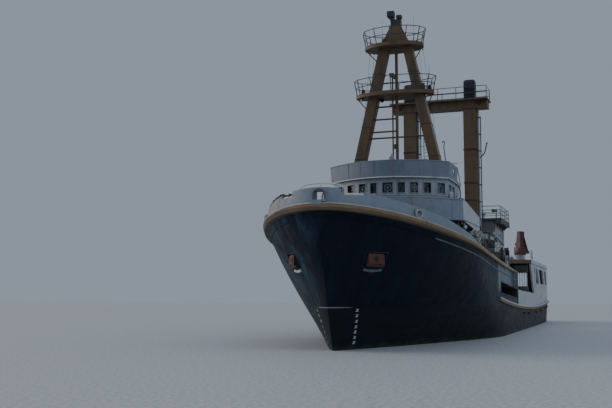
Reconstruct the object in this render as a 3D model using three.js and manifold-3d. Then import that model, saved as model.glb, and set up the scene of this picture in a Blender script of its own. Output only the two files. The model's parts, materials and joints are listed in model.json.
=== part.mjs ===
// Stern trawler afloat, modelled at half size.
// Every size below is the full-size ship's, in metres: x runs forward from the midship section,
// y to port and z up from the waterline. The finished solids are scaled to the model's millimetres.
import * as THREE from 'three';
import { mergeVertices } from 'three/addons/utils/BufferGeometryUtils.js';
import Module from 'manifold-3d';

const wasm = await Module();
wasm.setup();

// Scale and clearances
const MODEL_MM = 500;        // model millimetres for one metre of ship
const GAP = 0.0008;          // between pieces that touch
const ROUND = 28;            // sides of a shaft and of the bore that it turns in

// Driving dimensions of the hull
const HALF_BEAM = 6.3;
const DRAUGHT = 5.2;
const STEM_HEAD = 28.1;
const STEM_AT_WATER = 25.4;
const TRANSOM = -37.9;
const DECK_BREAK = -5.6;     // after end of the shelter deck
const SHEER_AFT = 4.9;       // shelter deck height at its after end
const STRAKE_DEPTH = 0.34;
const STRAKE_STAND = 0.2;

// Driving dimensions of the upper works
const BRIDGE_DECK = 8.0;
const SCREEN_TOP = 9.2;
const ROOF_LEVEL = 10.65;
const VISOR_TOP = 11.76;
const MAST_X = 10.7;
const MID_PLATFORM = 17.28;
const CROWS_NEST = 20.76;
const GANTRY_X = -5.05;
const GANTRY_Y = 2.65;
const GANTRY_TOP = 19.8;
const HOUSE_FLOOR = 9.65;    // wing platform of the after deckhouse
const SHELTER_ROOF = 6.1;
const SHELTER_FRONT = -16.6;

const group = new THREE.Group();

// Paint and metal
const PAINT = {
  navy: { color: 0x101a2e, roughness: 0.45, metalness: 0.1 },
  buff: { color: 0xa8824f, roughness: 0.6, metalness: 0.1 },
  grey: { color: 0x9aa2ac, roughness: 0.6, metalness: 0.1 },
  white: { color: 0xd2d8dd, roughness: 0.55, metalness: 0.1 },
  red: { color: 0x8c1f24, roughness: 0.5, metalness: 0.1 },
  rust: { color: 0x7a3f33, roughness: 0.8, metalness: 0.2 },
  steel: { color: 0x4c5157, roughness: 0.5, metalness: 0.7 },
  bronze: { color: 0x9c7a3c, roughness: 0.35, metalness: 0.9 },
  glass: { color: 0x1b2730, roughness: 0.08, metalness: 0.0 },
};

const lerp = (a, b, t) => a + (b - a) * t;
const mirror = (solid) => solid.mirror([0, 1, 0]);

// Value of a piecewise straight curve given as rows of [x, value], x rising
function along(rows, x) {
  if (x <= rows[0][0]) return rows[0][1];
  for (let i = 1; i < rows.length; i += 1) {
    const [x0, v0] = rows[i - 1];
    const [x1, v1] = rows[i];
    if (x <= x1) return lerp(v0, v1, (x - x0) / (x1 - x0));
  }
  return rows[rows.length - 1][1];
}

function toSolid(geometry) {
  const bare = geometry.clone();
  bare.deleteAttribute('normal');
  bare.deleteAttribute('uv');
  const merged = mergeVertices(bare, 1e-5);
  const mesh = new wasm.Mesh({
    numProp: 3,
    vertProperties: new Float32Array(merged.attributes.position.array),
    triVerts: new Uint32Array(merged.index.array),
  });
  return new wasm.Manifold(mesh);
}

const join = (solids) => solids.reduce((whole, solid) => whole.add(solid));

// Cuts a piece to meet its neighbour above, ahead and on both sides with the touching gap
const TOUCH = [[0, 0, GAP], [GAP, 0, 0], [0, GAP, 0], [0, -GAP, 0]];
const fit = (solid, neighbour) => TOUCH
  .reduce((left, shift) => left.subtract(neighbour.translate(shift)), solid);

// Bore radius whose flats clear a shaft of the given radius
const boreFor = (radius) => (radius + GAP) / Math.cos(Math.PI / ROUND);

// Adds one named piece to the model
function addPiece(name, solid, paint) {
  const { vertProperties, triVerts } = solid.getMesh();
  const geometry = new THREE.BufferGeometry();
  geometry.setAttribute('position', new THREE.BufferAttribute(new Float32Array(vertProperties), 3));
  geometry.setIndex(new THREE.BufferAttribute(new Uint32Array(triVerts), 1));
  geometry.scale(MODEL_MM, MODEL_MM, MODEL_MM);
  geometry.computeVertexNormals();
  const mesh = new THREE.Mesh(geometry, new THREE.MeshStandardMaterial(PAINT[paint]));
  mesh.name = name;
  group.add(mesh);
  return solid;
}

// Solid between rings of equally many points, closed by a fan at each end or on itself
function loft(rings, closed = false) {
  const count = rings[0].length;
  const positions = rings.flat(2);
  const index = [];
  const spans = closed ? rings.length : rings.length - 1;
  for (let r = 0; r < spans; r += 1) {
    const far = (r + 1) % rings.length;
    for (let i = 0; i < count; i += 1) {
      const next = (i + 1) % count;
      const a = r * count;
      const b = far * count;
      index.push(a + i, a + next, b + next, a + i, b + next, b + i);
    }
  }
  const last = (rings.length - 1) * count;
  for (let i = 1; i + 1 < count && !closed; i += 1) {
    index.push(0, i + 1, i);
    index.push(last, last + i, last + i + 1);
  }
  const geometry = new THREE.BufferGeometry();
  geometry.setAttribute('position', new THREE.Float32BufferAttribute(positions, 3));
  geometry.setIndex(index);
  const solid = toSolid(geometry);
  if (solid.volume() >= 0) return solid;
  geometry.setIndex(index.reverse());
  return toSolid(geometry);
}

function box(x0, x1, y0, y1, z0, z1) {
  const geometry = new THREE.BoxGeometry(x1 - x0, y1 - y0, z1 - z0);
  geometry.translate((x0 + x1) / 2, (y0 + y1) / 2, (z0 + z1) / 2);
  return toSolid(geometry);
}

// Round bar of given radius between two points
function bar(from, to, radius, sides = 8, endRadius = radius) {
  const a = new THREE.Vector3(...from);
  const b = new THREE.Vector3(...to);
  const geometry = new THREE.CylinderGeometry(endRadius, radius, a.distanceTo(b), sides);
  const turn = new THREE.Quaternion().setFromUnitVectors(
    new THREE.Vector3(0, 1, 0), b.clone().sub(a).normalize());
  geometry.applyQuaternion(turn);
  geometry.translate((a.x + b.x) / 2, (a.y + b.y) / 2, (a.z + b.z) / 2);
  return toSolid(geometry);
}

// Outline in plan, as [x, y] points, raised from z0 to z1
function slab(outline, z0, z1) {
  const shape = new THREE.Shape(outline.map(([x, y]) => new THREE.Vector2(x, y)));
  const geometry = new THREE.ExtrudeGeometry(shape, { depth: z1 - z0, bevelEnabled: false });
  geometry.translate(0, 0, z0);
  return toSolid(geometry);
}

// Outline in profile, as [x, z] points, spread from y0 to y1
function profile(outline, y0, y1) {
  const shape = new THREE.Shape(outline.map(([x, z]) => new THREE.Vector2(x, z)));
  const geometry = new THREE.ExtrudeGeometry(shape, { depth: y1 - y0, bevelEnabled: false });
  geometry.rotateX(Math.PI / 2);
  geometry.translate(0, y1, 0);
  return toSolid(geometry);
}

// Turned piece about a line through centre: rows of [radius, place] along that line
function turned(rows, centre, axis, sides = 20) {
  const points = rows.map(([radius, place]) => new THREE.Vector2(radius, place));
  const geometry = new THREE.LatheGeometry(points, sides);
  const turn = new THREE.Quaternion().setFromUnitVectors(
    new THREE.Vector3(0, 1, 0), new THREE.Vector3(...axis));
  geometry.applyQuaternion(turn);
  geometry.translate(...centre);
  const solid = toSolid(geometry);
  return solid.volume() >= 0 ? solid : toSolid(flipped(geometry));
}

function flipped(geometry) {
  const index = Array.from(geometry.index.array);
  geometry.setIndex(index.reverse());
  return geometry;
}

// Guard rail along plan points: stanchions at the points and bars through them
const RAIL = { height: 1.05, levels: [0.52, 1.05], radius: 0.035, lean: 0 };
function railing(points, floor, closed = false, options = {}) {
  const { height, levels, radius, lean } = { ...RAIL, ...options };
  const centre = [0, 1].map((k) => points.reduce((sum, point) => sum + point[k], 0) / points.length);
  const at = ([x, y], rise) => {
    const away = Math.hypot(x - centre[0], y - centre[1]) || 1;
    const out = (lean * rise) / height / away;
    return [x + (x - centre[0]) * out, y + (y - centre[1]) * out, floor + rise];
  };
  const posts = points.map((point) => bar(at(point, -0.06), at(point, height), radius, 4));
  const bars = levels.map((rise) => {
    const row = points.map((point) => at(point, rise));
    return loft(row.map(([x, y, z], i) => {
      const before = row[closed ? (i + row.length - 1) % row.length : Math.max(0, i - 1)];
      const after = row[closed ? (i + 1) % row.length : Math.min(row.length - 1, i + 1)];
      const length = Math.hypot(after[0] - before[0], after[1] - before[1]);
      const out = [(before[1] - after[1]) / length, (after[0] - before[0]) / length];
      const r = radius * 0.8;
      return [[x + out[0] * r, y + out[1] * r, z], [x, y, z + r],
        [x - out[0] * r, y - out[1] * r, z], [x, y, z - r]];
    }), closed);
  });
  return join([...bars, ...posts]);
}

// Part of an ellipse in plan, from one angle to another in degrees
function arc(cx, cy, rx, ry, fromDeg, toDeg, steps) {
  return Array.from({ length: steps + 1 }, (_, i) => {
    const angle = THREE.MathUtils.degToRad(lerp(fromDeg, toDeg, i / steps));
    return [cx + rx * Math.cos(angle), cy + ry * Math.sin(angle)];
  });
}

// Shelter deck line at the side, and main deck line
function sheer(x) {
  const u = Math.max(0, (x + 3) / (STEM_HEAD + 3));
  return SHEER_AFT + 1.5 * u + 1.22 * u ** 3;
}
const mainDeck = (x) => 2.0 + (x > -17 ? 0.0015 : 0.0012) * (x + 17) ** 2;
// Depth of the upper strake, which thins towards the stern
const strakeDepth = (x) => lerp(0.22, STRAKE_DEPTH, Math.min(1, Math.max(0, x / 24)));

// Hull waterlines below the water. Columns: height, stem, length of entrance, its fineness,
// half beam, stern, length of run, its fineness, half beam at the stern
const LOW_WATERLINES = [
  [-DRAUGHT, 19.0, 12, 1.6, 0.5, -30.0, 10, 1.4, 0.16],
  [-4.95, 20.5, 19, 1.3, 3.9, -30.2, 22, 1.25, 0.18],
  [-4.2, 22.4, 20.5, 1.26, 5.55, -30.7, 24, 1.3, 0.2],
  [-3.0, 23.8, 21, 1.2, 6.15, -31.6, 25, 1.4, 0.24],
  [-1.7, 24.7, 21, 1.16, 6.27, -32.2, 24, 1.5, 0.9],
  [-0.75, 25.1, 20.8, 1.14, HALF_BEAM, -37.6, 23, 1.7, 5.0],
];
// Hull lines above the water, as fractions of the height of the shelter deck
const HIGH_WATERLINES = [0, 0.12, 0.25, 0.38, 0.5, 0.62, 0.74, 0.85, 'strake', 1];
const ENTRANCE_STEPS = 16;
const RUN_STEPS = 8;
const MIDDLE_STEPS = 4;

function lowLine([height, stem, entry, fine, beam, stern, run, fineAft, sternBeam]) {
  return { stem, entry, fine, beam, stern, run, fineAft, sternBeam, height: () => height };
}
function highLine(level) {
  const f = level === 'strake' ? 1 - STRAKE_DEPTH / 6.5 : level;
  return {
    stem: STEM_AT_WATER + (STEM_HEAD - STEM_AT_WATER) * f ** 0.97,
    entry: lerp(20.5, 14, f ** 0.55),
    fine: lerp(1.13, 2.0, f ** 1.55),
    beam: HALF_BEAM,
    stern: TRANSOM + 0.3 * (1 - f),
    run: lerp(21, 11, f),
    fineAft: 1.7,
    sternBeam: lerp(5.9, 6.25, f),
    height: level === 'strake' ? (x) => sheer(x) - strakeDepth(x) : (x) => f * sheer(x),
  };
}
function halfBeamAt(line, x) {
  const u = Math.min(1, Math.max(0, (line.stem - x) / line.entry));
  const v = Math.min(1, Math.max(0, (x - line.stern) / line.run));
  const bow = (1 - (1 - u) ** line.fine) ** (1 / line.fine);
  const aft = (1 - (1 - v) ** line.fineAft) ** (1 / line.fineAft);
  return bow * lerp(line.sternBeam, line.beam, aft);
}
// Half beam of the hull at any place above the water
const hullSide = (x, z) => halfBeamAt(highLine(Math.min(1, z / sheer(x))), x);

// Port points of one waterline, from the stern to the stem
function portPoints(line) {
  const places = [];
  for (let i = 0; i < RUN_STEPS; i += 1) {
    places.push(line.stern + line.run * (1 - Math.cos((i / RUN_STEPS) * Math.PI / 2)));
  }
  for (let i = 0; i < MIDDLE_STEPS; i += 1) {
    places.push(lerp(line.stern + line.run, line.stem - line.entry, i / MIDDLE_STEPS));
  }
  for (let i = ENTRANCE_STEPS; i >= 0; i -= 1) {
    places.push(line.stem - line.entry * (1 - Math.cos((i / ENTRANCE_STEPS) * Math.PI / 2)));
  }
  return places.map((x) => [x, halfBeamAt(line, x), line.height(x)]);
}

// Solid stacked from waterlines, decked over at the top and closed at the keel
function stackWaterlines(lines) {
  const rows = lines.map(portPoints);
  const count = rows[0].length;
  const ring = 2 * count - 1;
  const positions = rows.flatMap((row) => [
    ...row.flat(),
    ...row.slice(0, -1).reverse().flatMap(([x, y, z]) => [x, -y, z]),
  ]);
  const index = [];
  for (let r = 0; r + 1 < rows.length; r += 1) {
    for (let i = 0; i < ring; i += 1) {
      const next = (i + 1) % ring;
      const a = r * ring + i;
      const b = r * ring + next;
      index.push(a, b + ring, b, a, a + ring, b + ring);
    }
  }
  const top = (rows.length - 1) * ring;
  for (let i = 0; i + 1 < count; i += 1) {
    const far = ring - 1 - i;
    const farNext = far - 1;
    index.push(i, i + 1, far, top + i, top + far, top + i + 1);
    if (farNext > i + 1) {
      index.push(i + 1, farNext, far, top + i + 1, top + far, top + farNext);
    }
  }
  const geometry = new THREE.BufferGeometry();
  geometry.setAttribute('position', new THREE.Float32BufferAttribute(positions, 3));
  geometry.setIndex(index);
  const solid = toSolid(geometry);
  if (solid.volume() >= 0) return solid;
  geometry.setIndex(index.reverse());
  return toSolid(geometry);
}

// Propeller shaft and rudder stock
const SHAFT_Z = -3.25;
const TUBE_END = -32.3;
const RUDDER_X = -34.3;
const RUDDER_FOOT = -4.86;
const RUDDER_HEAD = -1.62;

// Stern ramp for the net
const RAMP = { half: 2.2, top: -29.5, foot: -0.2 };

// Openings in the ship's side under the shelter deck, and the anchor pockets
const SIDE_PORT = { fore: 5.6, aft: -4.6, foreSill: 3.2, foreHead: 4.0, aftSill: 2.8, aftHead: 3.5 };
const POCKET = { x: 25.2, y: 2.3, z: 4.82, turn: -36, half: 0.68, rise: 0.38, deep: 0.75 };
// Moves a solid drawn square to the pocket, outward along +y, to its place on the port bow
const atPocket = (solid) => solid.rotate([0, 0, POCKET.turn]).translate([POCKET.x, POCKET.y, POCKET.z]);

function buildHull() {
  const form = stackWaterlines([...LOW_WATERLINES.map(lowLine), ...HIGH_WATERLINES.map(highLine)]);
  const portHalf = form.intersect(box(-60, 60, 0, 20, -20, 20));
  let hull = portHalf.add(mirror(portHalf));
  const tube = bar([-28, 0, SHAFT_Z], [TUBE_END, 0, SHAFT_Z], 0.42, 16, 0.32);
  const sole = box(-35.4, -29, -0.17, 0.17, -DRAUGHT, RUDDER_FOOT - 0.06);
  const heel = bar([RUDDER_X, 0, RUDDER_FOOT - 0.1], [RUDDER_X, 0, RUDDER_FOOT - GAP], 0.16, 12);
  hull = join([hull, tube, sole, heel]);
  // Trunk that carries the rudder stock under the counter
  hull = hull.add(bar([RUDDER_X, 0, RUDDER_HEAD + GAP], [RUDDER_X, 0, -0.6], 0.3, 12));
  const steps = [TRANSOM - 1, -34, -30, -26, -22, -17, -12, -8, DECK_BREAK];
  const well = [...steps.map((x) => [x, mainDeck(x)]), [DECK_BREAK, 12], [TRANSOM - 1, 12]];
  hull = hull.subtract(profile(well, -9, 9));
  const ramp = [
    [RAMP.top, mainDeck(RAMP.top) + 0.01], [RAMP.top - 3, mainDeck(RAMP.top) - 0.8],
    [TRANSOM - 1, RAMP.foot - 0.5], [TRANSOM - 1, 6], [RAMP.top, 6],
  ];
  hull = hull.subtract(profile(ramp, -RAMP.half, RAMP.half));
  const s = SIDE_PORT;
  const opening = [[s.aft, s.aftSill], [s.fore, s.foreSill], [s.fore, s.foreHead], [s.aft, s.aftHead]];
  const pocket = atPocket(
    box(-POCKET.half, POCKET.half, -POCKET.deep, 3, -POCKET.rise, POCKET.rise));
  const cuts = join([profile(opening, 5.2, 8), pocket]);
  return hull.subtract(cuts).subtract(mirror(cuts));
}
const hull = addPiece('hull', buildHull(), 'navy');
// Cuts a piece to stand on the hull with the touching gap
const seat = (solid) => solid.subtract(hull.translate([0, 0, GAP]));

// Port points carried on around the bow to the starboard side
const bothSides = (row) => [...row, ...row.slice(0, -1).reverse().map(([x, y, z]) => [x, -y, z])];

// Level direction out of the ship's side at one point of such a row
function outward(row, i) {
  const before = row[Math.max(0, i - 1)];
  const after = row[Math.min(row.length - 1, i + 1)];
  const length = Math.hypot(after[0] - before[0], after[1] - before[1]);
  return [(before[1] - after[1]) / length, (after[0] - before[0]) / length];
}

// Buff rubbing strake under the shelter deck line
const STRAKE_END = -3.7;
function buildUpperStrake() {
  const tops = bothSides(portPoints(highLine(1)));
  const feet = bothSides(portPoints(highLine('strake')));
  const rings = tops.map((top, i) => {
    const out = outward(tops, i);
    const shift = ([x, y], by, z) => [x + out[0] * by, y + out[1] * by, z];
    const foot = feet[i];
    const under = [(top[0] + foot[0]) / 2, (top[1] + foot[1]) / 2];
    return [
      shift(top, -0.06, top[2] - 0.01), shift(top, STRAKE_STAND, top[2] - 0.04),
      shift(under, STRAKE_STAND, foot[2] + 0.06), shift(foot, -0.06, foot[2] + 0.02),
    ];
  });
  return fit(loft(rings).subtract(box(TRANSOM - 2, STRAKE_END, -9, 9, 0, 12)), hull);
}
const upperStrake = addPiece('upper_strake', buildUpperStrake(), 'buff');

// Grey bulwark of the forecastle. Rows: x, height above the shelter deck line
const BULWARK_HEIGHT = [[12.9, 0.06], [16, 0.4], [21, 0.67], [25.4, 0.73], [27, 0.78], [28.1, 0.86]];
const BULWARK = { thick: 0.14, flare: -0.1, end: 12.9 };
const BOW_FAIRLEAD = { y: 0.2, half: 0.27, sill: 7.82, head: 8.26 };
const SIDE_FAIRLEAD = { x: 24.0, half: 0.22, sill: 7.16, head: 7.46 };
function buildBulwark() {
  const port = portPoints(highLine(1)).filter(([x]) => x > BULWARK.end - 4);
  const all = bothSides(port);
  const rings = all.map((point, i) => {
    const out = outward(all, i);
    const rise = along(BULWARK_HEIGHT, point[0]);
    const place = (by, up) => [point[0] + out[0] * by, point[1] + out[1] * by, point[2] + up];
    return [
      place(-0.01, GAP), place(BULWARK.flare, rise),
      place(BULWARK.flare - BULWARK.thick - 0.06, rise),
      place(BULWARK.flare - BULWARK.thick - 0.06, rise - 0.08),
      place(BULWARK.flare - BULWARK.thick, rise - 0.12), place(-0.01 - BULWARK.thick, GAP),
    ];
  });
  let wall = loft(rings).subtract(box(-1, BULWARK.end, -9, 9, 0, 12));
  const frame = (deep, half, sill, head, edge) => box(
    -deep, deep, -half - edge, half + edge, sill - edge, head + edge);
  const hole = (half, sill, head) => box(-1, 1, -half, half, sill, head);
  const b = BOW_FAIRLEAD;
  const s = SIDE_FAIRLEAD;
  const sideY = halfBeamAt(highLine(1), s.x) - 0.12;
  const sideTurn = [0, 0, 62];
  const bowFrame = frame(0.26, b.half, b.sill, b.head, 0.1).translate([STEM_HEAD - 0.12, b.y, 0]);
  const bowLip = box(STEM_HEAD - 0.2, STEM_HEAD + 0.2, b.y - 0.38, b.y + 0.14,
    b.sill - 0.24, b.sill - 0.02);
  const sideFrame = frame(0.16, s.half, s.sill, s.head, 0.08).rotate(sideTurn).translate([s.x, sideY, 0]);
  wall = join([wall, bowFrame, bowLip, sideFrame, mirror(sideFrame)]);
  const bowHole = hole(b.half, b.sill, b.head).translate([STEM_HEAD, b.y, 0]);
  const sideHole = hole(s.half, s.sill, s.head).rotate(sideTurn).translate([s.x, sideY, 0]);
  wall = wall.subtract(bowHole).subtract(sideHole).subtract(mirror(sideHole));
  // Step in the top edge on each side of the bow
  wall = wall.subtract(box(26.95, 27.72, 1.2, 2.7, 8.06, 9));
  wall = wall.subtract(box(26.95, 27.72, -2.7, -1.5, 8.06, 9));
  return fit(fit(wall, hull), upperStrake);
}
addPiece('forward_bulwark', buildBulwark(), 'grey');

// Lower strake along the main deck line, one each side
const LOW_STRAKE = { fore: 6.9, half: 0.15, stand: 0.17 };
function buildLowerStrake() {
  const stations = [TRANSOM + 0.3, -34, -30, -26, -21, -16, -11, -6, -1, 4, LOW_STRAKE.fore];
  const rings = stations.map((x) => {
    const z = mainDeck(x) - LOW_STRAKE.half;
    const y = hullSide(x, z) + LOW_STRAKE.stand;
    return [[x, 5.0, z - LOW_STRAKE.half], [x, y, z - LOW_STRAKE.half + 0.04],
      [x, y, z + LOW_STRAKE.half - 0.04], [x, 5.0, z + LOW_STRAKE.half - 0.02]];
  });
  return fit(loft(rings), hull);
}
const portStrake = buildLowerStrake();
addPiece('lower_strake_port', portStrake, 'buff');
addPiece('lower_strake_starboard', mirror(portStrake), 'buff');

// Stockless anchor lying in its pocket
function buildAnchor() {
  const { rise, deep } = POCKET;
  const crown = box(-0.58, 0.58, -0.3, 0.08, -rise + 0.02, -rise + 0.26);
  const fluke = (x) => box(x - 0.14, x + 0.14, -0.26, 0.14, -rise + 0.1, rise - 0.08);
  const shank = box(-0.1, 0.1, -deep + GAP, -0.1, -0.1, 0.12);
  const bridge = box(-0.12, 0.12, -0.26, 0, -rise + 0.1, 0.12);
  return atPocket(join([crown, fluke(-0.42), fluke(0.42), shank, bridge]));
}
const anchor = buildAnchor();
addPiece('anchor_port', anchor, 'red');
addPiece('anchor_starboard', mirror(anchor), 'red');

// Windlass behind the bulwark
const WINDLASS = { x: 22.6, z: 7.75, half: 1.5, radius: 0.42, shaft: 0.14 };
function buildWindlassFrame() {
  const { x, z, half } = WINDLASS;
  const cheek = (y) => profile(
    [[x - 0.6, 6.4], [x + 0.6, 6.4], [x + 0.28, z + 0.25], [x - 0.28, z + 0.25]], y - 0.09, y + 0.09);
  const bed = box(x - 0.75, x + 0.75, -half - 0.2, half + 0.2, 6.4, 6.98);
  const gear = box(x - 0.5, x + 0.45, -0.3, 0.3, 6.5, z + 0.5);
  const bore = bar([x, -3, z], [x, 3, z], boreFor(WINDLASS.shaft), ROUND);
  return seat(join([bed, gear, cheek(half), cheek(-half)]).subtract(bore));
}
function buildWindlassDrum() {
  const { x, z, half, radius, shaft } = WINDLASS;
  const end = half + 0.75;
  const wheel = (y0, y1, r) => bar([x, y0, z], [x, y1, z], r, ROUND);
  return join([
    wheel(-end, end, shaft), wheel(0.45, half - 0.15, radius), wheel(-half + 0.15, -0.45, radius),
    wheel(half + 0.15, end, 0.26), wheel(-end, -half - 0.15, 0.26),
  ]);
}
addPiece('windlass_frame', buildWindlassFrame(), 'grey');
addPiece('windlass_drum', buildWindlassDrum(), 'steel');

// Bow curve of an upper works level: corners at cornerX, crown at crownX
function curvedFront(cornerX, crownX, half, steps = 12) {
  return Array.from({ length: steps + 1 }, (_, i) => {
    const y = lerp(-half, half, i / steps);
    return [cornerX + (crownX - cornerX) * (1 - (y / half) ** 2), y];
  });
}

// Hinged steel door, drawn with its hinge line at the origin: the doorway runs back from it,
// outward is +y and the sill is at zero
const DOOR = { play: 0.015, thick: 0.09, inset: 0.02, knuckle: 0.035, long: 0.09 };
const hingeHeights = (height) => [0.2 * height, 0.8 * height];
function doorLeaf(width, height, light) {
  const { play, thick, inset, knuckle, long } = DOOR;
  let leaf = box(-width + play, -play, -inset - thick, -inset, play, height - play);
  if (light) leaf = leaf.subtract(box(-width * 0.76, -width * 0.24, -1, 1, ...light));
  const straps = hingeHeights(height).flatMap((z) => [
    bar([0, knuckle + GAP, z + GAP / 2], [0, knuckle + GAP, z + long], knuckle, 12),
    box(-0.3, -0.01, -0.03, knuckle + 0.01, z + GAP / 2, z + long),
  ]);
  const handle = box(-width + 0.1, -width + 0.16, -0.03, 0.06, height * 0.45, height * 0.6);
  return join([leaf, handle, ...straps]);
}
function doorHinges(height) {
  const { knuckle, long } = DOOR;
  return join(hingeHeights(height).flatMap((z) => [
    bar([0, knuckle + GAP, z - long], [0, knuckle + GAP, z - GAP / 2], knuckle, 12),
    box(0.005, 0.09, -0.05, knuckle + 0.01, z - long, z - GAP / 2),
  ]));
}

// Deckhouse on the shelter deck
const LOWER_HOUSE = { fore: 12.6, aft: 1.6, half: 3.9, thick: 0.16 };

// Bridge deck with its curved front screen and side screens
const SCREEN = { half: 5.0, cornerX: 13.2, crownX: 16.4, thick: 0.14, aft: 6.4 };
function buildBridgeDeck() {
  const { half, cornerX, crownX, thick, aft } = SCREEN;
  const outer = [...curvedFront(cornerX, crownX, half), [aft, half], [aft, -half]];
  const inner = [
    ...curvedFront(cornerX - 0.04, crownX - thick, half - thick), [aft - 1, half - thick],
    [aft - 1, -half + thick],
  ];
  const front = slab(outer, 5.5, SCREEN_TOP).subtract(slab(inner, 5, 12));
  // The screens are open at the foot along the sides and round the corners of the front
  const bothWings = (outline, y) => join([
    profile(outline, y, 9), profile(outline, -9, -y),
  ]);
  const slotHead = BRIDGE_DECK - 0.16;
  const corner = cornerX + 0.15;
  const sideCut = join([
    bothWings([[-10, 4], [corner, 4], [corner, slotHead], [-10, BRIDGE_DECK - 1.45]], 4),
    bothWings([[corner - 1, 4], [16, 4], [16, slotHead], [corner - 1, slotHead]], 4.15),
  ]);
  const rake = profile(
    [[-10, SCREEN_TOP - 2.3], [cornerX - 1, SCREEN_TOP], [cornerX, 14], [-10, 14]], -9, 9);
  const screens = front.subtract(sideCut).subtract(rake);
  const wide = half - 0.02;
  const narrow = LOWER_HOUSE.half + 0.08;
  const deckOutline = [...curvedFront(cornerX, crownX - 0.02, wide), [aft, wide], [aft - 0.6, narrow],
    [1.2, narrow], [1.2, -narrow], [aft - 0.6, -narrow], [aft, -wide]];
  return seat(screens.add(slab(deckOutline, BRIDGE_DECK - 0.16, BRIDGE_DECK)));
}
const bridgeDeck = addPiece('bridge_deck', buildBridgeDeck(), 'grey');

// Its doors, and its hollow walls with the doorways
const LOWER_DOOR = { hinge: 4.4, width: 0.84, height: 1.85 };
const LOWER_SILL = sheer(LOWER_DOOR.hinge) + 0.2;
const lowerDoorPlace = [LOWER_DOOR.hinge, LOWER_HOUSE.half, LOWER_SILL];
function buildLowerHouse() {
  const { fore, aft, half, thick } = LOWER_HOUSE;
  const { hinge, width, height } = LOWER_DOOR;
  const top = BRIDGE_DECK - 0.16 - GAP;
  const shell = box(aft, fore, -half, half, 4.6, top)
    .subtract(box(aft + thick, fore - thick, -half + thick, half - thick, 4, 9))
    .subtract(box(hinge - width, hinge, -9, 9, LOWER_SILL, LOWER_SILL + height));
  const hinges = doorHinges(height).translate(lowerDoorPlace);
  return seat(join([shell, hinges, mirror(hinges)]));
}
addPiece('lower_deckhouse', buildLowerHouse(), 'white');
const lowerDoor = doorLeaf(LOWER_DOOR.width, LOWER_DOOR.height).translate(lowerDoorPlace);
addPiece('deckhouse_door_port', lowerDoor, 'grey');
addPiece('deckhouse_door_starboard', mirror(lowerDoor), 'grey');

// Wheelhouse walls with their windows
const WHEELHOUSE = { half: 3.95, cornerX: 13.0, crownX: 14.9, aft: 8.7, thick: 0.16 };
const SILL = 9.64;
const HEAD = 10.36;
// Front windows. Columns: middle y, half width
const FRONT_WINDOWS = [
  [-3.3, 0.24], [-2.4, 0.27], [-1.45, 0.27], [-0.62, 0.25], [0.34, 0.37], [1.22, 0.25], [2.01, 0.25],
  [2.78, 0.24], [3.59, 0.22],
];
// Side and after windows. Columns: x or y from, to
const SIDE_WINDOWS = [[11.7, 12.6], [10.5, 11.4]];
const AFT_WINDOWS = [[-2.6, -1.2], [1.2, 2.6]];
const BRIDGE_DOOR = { hinge: 10.1, width: 0.78, height: 1.9, sill: BRIDGE_DECK + 0.15 };
const bridgeDoorPlace = [BRIDGE_DOOR.hinge, WHEELHOUSE.half, BRIDGE_DOOR.sill];
const wheelhousePlan = (inset) => [
  ...curvedFront(WHEELHOUSE.cornerX - inset * 0.4, WHEELHOUSE.crownX - inset, WHEELHOUSE.half - inset),
  [WHEELHOUSE.aft + inset, WHEELHOUSE.half - inset], [WHEELHOUSE.aft + inset, -WHEELHOUSE.half + inset],
];
function buildWheelhouse() {
  const { hinge, width, height, sill } = BRIDGE_DOOR;
  let walls = slab(wheelhousePlan(0), BRIDGE_DECK + GAP, ROOF_LEVEL)
    .subtract(slab(wheelhousePlan(WHEELHOUSE.thick), 5, 12));
  const cuts = FRONT_WINDOWS.map(([y, w]) => box(12.2, 16, y - w, y + w, SILL, HEAD));
  SIDE_WINDOWS.forEach(([x0, x1]) => cuts.push(box(x0, x1, -9, 9, SILL, HEAD)));
  AFT_WINDOWS.forEach(([y0, y1]) => cuts.push(box(8, 9.4, y0, y1, SILL, HEAD)));
  cuts.push(box(hinge - width, hinge, -9, 9, sill, sill + height));
  cuts.forEach((cut) => { walls = walls.subtract(cut); });
  const hinges = doorHinges(height).translate(bridgeDoorPlace);
  return join([walls, hinges, mirror(hinges)]);
}
addPiece('wheelhouse_walls', buildWheelhouse(), 'white');
// Window glass: one bent pane behind the whole front, seated on the inside of the wall
function buildGlass() {
  const inset = WHEELHOUSE.thick + GAP * 2;
  const pane = slab(wheelhousePlan(inset), SILL - 0.06, HEAD + 0.06)
    .subtract(slab(wheelhousePlan(inset + 0.04), 5, 12));
  return pane.subtract(box(0, BRIDGE_DOOR.hinge + 0.2, -9, 9, 5, 12));
}
addPiece('wheelhouse_glass', buildGlass(), 'glass');
const doorLight = [SILL - BRIDGE_DOOR.sill - 0.2, SILL - BRIDGE_DOOR.sill + 0.24];
const bridgeDoor = doorLeaf(BRIDGE_DOOR.width, BRIDGE_DOOR.height, doorLight).translate(bridgeDoorPlace);
addPiece('wheelhouse_door_port', bridgeDoor, 'white');
addPiece('wheelhouse_door_starboard', mirror(bridgeDoor), 'white');

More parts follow.
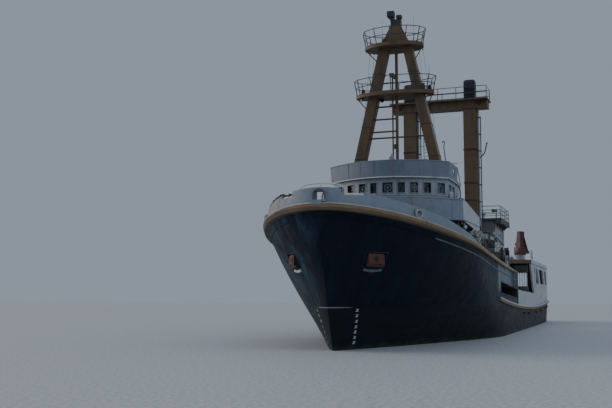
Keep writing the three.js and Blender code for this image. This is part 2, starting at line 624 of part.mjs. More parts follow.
// Wheelhouse roof with the visor that leans out around its front and sides
const VISOR = { out: 0.3, lean: 0.16, thick: 0.1, aft: 10.2 };
function buildRoof() {
  const edge = (grow) => [
    ...curvedFront(
      WHEELHOUSE.cornerX + grow * 0.5, WHEELHOUSE.crownX + grow, WHEELHOUSE.half + grow * 0.45,
    ),
    [WHEELHOUSE.aft - 0.1, WHEELHOUSE.half + grow * 0.45],
    [WHEELHOUSE.aft - 0.1, -WHEELHOUSE.half - grow * 0.45],
  ];
  const ring = (grow, z) => edge(grow).map(([x, y]) => [x, y, z]);
  const low = ROOF_LEVEL + GAP;
  const shell = loft([ring(VISOR.out, low), ring(VISOR.out + VISOR.lean, VISOR_TOP)]);
  const hollow = loft([
    ring(VISOR.out - VISOR.thick, low + 0.2), ring(VISOR.out + VISOR.lean - VISOR.thick, VISOR_TOP + 0.5),
  ]);
  const open = box(0, VISOR.aft, -9, 9, low + 0.2, 14);
  const side = box(11.2, 11.9, -9, 9, 11.05, 11.5);
  return shell.subtract(hollow).subtract(open).subtract(side);
}
addPiece('wheelhouse_roof', buildRoof(), 'grey');
const ROOF_TOP = ROOF_LEVEL + GAP + 0.2;

// Bipod mast: two raking box legs, the head where they meet and its lamp arms
const LEG = { footY: 3.05, headY: 0.86, wide: 0.72, deep: 0.9, footZ: ROOF_TOP + GAP, headZ: 20.5 };
const legY = (z) => lerp(LEG.footY, LEG.headY, (z - LEG.footZ) / (LEG.headZ - LEG.footZ));
const oblong = (x, y, z, deep, wide) => [
  [x - deep / 2, y - wide / 2, z], [x + deep / 2, y - wide / 2, z],
  [x + deep / 2, y + wide / 2, z], [x - deep / 2, y + wide / 2, z],
];
// Cross bars of the mast. Columns: height, from and to as shares of the leg's distance from the middle
const MAST_BARS = [[16.35, -1, 0], [15.45, -1, 0], [14.55, -1, 0], [14.1, -1, 1]];
// Legs, collar and poles, thicker all round by grow
function mastFrame(grow) {
  const wide = LEG.wide + 2 * grow;
  const deep = LEG.deep + 2 * grow;
  const leg = (side) => loft([
    oblong(MAST_X, side * LEG.footY, LEG.footZ, deep, wide),
    oblong(MAST_X, side * LEG.headY, LEG.headZ, deep * 0.9, wide * 0.9),
  ]);
  const collar = loft([
    oblong(MAST_X, 0, 20.4 - grow, 0.78 + 2 * grow, 1.95 + 2 * grow),
    oblong(MAST_X, 0, 21.1, 0.75 + 2 * grow, 1.7 + 2 * grow), oblong(MAST_X, 0, 22.15, 0.5, 0.74),
  ]);
  const pole = bar([MAST_X, 0, LEG.footZ], [MAST_X, 0, 20.2], 0.11 + 1.2 * grow, 10);
  const horn = bar([MAST_X, -0.3, LEG.footZ], [MAST_X, -0.3, 18.55], 0.055 + 1.2 * grow, 8);
  return join([leg(1), leg(-1), collar, pole, horn]);
}
function buildMast() {
  const foot = (side) => box(MAST_X - 0.6, MAST_X + 0.6, side * LEG.footY - 0.5, side * LEG.footY + 0.5,
    LEG.footZ, LEG.footZ + 0.06);
  const trunk = box(MAST_X - 0.25, MAST_X + 0.25, -0.34, 0.37, 22.1, 22.62);
  const armLow = loft([oblong(MAST_X, -0.12, 22.5, 0.34, 0.4), oblong(MAST_X, -0.4, 22.92, 0.3, 0.34)]);
  const lampLow = box(MAST_X - 0.22, MAST_X + 0.26, -0.6, -0.12, 22.87, 23.28);
  const armHigh = loft([oblong(MAST_X, 0.2, 22.5, 0.3, 0.24), oblong(MAST_X, 0.24, 22.76, 0.3, 0.24)]);
  const lampHigh = box(MAST_X - 0.2, MAST_X + 0.2, 0.06, 0.42, 22.7, 22.94);
  const bars = MAST_BARS.map(([z, from, to]) => bar(
    [MAST_X, from * legY(z), z], [MAST_X, to * legY(z), z], 0.06, 8));
  const hornTie = box(MAST_X - 0.03, MAST_X + 0.03, -0.34, 0, 16.0, 16.06);
  const hornHead = box(MAST_X - 0.16, MAST_X + 0.16, -0.5, -0.2, 18.5, 18.75);
  return join([
    mastFrame(0), foot(1), foot(-1), trunk, armLow, lampLow, armHigh, lampHigh, ...bars,
    hornTie, hornHead,
  ]);
}
addPiece('bipod_mast', buildMast(), 'buff');
const mastSpace = mastFrame(GAP * 1.5);

// Mast platforms. Columns: name, floor height, half width, half depth, rail lean, rail points
const PLATFORMS = [
  ['crows_nest', CROWS_NEST, 2.15, 1.25, 0.22, 12],
  ['mid_platform', MID_PLATFORM, 2.85, 1.15, 0.2, 12],
];
const FLOOR_THICK = 0.26;
const PLATFORM_Y = -0.15;
PLATFORMS.forEach(([name, floor, half, depth, lean, count]) => {
  const rim = arc(MAST_X, PLATFORM_Y, depth, half, 0, 360, 24).slice(0, -1);
  const railPoints = arc(MAST_X, PLATFORM_Y, depth - 0.07, half - 0.07, 0, 360, count).slice(0, -1);
  const plate = slab(rim, floor - FLOOR_THICK, floor);
  const braces = [-1, 1].map((side) => bar(
    [MAST_X, PLATFORM_Y + side * (half - 0.1), floor - FLOOR_THICK + 0.04],
    [MAST_X, side * (legY(floor - 1.1) + 0.3), floor - 1.15], 0.035, 6));
  const rail = railing(railPoints, floor, true, { lean });
  addPiece(name, join([plate, rail, ...braces]).subtract(mastSpace), 'buff');
});

// Gantry: two exhaust posts under a box beam, its platform with rails, and the cowls on top
const POST = { wide: 1.08, deep: 1.0 };
const BEAM = { half: 4.2, x0: GANTRY_X - 0.6, x1: GANTRY_X + 0.6, z0: 19.13 };
const COWL = { foot: 19.9, top: 21.8, deep: 0.9, wide: 0.98, shoulder: 0.3 };
// Bands around the posts, by height
const POST_BANDS = [9.4, 11.1, 12.6, 15.5];
function buildPost(side) {
  const y = side * GANTRY_Y;
  const trunk = box(GANTRY_X - POST.deep / 2, GANTRY_X + POST.deep / 2, y - POST.wide / 2,
    y + POST.wide / 2, 4.5, BEAM.z0 - GAP);
  const deep = POST.deep / 2 + 0.05;
  const wide = POST.wide / 2 + 0.05;
  const bands = POST_BANDS.map((z) => box(
    GANTRY_X - deep, GANTRY_X + deep, y - wide, y + wide, z, z + 0.09));
  return seat(join([trunk, ...bands]));
}
addPiece('gantry_post_port', buildPost(1), 'buff');
addPiece('gantry_post_starboard', buildPost(-1), 'buff');
function buildBeam() {
  const { half, x0, x1, z0 } = BEAM;
  const girder = box(x0, x1, -half, half, z0, GANTRY_TOP);
  const plate = box(x0 - 0.5, x1 + 0.5, -half - 0.1, half + 0.1, GANTRY_TOP, COWL.foot - GAP);
  const edge = [
    [x0 - 0.4, -half], [x0 - 0.4, 0], [x0 - 0.4, half], [x1 + 0.4, half], [x1 + 0.4, 1.6],
    [x1 + 0.4, 0], [x1 + 0.4, -1.6], [x1 + 0.4, -half],
  ];
  return join([girder, plate, railing(edge, COWL.foot, true)]);
}
addPiece('gantry_beam', buildBeam(), 'buff');
function buildCowl(side) {
  const y = side * GANTRY_Y;
  const half = COWL.deep / 2;
  const rise = COWL.top - COWL.foot;
  const crown = Array.from({ length: 9 }, (_, i) => {
    const angle = THREE.MathUtils.degToRad(lerp(0, 115, i / 8));
    return [GANTRY_X - 0.05 + half * Math.cos(angle), COWL.top - half + half * Math.sin(angle)];
  });
  const outline = [[GANTRY_X - half, COWL.foot], [GANTRY_X + half, COWL.foot], ...crown,
    [GANTRY_X - half, COWL.foot + rise * 0.62]];
  // Shoulders rounded as they are seen from ahead
  const shoulderY = COWL.wide / 2 - COWL.shoulder;
  const shoulderZ = COWL.top - COWL.shoulder;
  const rounding = join([
    box(GANTRY_X - 1, GANTRY_X + 1, y - COWL.wide / 2, y + COWL.wide / 2, COWL.foot - 1, shoulderZ),
    box(GANTRY_X - 1, GANTRY_X + 1, y - shoulderY, y + shoulderY, COWL.foot - 1, COWL.top + 1),
    ...[-1, 1].map((s) => bar([GANTRY_X - 1, y + s * shoulderY, shoulderZ],
      [GANTRY_X + 1, y + s * shoulderY, shoulderZ], COWL.shoulder, 24)),
  ]);
  return profile(outline, y - COWL.wide / 2, y + COWL.wide / 2).intersect(rounding);
}
addPiece('exhaust_cowl_port', buildCowl(1), 'navy');
addPiece('exhaust_cowl_starboard', buildCowl(-1), 'navy');

// Grey deckhouse abaft the gantry, hollow, and the wing platform on it
const HOUSE = { fore: -6.2, aft: -11.4, half: 4.4, thick: 0.16 };
const HOUSE_DOOR = { hinge: 2.8, width: 0.84, height: 1.9, sill: mainDeck(-11.4) + 0.25 };
const atHouseDoor = (solid) => solid.rotate([0, 0, 90])
  .translate([HOUSE.aft, HOUSE_DOOR.hinge, HOUSE_DOOR.sill]);
// Windows in the after wall. Columns: y from, to
const HOUSE_WINDOWS = [[-3, -1.6], [1.6, 3]];
function buildAfterHouse() {
  const { fore, aft, half, thick } = HOUSE;
  const { hinge, width, height, sill } = HOUSE_DOOR;
  const top = HOUSE_FLOOR - 0.16 - GAP;
  let walls = box(aft, fore, -half, half, 1.8, top)
    .subtract(box(aft + thick, fore - thick, -half + thick, half - thick, 1, 12))
    .subtract(box(aft - 1, aft + 1, hinge - width, hinge, sill, sill + height));
  HOUSE_WINDOWS.forEach(([y0, y1]) => {
    walls = walls.subtract(box(aft - 1, aft + 1, y0, y1, 7.6, 8.4));
  });
  return seat(walls.add(atHouseDoor(doorHinges(height))));
}
addPiece('after_deckhouse', buildAfterHouse(), 'grey');
addPiece('after_house_door', atHouseDoor(doorLeaf(HOUSE_DOOR.width, HOUSE_DOOR.height)), 'grey');
function buildWingPlatform() {
  const x0 = HOUSE.aft - 0.3;
  const x1 = HOUSE.fore + 0.25;
  const half = HOUSE.half + 0.58;
  const plate = box(x0, x1, -half, half, HOUSE_FLOOR - 0.16, HOUSE_FLOOR);
  const portCoaming = box(x0, x1, half - 0.5, half, HOUSE_FLOOR - 0.46, HOUSE_FLOOR - 0.1);
  const e = 0.08;
  const edge = [
    [x0 + e, -half + e], [x0 + e, -2.5], [x0 + e, 0], [x0 + e, 2.5], [x0 + e, half - e],
    [-10, half - e], [-8.6, half - e], [-7.2, half - e], [x1 - e, half - e], [x1 - e, 2.5], [x1 - e, 0],
    [x1 - e, -2.5], [x1 - e, -half + e], [-7.2, -half + e], [-8.6, -half + e], [-10, -half + e],
  ];
  const levels = [0.38, 0.72, 1.05];
  return join([plate, portCoaming, mirror(portCoaming), railing(edge, HOUSE_FLOOR, true, { levels })]);
}
addPiece('wing_platform', buildWingPlatform(), 'grey');

// Trawl winches at the after end of the shelter deck
const WINCH = { x: -1.9, y0: 4.35, y1: 5.75, z: 5.95, radius: 0.72, shaft: 0.12 };
function buildWinchFrame() {
  const { x, y0, y1, z } = WINCH;
  const bed = box(x - 0.9, x + 0.9, y0 - 0.75, y1 + 0.25, 4.6, sheer(x) + 0.16);
  const cheek = (y) => profile(
    [[x - 0.55, 4.8], [x + 0.55, 4.8], [x + 0.2, z + 0.25], [x - 0.2, z + 0.25]], y - 0.08, y + 0.08);
  const motor = box(x - 0.42, x + 0.42, y0 - 0.7, y0 - 0.2, 5.0, 6.75);
  const bore = bar([x, y0 - 0.19, z], [x, 8, z], boreFor(WINCH.shaft), ROUND);
  return seat(join([bed, cheek(y0 - 0.1), cheek(y1 + 0.1), motor]).subtract(bore));
}
function buildWinchDrum() {
  const { x, y0, y1, z, radius, shaft } = WINCH;
  const reach = y0 - 0.17;
  return turned([
    [0, reach], [shaft, reach], [shaft, y0 + 0.04], [radius, y0 + 0.04], [radius, y0 + 0.12],
    [0.5, y0 + 0.12], [0.5, y1 - 0.12], [radius, y1 - 0.12], [radius, y1 - 0.04],
    [shaft, y1 - 0.04], [shaft, y1 + 0.22], [0, y1 + 0.22],
  ], [x, 0, z], [0, 1, 0], ROUND);
}
const winchFrame = buildWinchFrame();
const winchDrum = buildWinchDrum();
addPiece('winch_frame_port', winchFrame, 'grey');
addPiece('winch_frame_starboard', mirror(winchFrame), 'grey');
addPiece('winch_drum_port', winchDrum, 'steel');
addPiece('winch_drum_starboard', mirror(winchDrum), 'steel');

// White side of the after shelter: bulwark forward, then a wall with three tall openings
const WALL = { thick: 0.16, aft: -37.3, bulwark: 1.25, rakeTop: SHELTER_FRONT - 0.5, rakeFoot: -19.4 };
// Openings, raked like the fore edge of the wall. Columns: after end and fore end of the sill
const WALL_OPENINGS = [[-25.0, -21.6], [-31.6, -26.9], [-36.6, -33.6]];
const OPENING_SILL = 4.25;
const OPENING_HEAD = 5.75;
const OPENING_RAKE = 1.6;
function buildShelterSide() {
  const stations = [WALL.aft, -35, -32, -29, -26, -22, -18, -13, -9, DECK_BREAK - GAP];
  const rings = stations.map((x) => {
    const y = hullSide(x, mainDeck(x)) - 0.01;
    const foot = mainDeck(x) - 0.03;
    return [[x, y - WALL.thick, foot], [x, y, foot], [x, y, SHELTER_ROOF - GAP],
      [x, y - WALL.thick, SHELTER_ROOF - GAP]];
  });
  let wall = loft(rings);
  const bulwarkTop = [SHELTER_FRONT, -10, DECK_BREAK + 1].map((x) => [x, mainDeck(x) + WALL.bulwark]);
  const rakeFootZ = mainDeck(WALL.rakeFoot) + WALL.bulwark;
  wall = wall.subtract(profile(
    [[WALL.rakeFoot, rakeFootZ], ...bulwarkTop, [0, 9], [WALL.rakeTop, 9],
      [WALL.rakeTop, SHELTER_ROOF - 0.3]], -9, 9));
  WALL_OPENINGS.forEach(([x0, x1]) => {
    wall = wall.subtract(profile([[x0, OPENING_SILL], [x1, OPENING_SILL],
      [x1 + OPENING_RAKE, OPENING_HEAD], [x0 + OPENING_RAKE, OPENING_HEAD]], -9, 9));
  });
  // Small square port low in the wall
  wall = wall.subtract(box(-28, -27.5, -9, 9, 2.75, 3.2));
  return seat(wall);
}
const shelterSide = buildShelterSide();
addPiece('shelter_side_port', shelterSide, 'white');
addPiece('shelter_side_starboard', mirror(shelterSide), 'white');

// Roof over the after deck with its buff fascia, and the rails on it
const ROOF = { aft: -37.5, thick: 0.35 };
const PILLAR = { x: SHELTER_FRONT - 0.6, y: 4.5, half: 0.11 };
function buildShelterRoof() {
  const stations = [ROOF.aft, -35, -32, -28, -24, -20, SHELTER_FRONT];
  const side = (x) => hullSide(x, mainDeck(x)) + 0.06;
  const outline = [...stations.map((x) => [x, side(x)]), ...stations.map((x) => [x, -side(x)]).reverse()];
  const plate = slab(outline, SHELTER_ROOF, SHELTER_ROOF + ROOF.thick);
  const beams = [-19, -24, -29.5, -34].map((x) => box(x - 0.08, x + 0.08, -5.6, 5.6,
    SHELTER_ROOF - 0.25, SHELTER_ROOF + 0.1));
  const pillars = [1, -1].map((s) => seat(box(PILLAR.x - PILLAR.half, PILLAR.x + PILLAR.half,
    s * PILLAR.y - PILLAR.half, s * PILLAR.y + PILLAR.half, 1.5, SHELTER_ROOF + 0.1)));
  const foreRail = (s) => [1.5, 2.75, 4.0].map((y) => [SHELTER_FRONT - 0.15, s * y]);
  const sideRail = (s) => [-19.8, -21.1].map((x) => [x, s * 6.05]);
  const floor = SHELTER_ROOF + ROOF.thick;
  const levels = [0.38, 0.72, 1.05];
  const rails = [1, -1].flatMap((s) => [
    railing(foreRail(s), floor, false, { levels }), railing(sideRail(s), floor, false, { levels })]);
  return join([plate, ...beams, ...pillars, ...rails]);
}
addPiece('shelter_roof', buildShelterRoof(), 'white');
const ROOF_DECK = SHELTER_ROOF + ROOF.thick;

// Red deck crane on the roof: pedestal, slewing column and folded boom
const CRANE = { x: -17.8, y: 5.2, pedestal: 0.5, headZ: 9.1, half: 0.4, turn: -32 };
function buildPedestal() {
  const { pedestal } = CRANE;
  return turned([[0, 0], [0.55, 0], [0.55, 0.08], [0.46, 0.1], [0.46, pedestal], [0, pedestal]],
    [CRANE.x, CRANE.y, ROOF_DECK + GAP], [0, 0, 1], 24);
}
const CRANE_BASE = ROOF_DECK + 2 * GAP + CRANE.pedestal;
const BOOM_PIN = { out: 0.35, radius: 0.06, half: 0.15 };
// Turns a solid drawn with its boom pointing aft to the angle at which the crane is stowed
const stowed = (solid) => solid.translate([-CRANE.x, -CRANE.y, 0]).rotate([0, 0, CRANE.turn])
  .translate([CRANE.x, CRANE.y, 0]);
function buildCraneColumn() {
  const { x, y, headZ, half } = CRANE;
  const body = box(x - half, x + half, y - half, y + half, CRANE_BASE, CRANE_BASE + 0.78);
  const post = loft([
    oblong(x, y, CRANE_BASE + 0.7, 0.6, 0.56), oblong(x, y, headZ + 0.15, 0.34, 0.34),
  ]);
  const ear = (s) => box(x - BOOM_PIN.out - 0.15, x, y + s * BOOM_PIN.half - 0.03,
    y + s * BOOM_PIN.half + 0.03, headZ - 0.22, headZ + 0.2);
  const pin = bar([x - BOOM_PIN.out, y - 0.16, headZ], [x - BOOM_PIN.out, y + 0.16, headZ],
    BOOM_PIN.radius, ROUND);
  const head = box(x - 0.1, x + 0.17, y - 0.18, y + 0.18, headZ - 0.22, headZ + 0.2);
  return stowed(join([body, post, head, ear(1), ear(-1), pin]));
}
function buildBoom() {
  const { x, y, headZ } = CRANE;
  const px = x - BOOM_PIN.out;
  const eye = bar([px, y - 0.11, headZ], [px, y + 0.11, headZ], 0.15, 16);
  const arm = loft([
    oblong(px, y, headZ, 0.3, 0.2), oblong(px - 0.72, y, headZ - 1.75, 0.26, 0.2),
  ]);
  const tip = box(px - 0.93, px - 0.55, y - 0.12, y + 0.12, headZ - 1.95, headZ - 1.68);
  const bore = bar([px, y - 1, headZ], [px, y + 1, headZ], boreFor(BOOM_PIN.radius), ROUND);
  return stowed(join([eye, arm, tip]).subtract(bore));
}
addPiece('crane_pedestal', buildPedestal(), 'grey');
addPiece('crane_column', buildCraneColumn(), 'red');
addPiece('crane_boom', buildBoom(), 'red');

// Net drum on the main deck under the front of the shelter
const NET_DRUM = { x: -17.4, half: 3.6, z: 3.55, radius: 1.05, core: 0.4, stub: 0.13 };
function buildNetDrum() {
  const { half, radius, core, stub } = NET_DRUM;
  return turned([
    [0, -half - 0.36], [stub, -half - 0.36], [stub, -half], [radius, -half], [radius, -half + 0.12],
    [core, -half + 0.12], [core, half - 0.12], [radius, half - 0.12], [radius, half],
    [stub, half], [stub, half + 0.36], [0, half + 0.36],
  ], [NET_DRUM.x, 0, NET_DRUM.z], [0, 1, 0], ROUND);
}
function buildNetDrumFrame(side) {
  const { x, half, z, stub } = NET_DRUM;
  const y = side * (half + 0.25);
  const cheek = profile([[x - 0.8, 1.6], [x + 0.8, 1.6], [x + 0.3, z + 0.35], [x - 0.3, z + 0.35]],
    y - 0.12, y + 0.12);
  const bore = bar([x, y - 0.4, z], [x, y + 0.4, z], boreFor(stub), ROUND);
  return seat(cheek.subtract(bore));
}
addPiece('net_drum', buildNetDrum(), 'red');
addPiece('net_drum_frame_port', buildNetDrumFrame(1), 'grey');
addPiece('net_drum_frame_starboard', buildNetDrumFrame(-1), 'grey');

// Fish hatch on the main deck, with its hinged lid
const HATCH = { x0: -24.6, x1: -22.4, half: 1.1, rise: 0.45 };
const HATCH_TOP = mainDeck(-24.6) + HATCH.rise;
function buildCoaming() {
  const { x0, x1, half } = HATCH;
  return seat(box(x0, x1, -half, half, 1.6, HATCH_TOP)
    .subtract(box(x0 + 0.12, x1 - 0.12, -half + 0.12, half - 0.12, 1, 4)));
}
function buildLid() {
  const { x0, x1, half } = HATCH;
  const z = HATCH_TOP + GAP;
  const lid = box(x0 - 0.05, x1 + 0.05, -half - 0.05, half + 0.05, z, z + 0.1);
  return join([lid, box(x0 + 0.3, x1 - 0.3, -0.05, 0.05, z + 0.08, z + 0.2)]);
}
addPiece('hatch_coaming', buildCoaming(), 'grey');
addPiece('hatch_lid', buildLid(), 'grey');

// Life raft canisters beside the lower deckhouse
const RAFT = { x: 6.8, y: 4.75, radius: 0.36, length: 1.5 };
function buildRaft() {
  const { x, y, radius, length } = RAFT;
  const deck = sheer(x);
  const z = deck + 0.35 + radius;
  const can = bar([x - length / 2, y, z], [x + length / 2, y, z], radius, 16);
  const cradle = [-0.45, 0.45].map((dx) => box(x + dx - 0.06, x + dx + 0.06, y - 0.3, y + 0.3, 4.9, z));
  return seat(join([can, ...cradle]));
}
const raft = buildRaft();
addPiece('life_raft_port', raft, 'white');
addPiece('life_raft_starboard', mirror(raft), 'white');

// Mooring bitts on the forecastle, in pairs on a bed
function buildBitts(x, y) {
  const deck = sheer(x);
  const post = (dx) => bar([x + dx, y, deck - 0.4], [x + dx, y, deck + 0.62], 0.13, 12);
  const bed = box(x - 0.55, x + 0.55, y - 0.22, y + 0.22, deck - 0.4, deck + 0.1);
  return seat(join([bed, post(-0.32), post(0.32)]));
}
addPiece('bitts_port', buildBitts(19.6, 4.4), 'steel');
addPiece('bitts_starboard', mirror(buildBitts(19.6, 4.4)), 'steel');

// Mushroom ventilator on the wheelhouse roof
function buildVent() {
  return turned([[0, 0], [0.14, 0], [0.14, 0.75], [0.26, 0.8], [0.26, 1.0], [0.18, 1.15], [0, 1.2]],
    [12.6, 0.35, ROOF_TOP + GAP], [0, 0, 1], 16);
}
addPiece('roof_ventilator', buildVent(), 'white');

// Propeller with four raked blades
const PROP = { x: TUBE_END - GAP, hub: 0.34, length: 0.8, radius: 1.5, blades: 4 };
function buildPropeller() {
  const hub = turned([[0, 0], [PROP.hub, 0], [PROP.hub * 0.9, PROP.length * 0.7],
    [PROP.hub * 0.45, PROP.length], [0, PROP.length]], [PROP.x, 0, SHAFT_Z], [-1, 0, 0], 20);
  // Blade sections. Columns: radius, half chord, pitch angle in degrees
  const sections = [
    [0.2, 0.24, 62], [0.6, 0.42, 45], [1.0, 0.5, 33], [1.35, 0.38, 26], [PROP.radius, 0.12, 23],
  ];
  const rings = sections.map(([r, chord, pitch]) => {
    const a = THREE.MathUtils.degToRad(pitch);
    const mid = PROP.x - PROP.length * 0.42;
    const thick = lerp(0.06, 0.02, r / PROP.radius);
    const chordwise = [Math.sin(a), Math.cos(a)];
    const across = [Math.cos(a), -Math.sin(a)];
    return [[-chord, 0], [0, -thick], [chord, 0], [0, thick]].map(([c, t]) => [
      mid + chordwise[0] * c + across[0] * t, chordwise[1] * c + across[1] * t, SHAFT_Z + r,
    ]);
  });
  const blade = loft(rings);
  const blades = Array.from({ length: PROP.blades }, (_, i) => blade
    .translate([0, 0, -SHAFT_Z]).rotate([(360 / PROP.blades) * i + 45, 0, 0]).translate([0, 0, SHAFT_Z]));
  return join([hub, ...blades]);
}
addPiece('propeller', buildPropeller(), 'bronze');

// Rudder with its stock between the sole piece and the trunk
function buildRudder() {
  const chord = (lead, trail, thick, z) => [
    [lead, 0, z], [lead - 0.35, thick, z], [lead - 1.0, thick * 0.7, z], [trail, 0.02, z],
    [trail, -0.02, z], [lead - 1.0, -thick * 0.7, z], [lead - 0.35, -thick, z],
  ];
  const lead = RUDDER_X + 0.45;
  const blade = loft([
    chord(lead, RUDDER_X - 1.75, 0.2, RUDDER_FOOT), chord(lead, RUDDER_X - 1.9, 0.2, -1.85),
  ]);
  const stock = bar([RUDDER_X, 0, RUDDER_FOOT], [RUDDER_X, 0, RUDDER_HEAD], 0.15, 12);
  return blade.add(stock);
}
addPiece('rudder', buildRudder(), 'rust');

export default group;
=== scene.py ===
"""Dresses the half-size stern trawler: weathered skins, deck gear, rails, rigging and cabin fittings.

Sizes and places are written in the real ship's metres, x forward from midships, y to port and z up from
the waterline. Every finished mesh is brought to the model's half size as it is put in the scene.
"""

import json
import logging
import math
import random
from dataclasses import dataclass
from enum import Enum, IntEnum
from typing import Callable, Iterable, Sequence

import bmesh
import bpy
from mathutils import Matrix, Vector
from mathutils.bvhtree import BVHTree

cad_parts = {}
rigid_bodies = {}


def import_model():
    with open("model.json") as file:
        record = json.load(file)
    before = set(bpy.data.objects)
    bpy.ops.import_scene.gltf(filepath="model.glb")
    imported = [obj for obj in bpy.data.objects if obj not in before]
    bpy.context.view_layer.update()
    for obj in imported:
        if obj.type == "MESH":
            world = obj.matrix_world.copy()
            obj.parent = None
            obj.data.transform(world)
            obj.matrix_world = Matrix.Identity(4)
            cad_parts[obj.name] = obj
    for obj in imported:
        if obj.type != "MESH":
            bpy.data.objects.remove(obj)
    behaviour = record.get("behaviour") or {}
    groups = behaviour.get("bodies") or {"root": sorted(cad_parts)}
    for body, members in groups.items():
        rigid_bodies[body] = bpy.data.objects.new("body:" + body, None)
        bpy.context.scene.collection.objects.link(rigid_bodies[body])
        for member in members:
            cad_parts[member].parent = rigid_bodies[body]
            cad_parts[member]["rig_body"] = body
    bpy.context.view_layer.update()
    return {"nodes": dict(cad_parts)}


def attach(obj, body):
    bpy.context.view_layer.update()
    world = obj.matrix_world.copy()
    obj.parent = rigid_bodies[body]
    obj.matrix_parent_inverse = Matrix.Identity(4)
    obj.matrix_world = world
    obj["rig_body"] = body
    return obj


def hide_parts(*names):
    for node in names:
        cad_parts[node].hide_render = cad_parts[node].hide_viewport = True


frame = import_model()

log = logging.getLogger("trawler")

MODEL_SCALE = 0.5
Point = Sequence[float]
Colour = tuple[float, float, float]
Vert = bmesh.types.BMVert
Node = bpy.types.Node
Socket = bpy.types.NodeSocket

# Main heights and lines of the ship, in her own metres
STEM_HEAD = 28.1
BRIDGE_DECK = 8.0
SCREEN_TOP = 9.2
WINDOW_SILL = 9.64
WINDOW_HEAD = 10.36
ROOF_LEVEL = 10.65
ROOF_TOP = 10.851
VISOR_TOP = 11.76
MAST_X = 10.7
MID_PLATFORM = 17.28
CROWS_NEST = 20.76
GANTRY_X = -5.05
GANTRY_Y = 2.65
GANTRY_FLOOR = 19.9
WING_FLOOR = 9.65
SHELTER_ROOF = 6.1
SHELTER_DECK = 6.45
SHELTER_FRONT = -16.6


class Slot(Enum):
    """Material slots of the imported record."""

    HULL = "hull_paint"
    BUFF = "buff_paint"
    GREY = "grey_paint"
    WHITE = "white_paint"
    RED = "red_paint"
    BOTTOM = "antifouling"
    COWL = "cowl_paint"
    GEAR = "gear_steel"
    BRONZE = "bronze"
    GLASS = "glass"
    LAMP = "lamp_glass"
    RUBBER = "black_rubber"
    NET = "net_twine"
    ROPE = "rope"
    ZINC = "galvanised"


class Side(IntEnum):
    """The two sides of the ship, as the sign of y."""

    PORT = 1
    STARBOARD = -1

    @property
    def word(self) -> str:
        """Name of the side as the nodes are named."""
        return self.name.lower()


def sheer(x: float) -> float:
    """Height of the shelter deck at the side, at a distance x forward of midships."""
    u = max(0, (x + 3) / (STEM_HEAD + 3))
    return 4.9 + 1.5 * u + 1.22 * u ** 3


def main_deck(x: float) -> float:
    """Height of the main deck, which lies open abaft the break of the shelter deck."""
    return 2.0 + (0.0015 if x > -17.0 else 0.0012) * (x + 17.0) ** 2


def lerp(a: float, b: float, t: float) -> float:
    """Value a share t of the way from a to b."""
    return a + (b - a) * t


def steps(low: float, high: float, count: int) -> list[float]:
    """Evenly spaced values from low to high, both ends among them."""
    return [lerp(low, high, i / (count - 1)) for i in range(count)]


def body_of(node: str) -> str:
    """CAD body that a node belongs to."""
    return frame["nodes"][node]["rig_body"]


SHIP = body_of("hull")


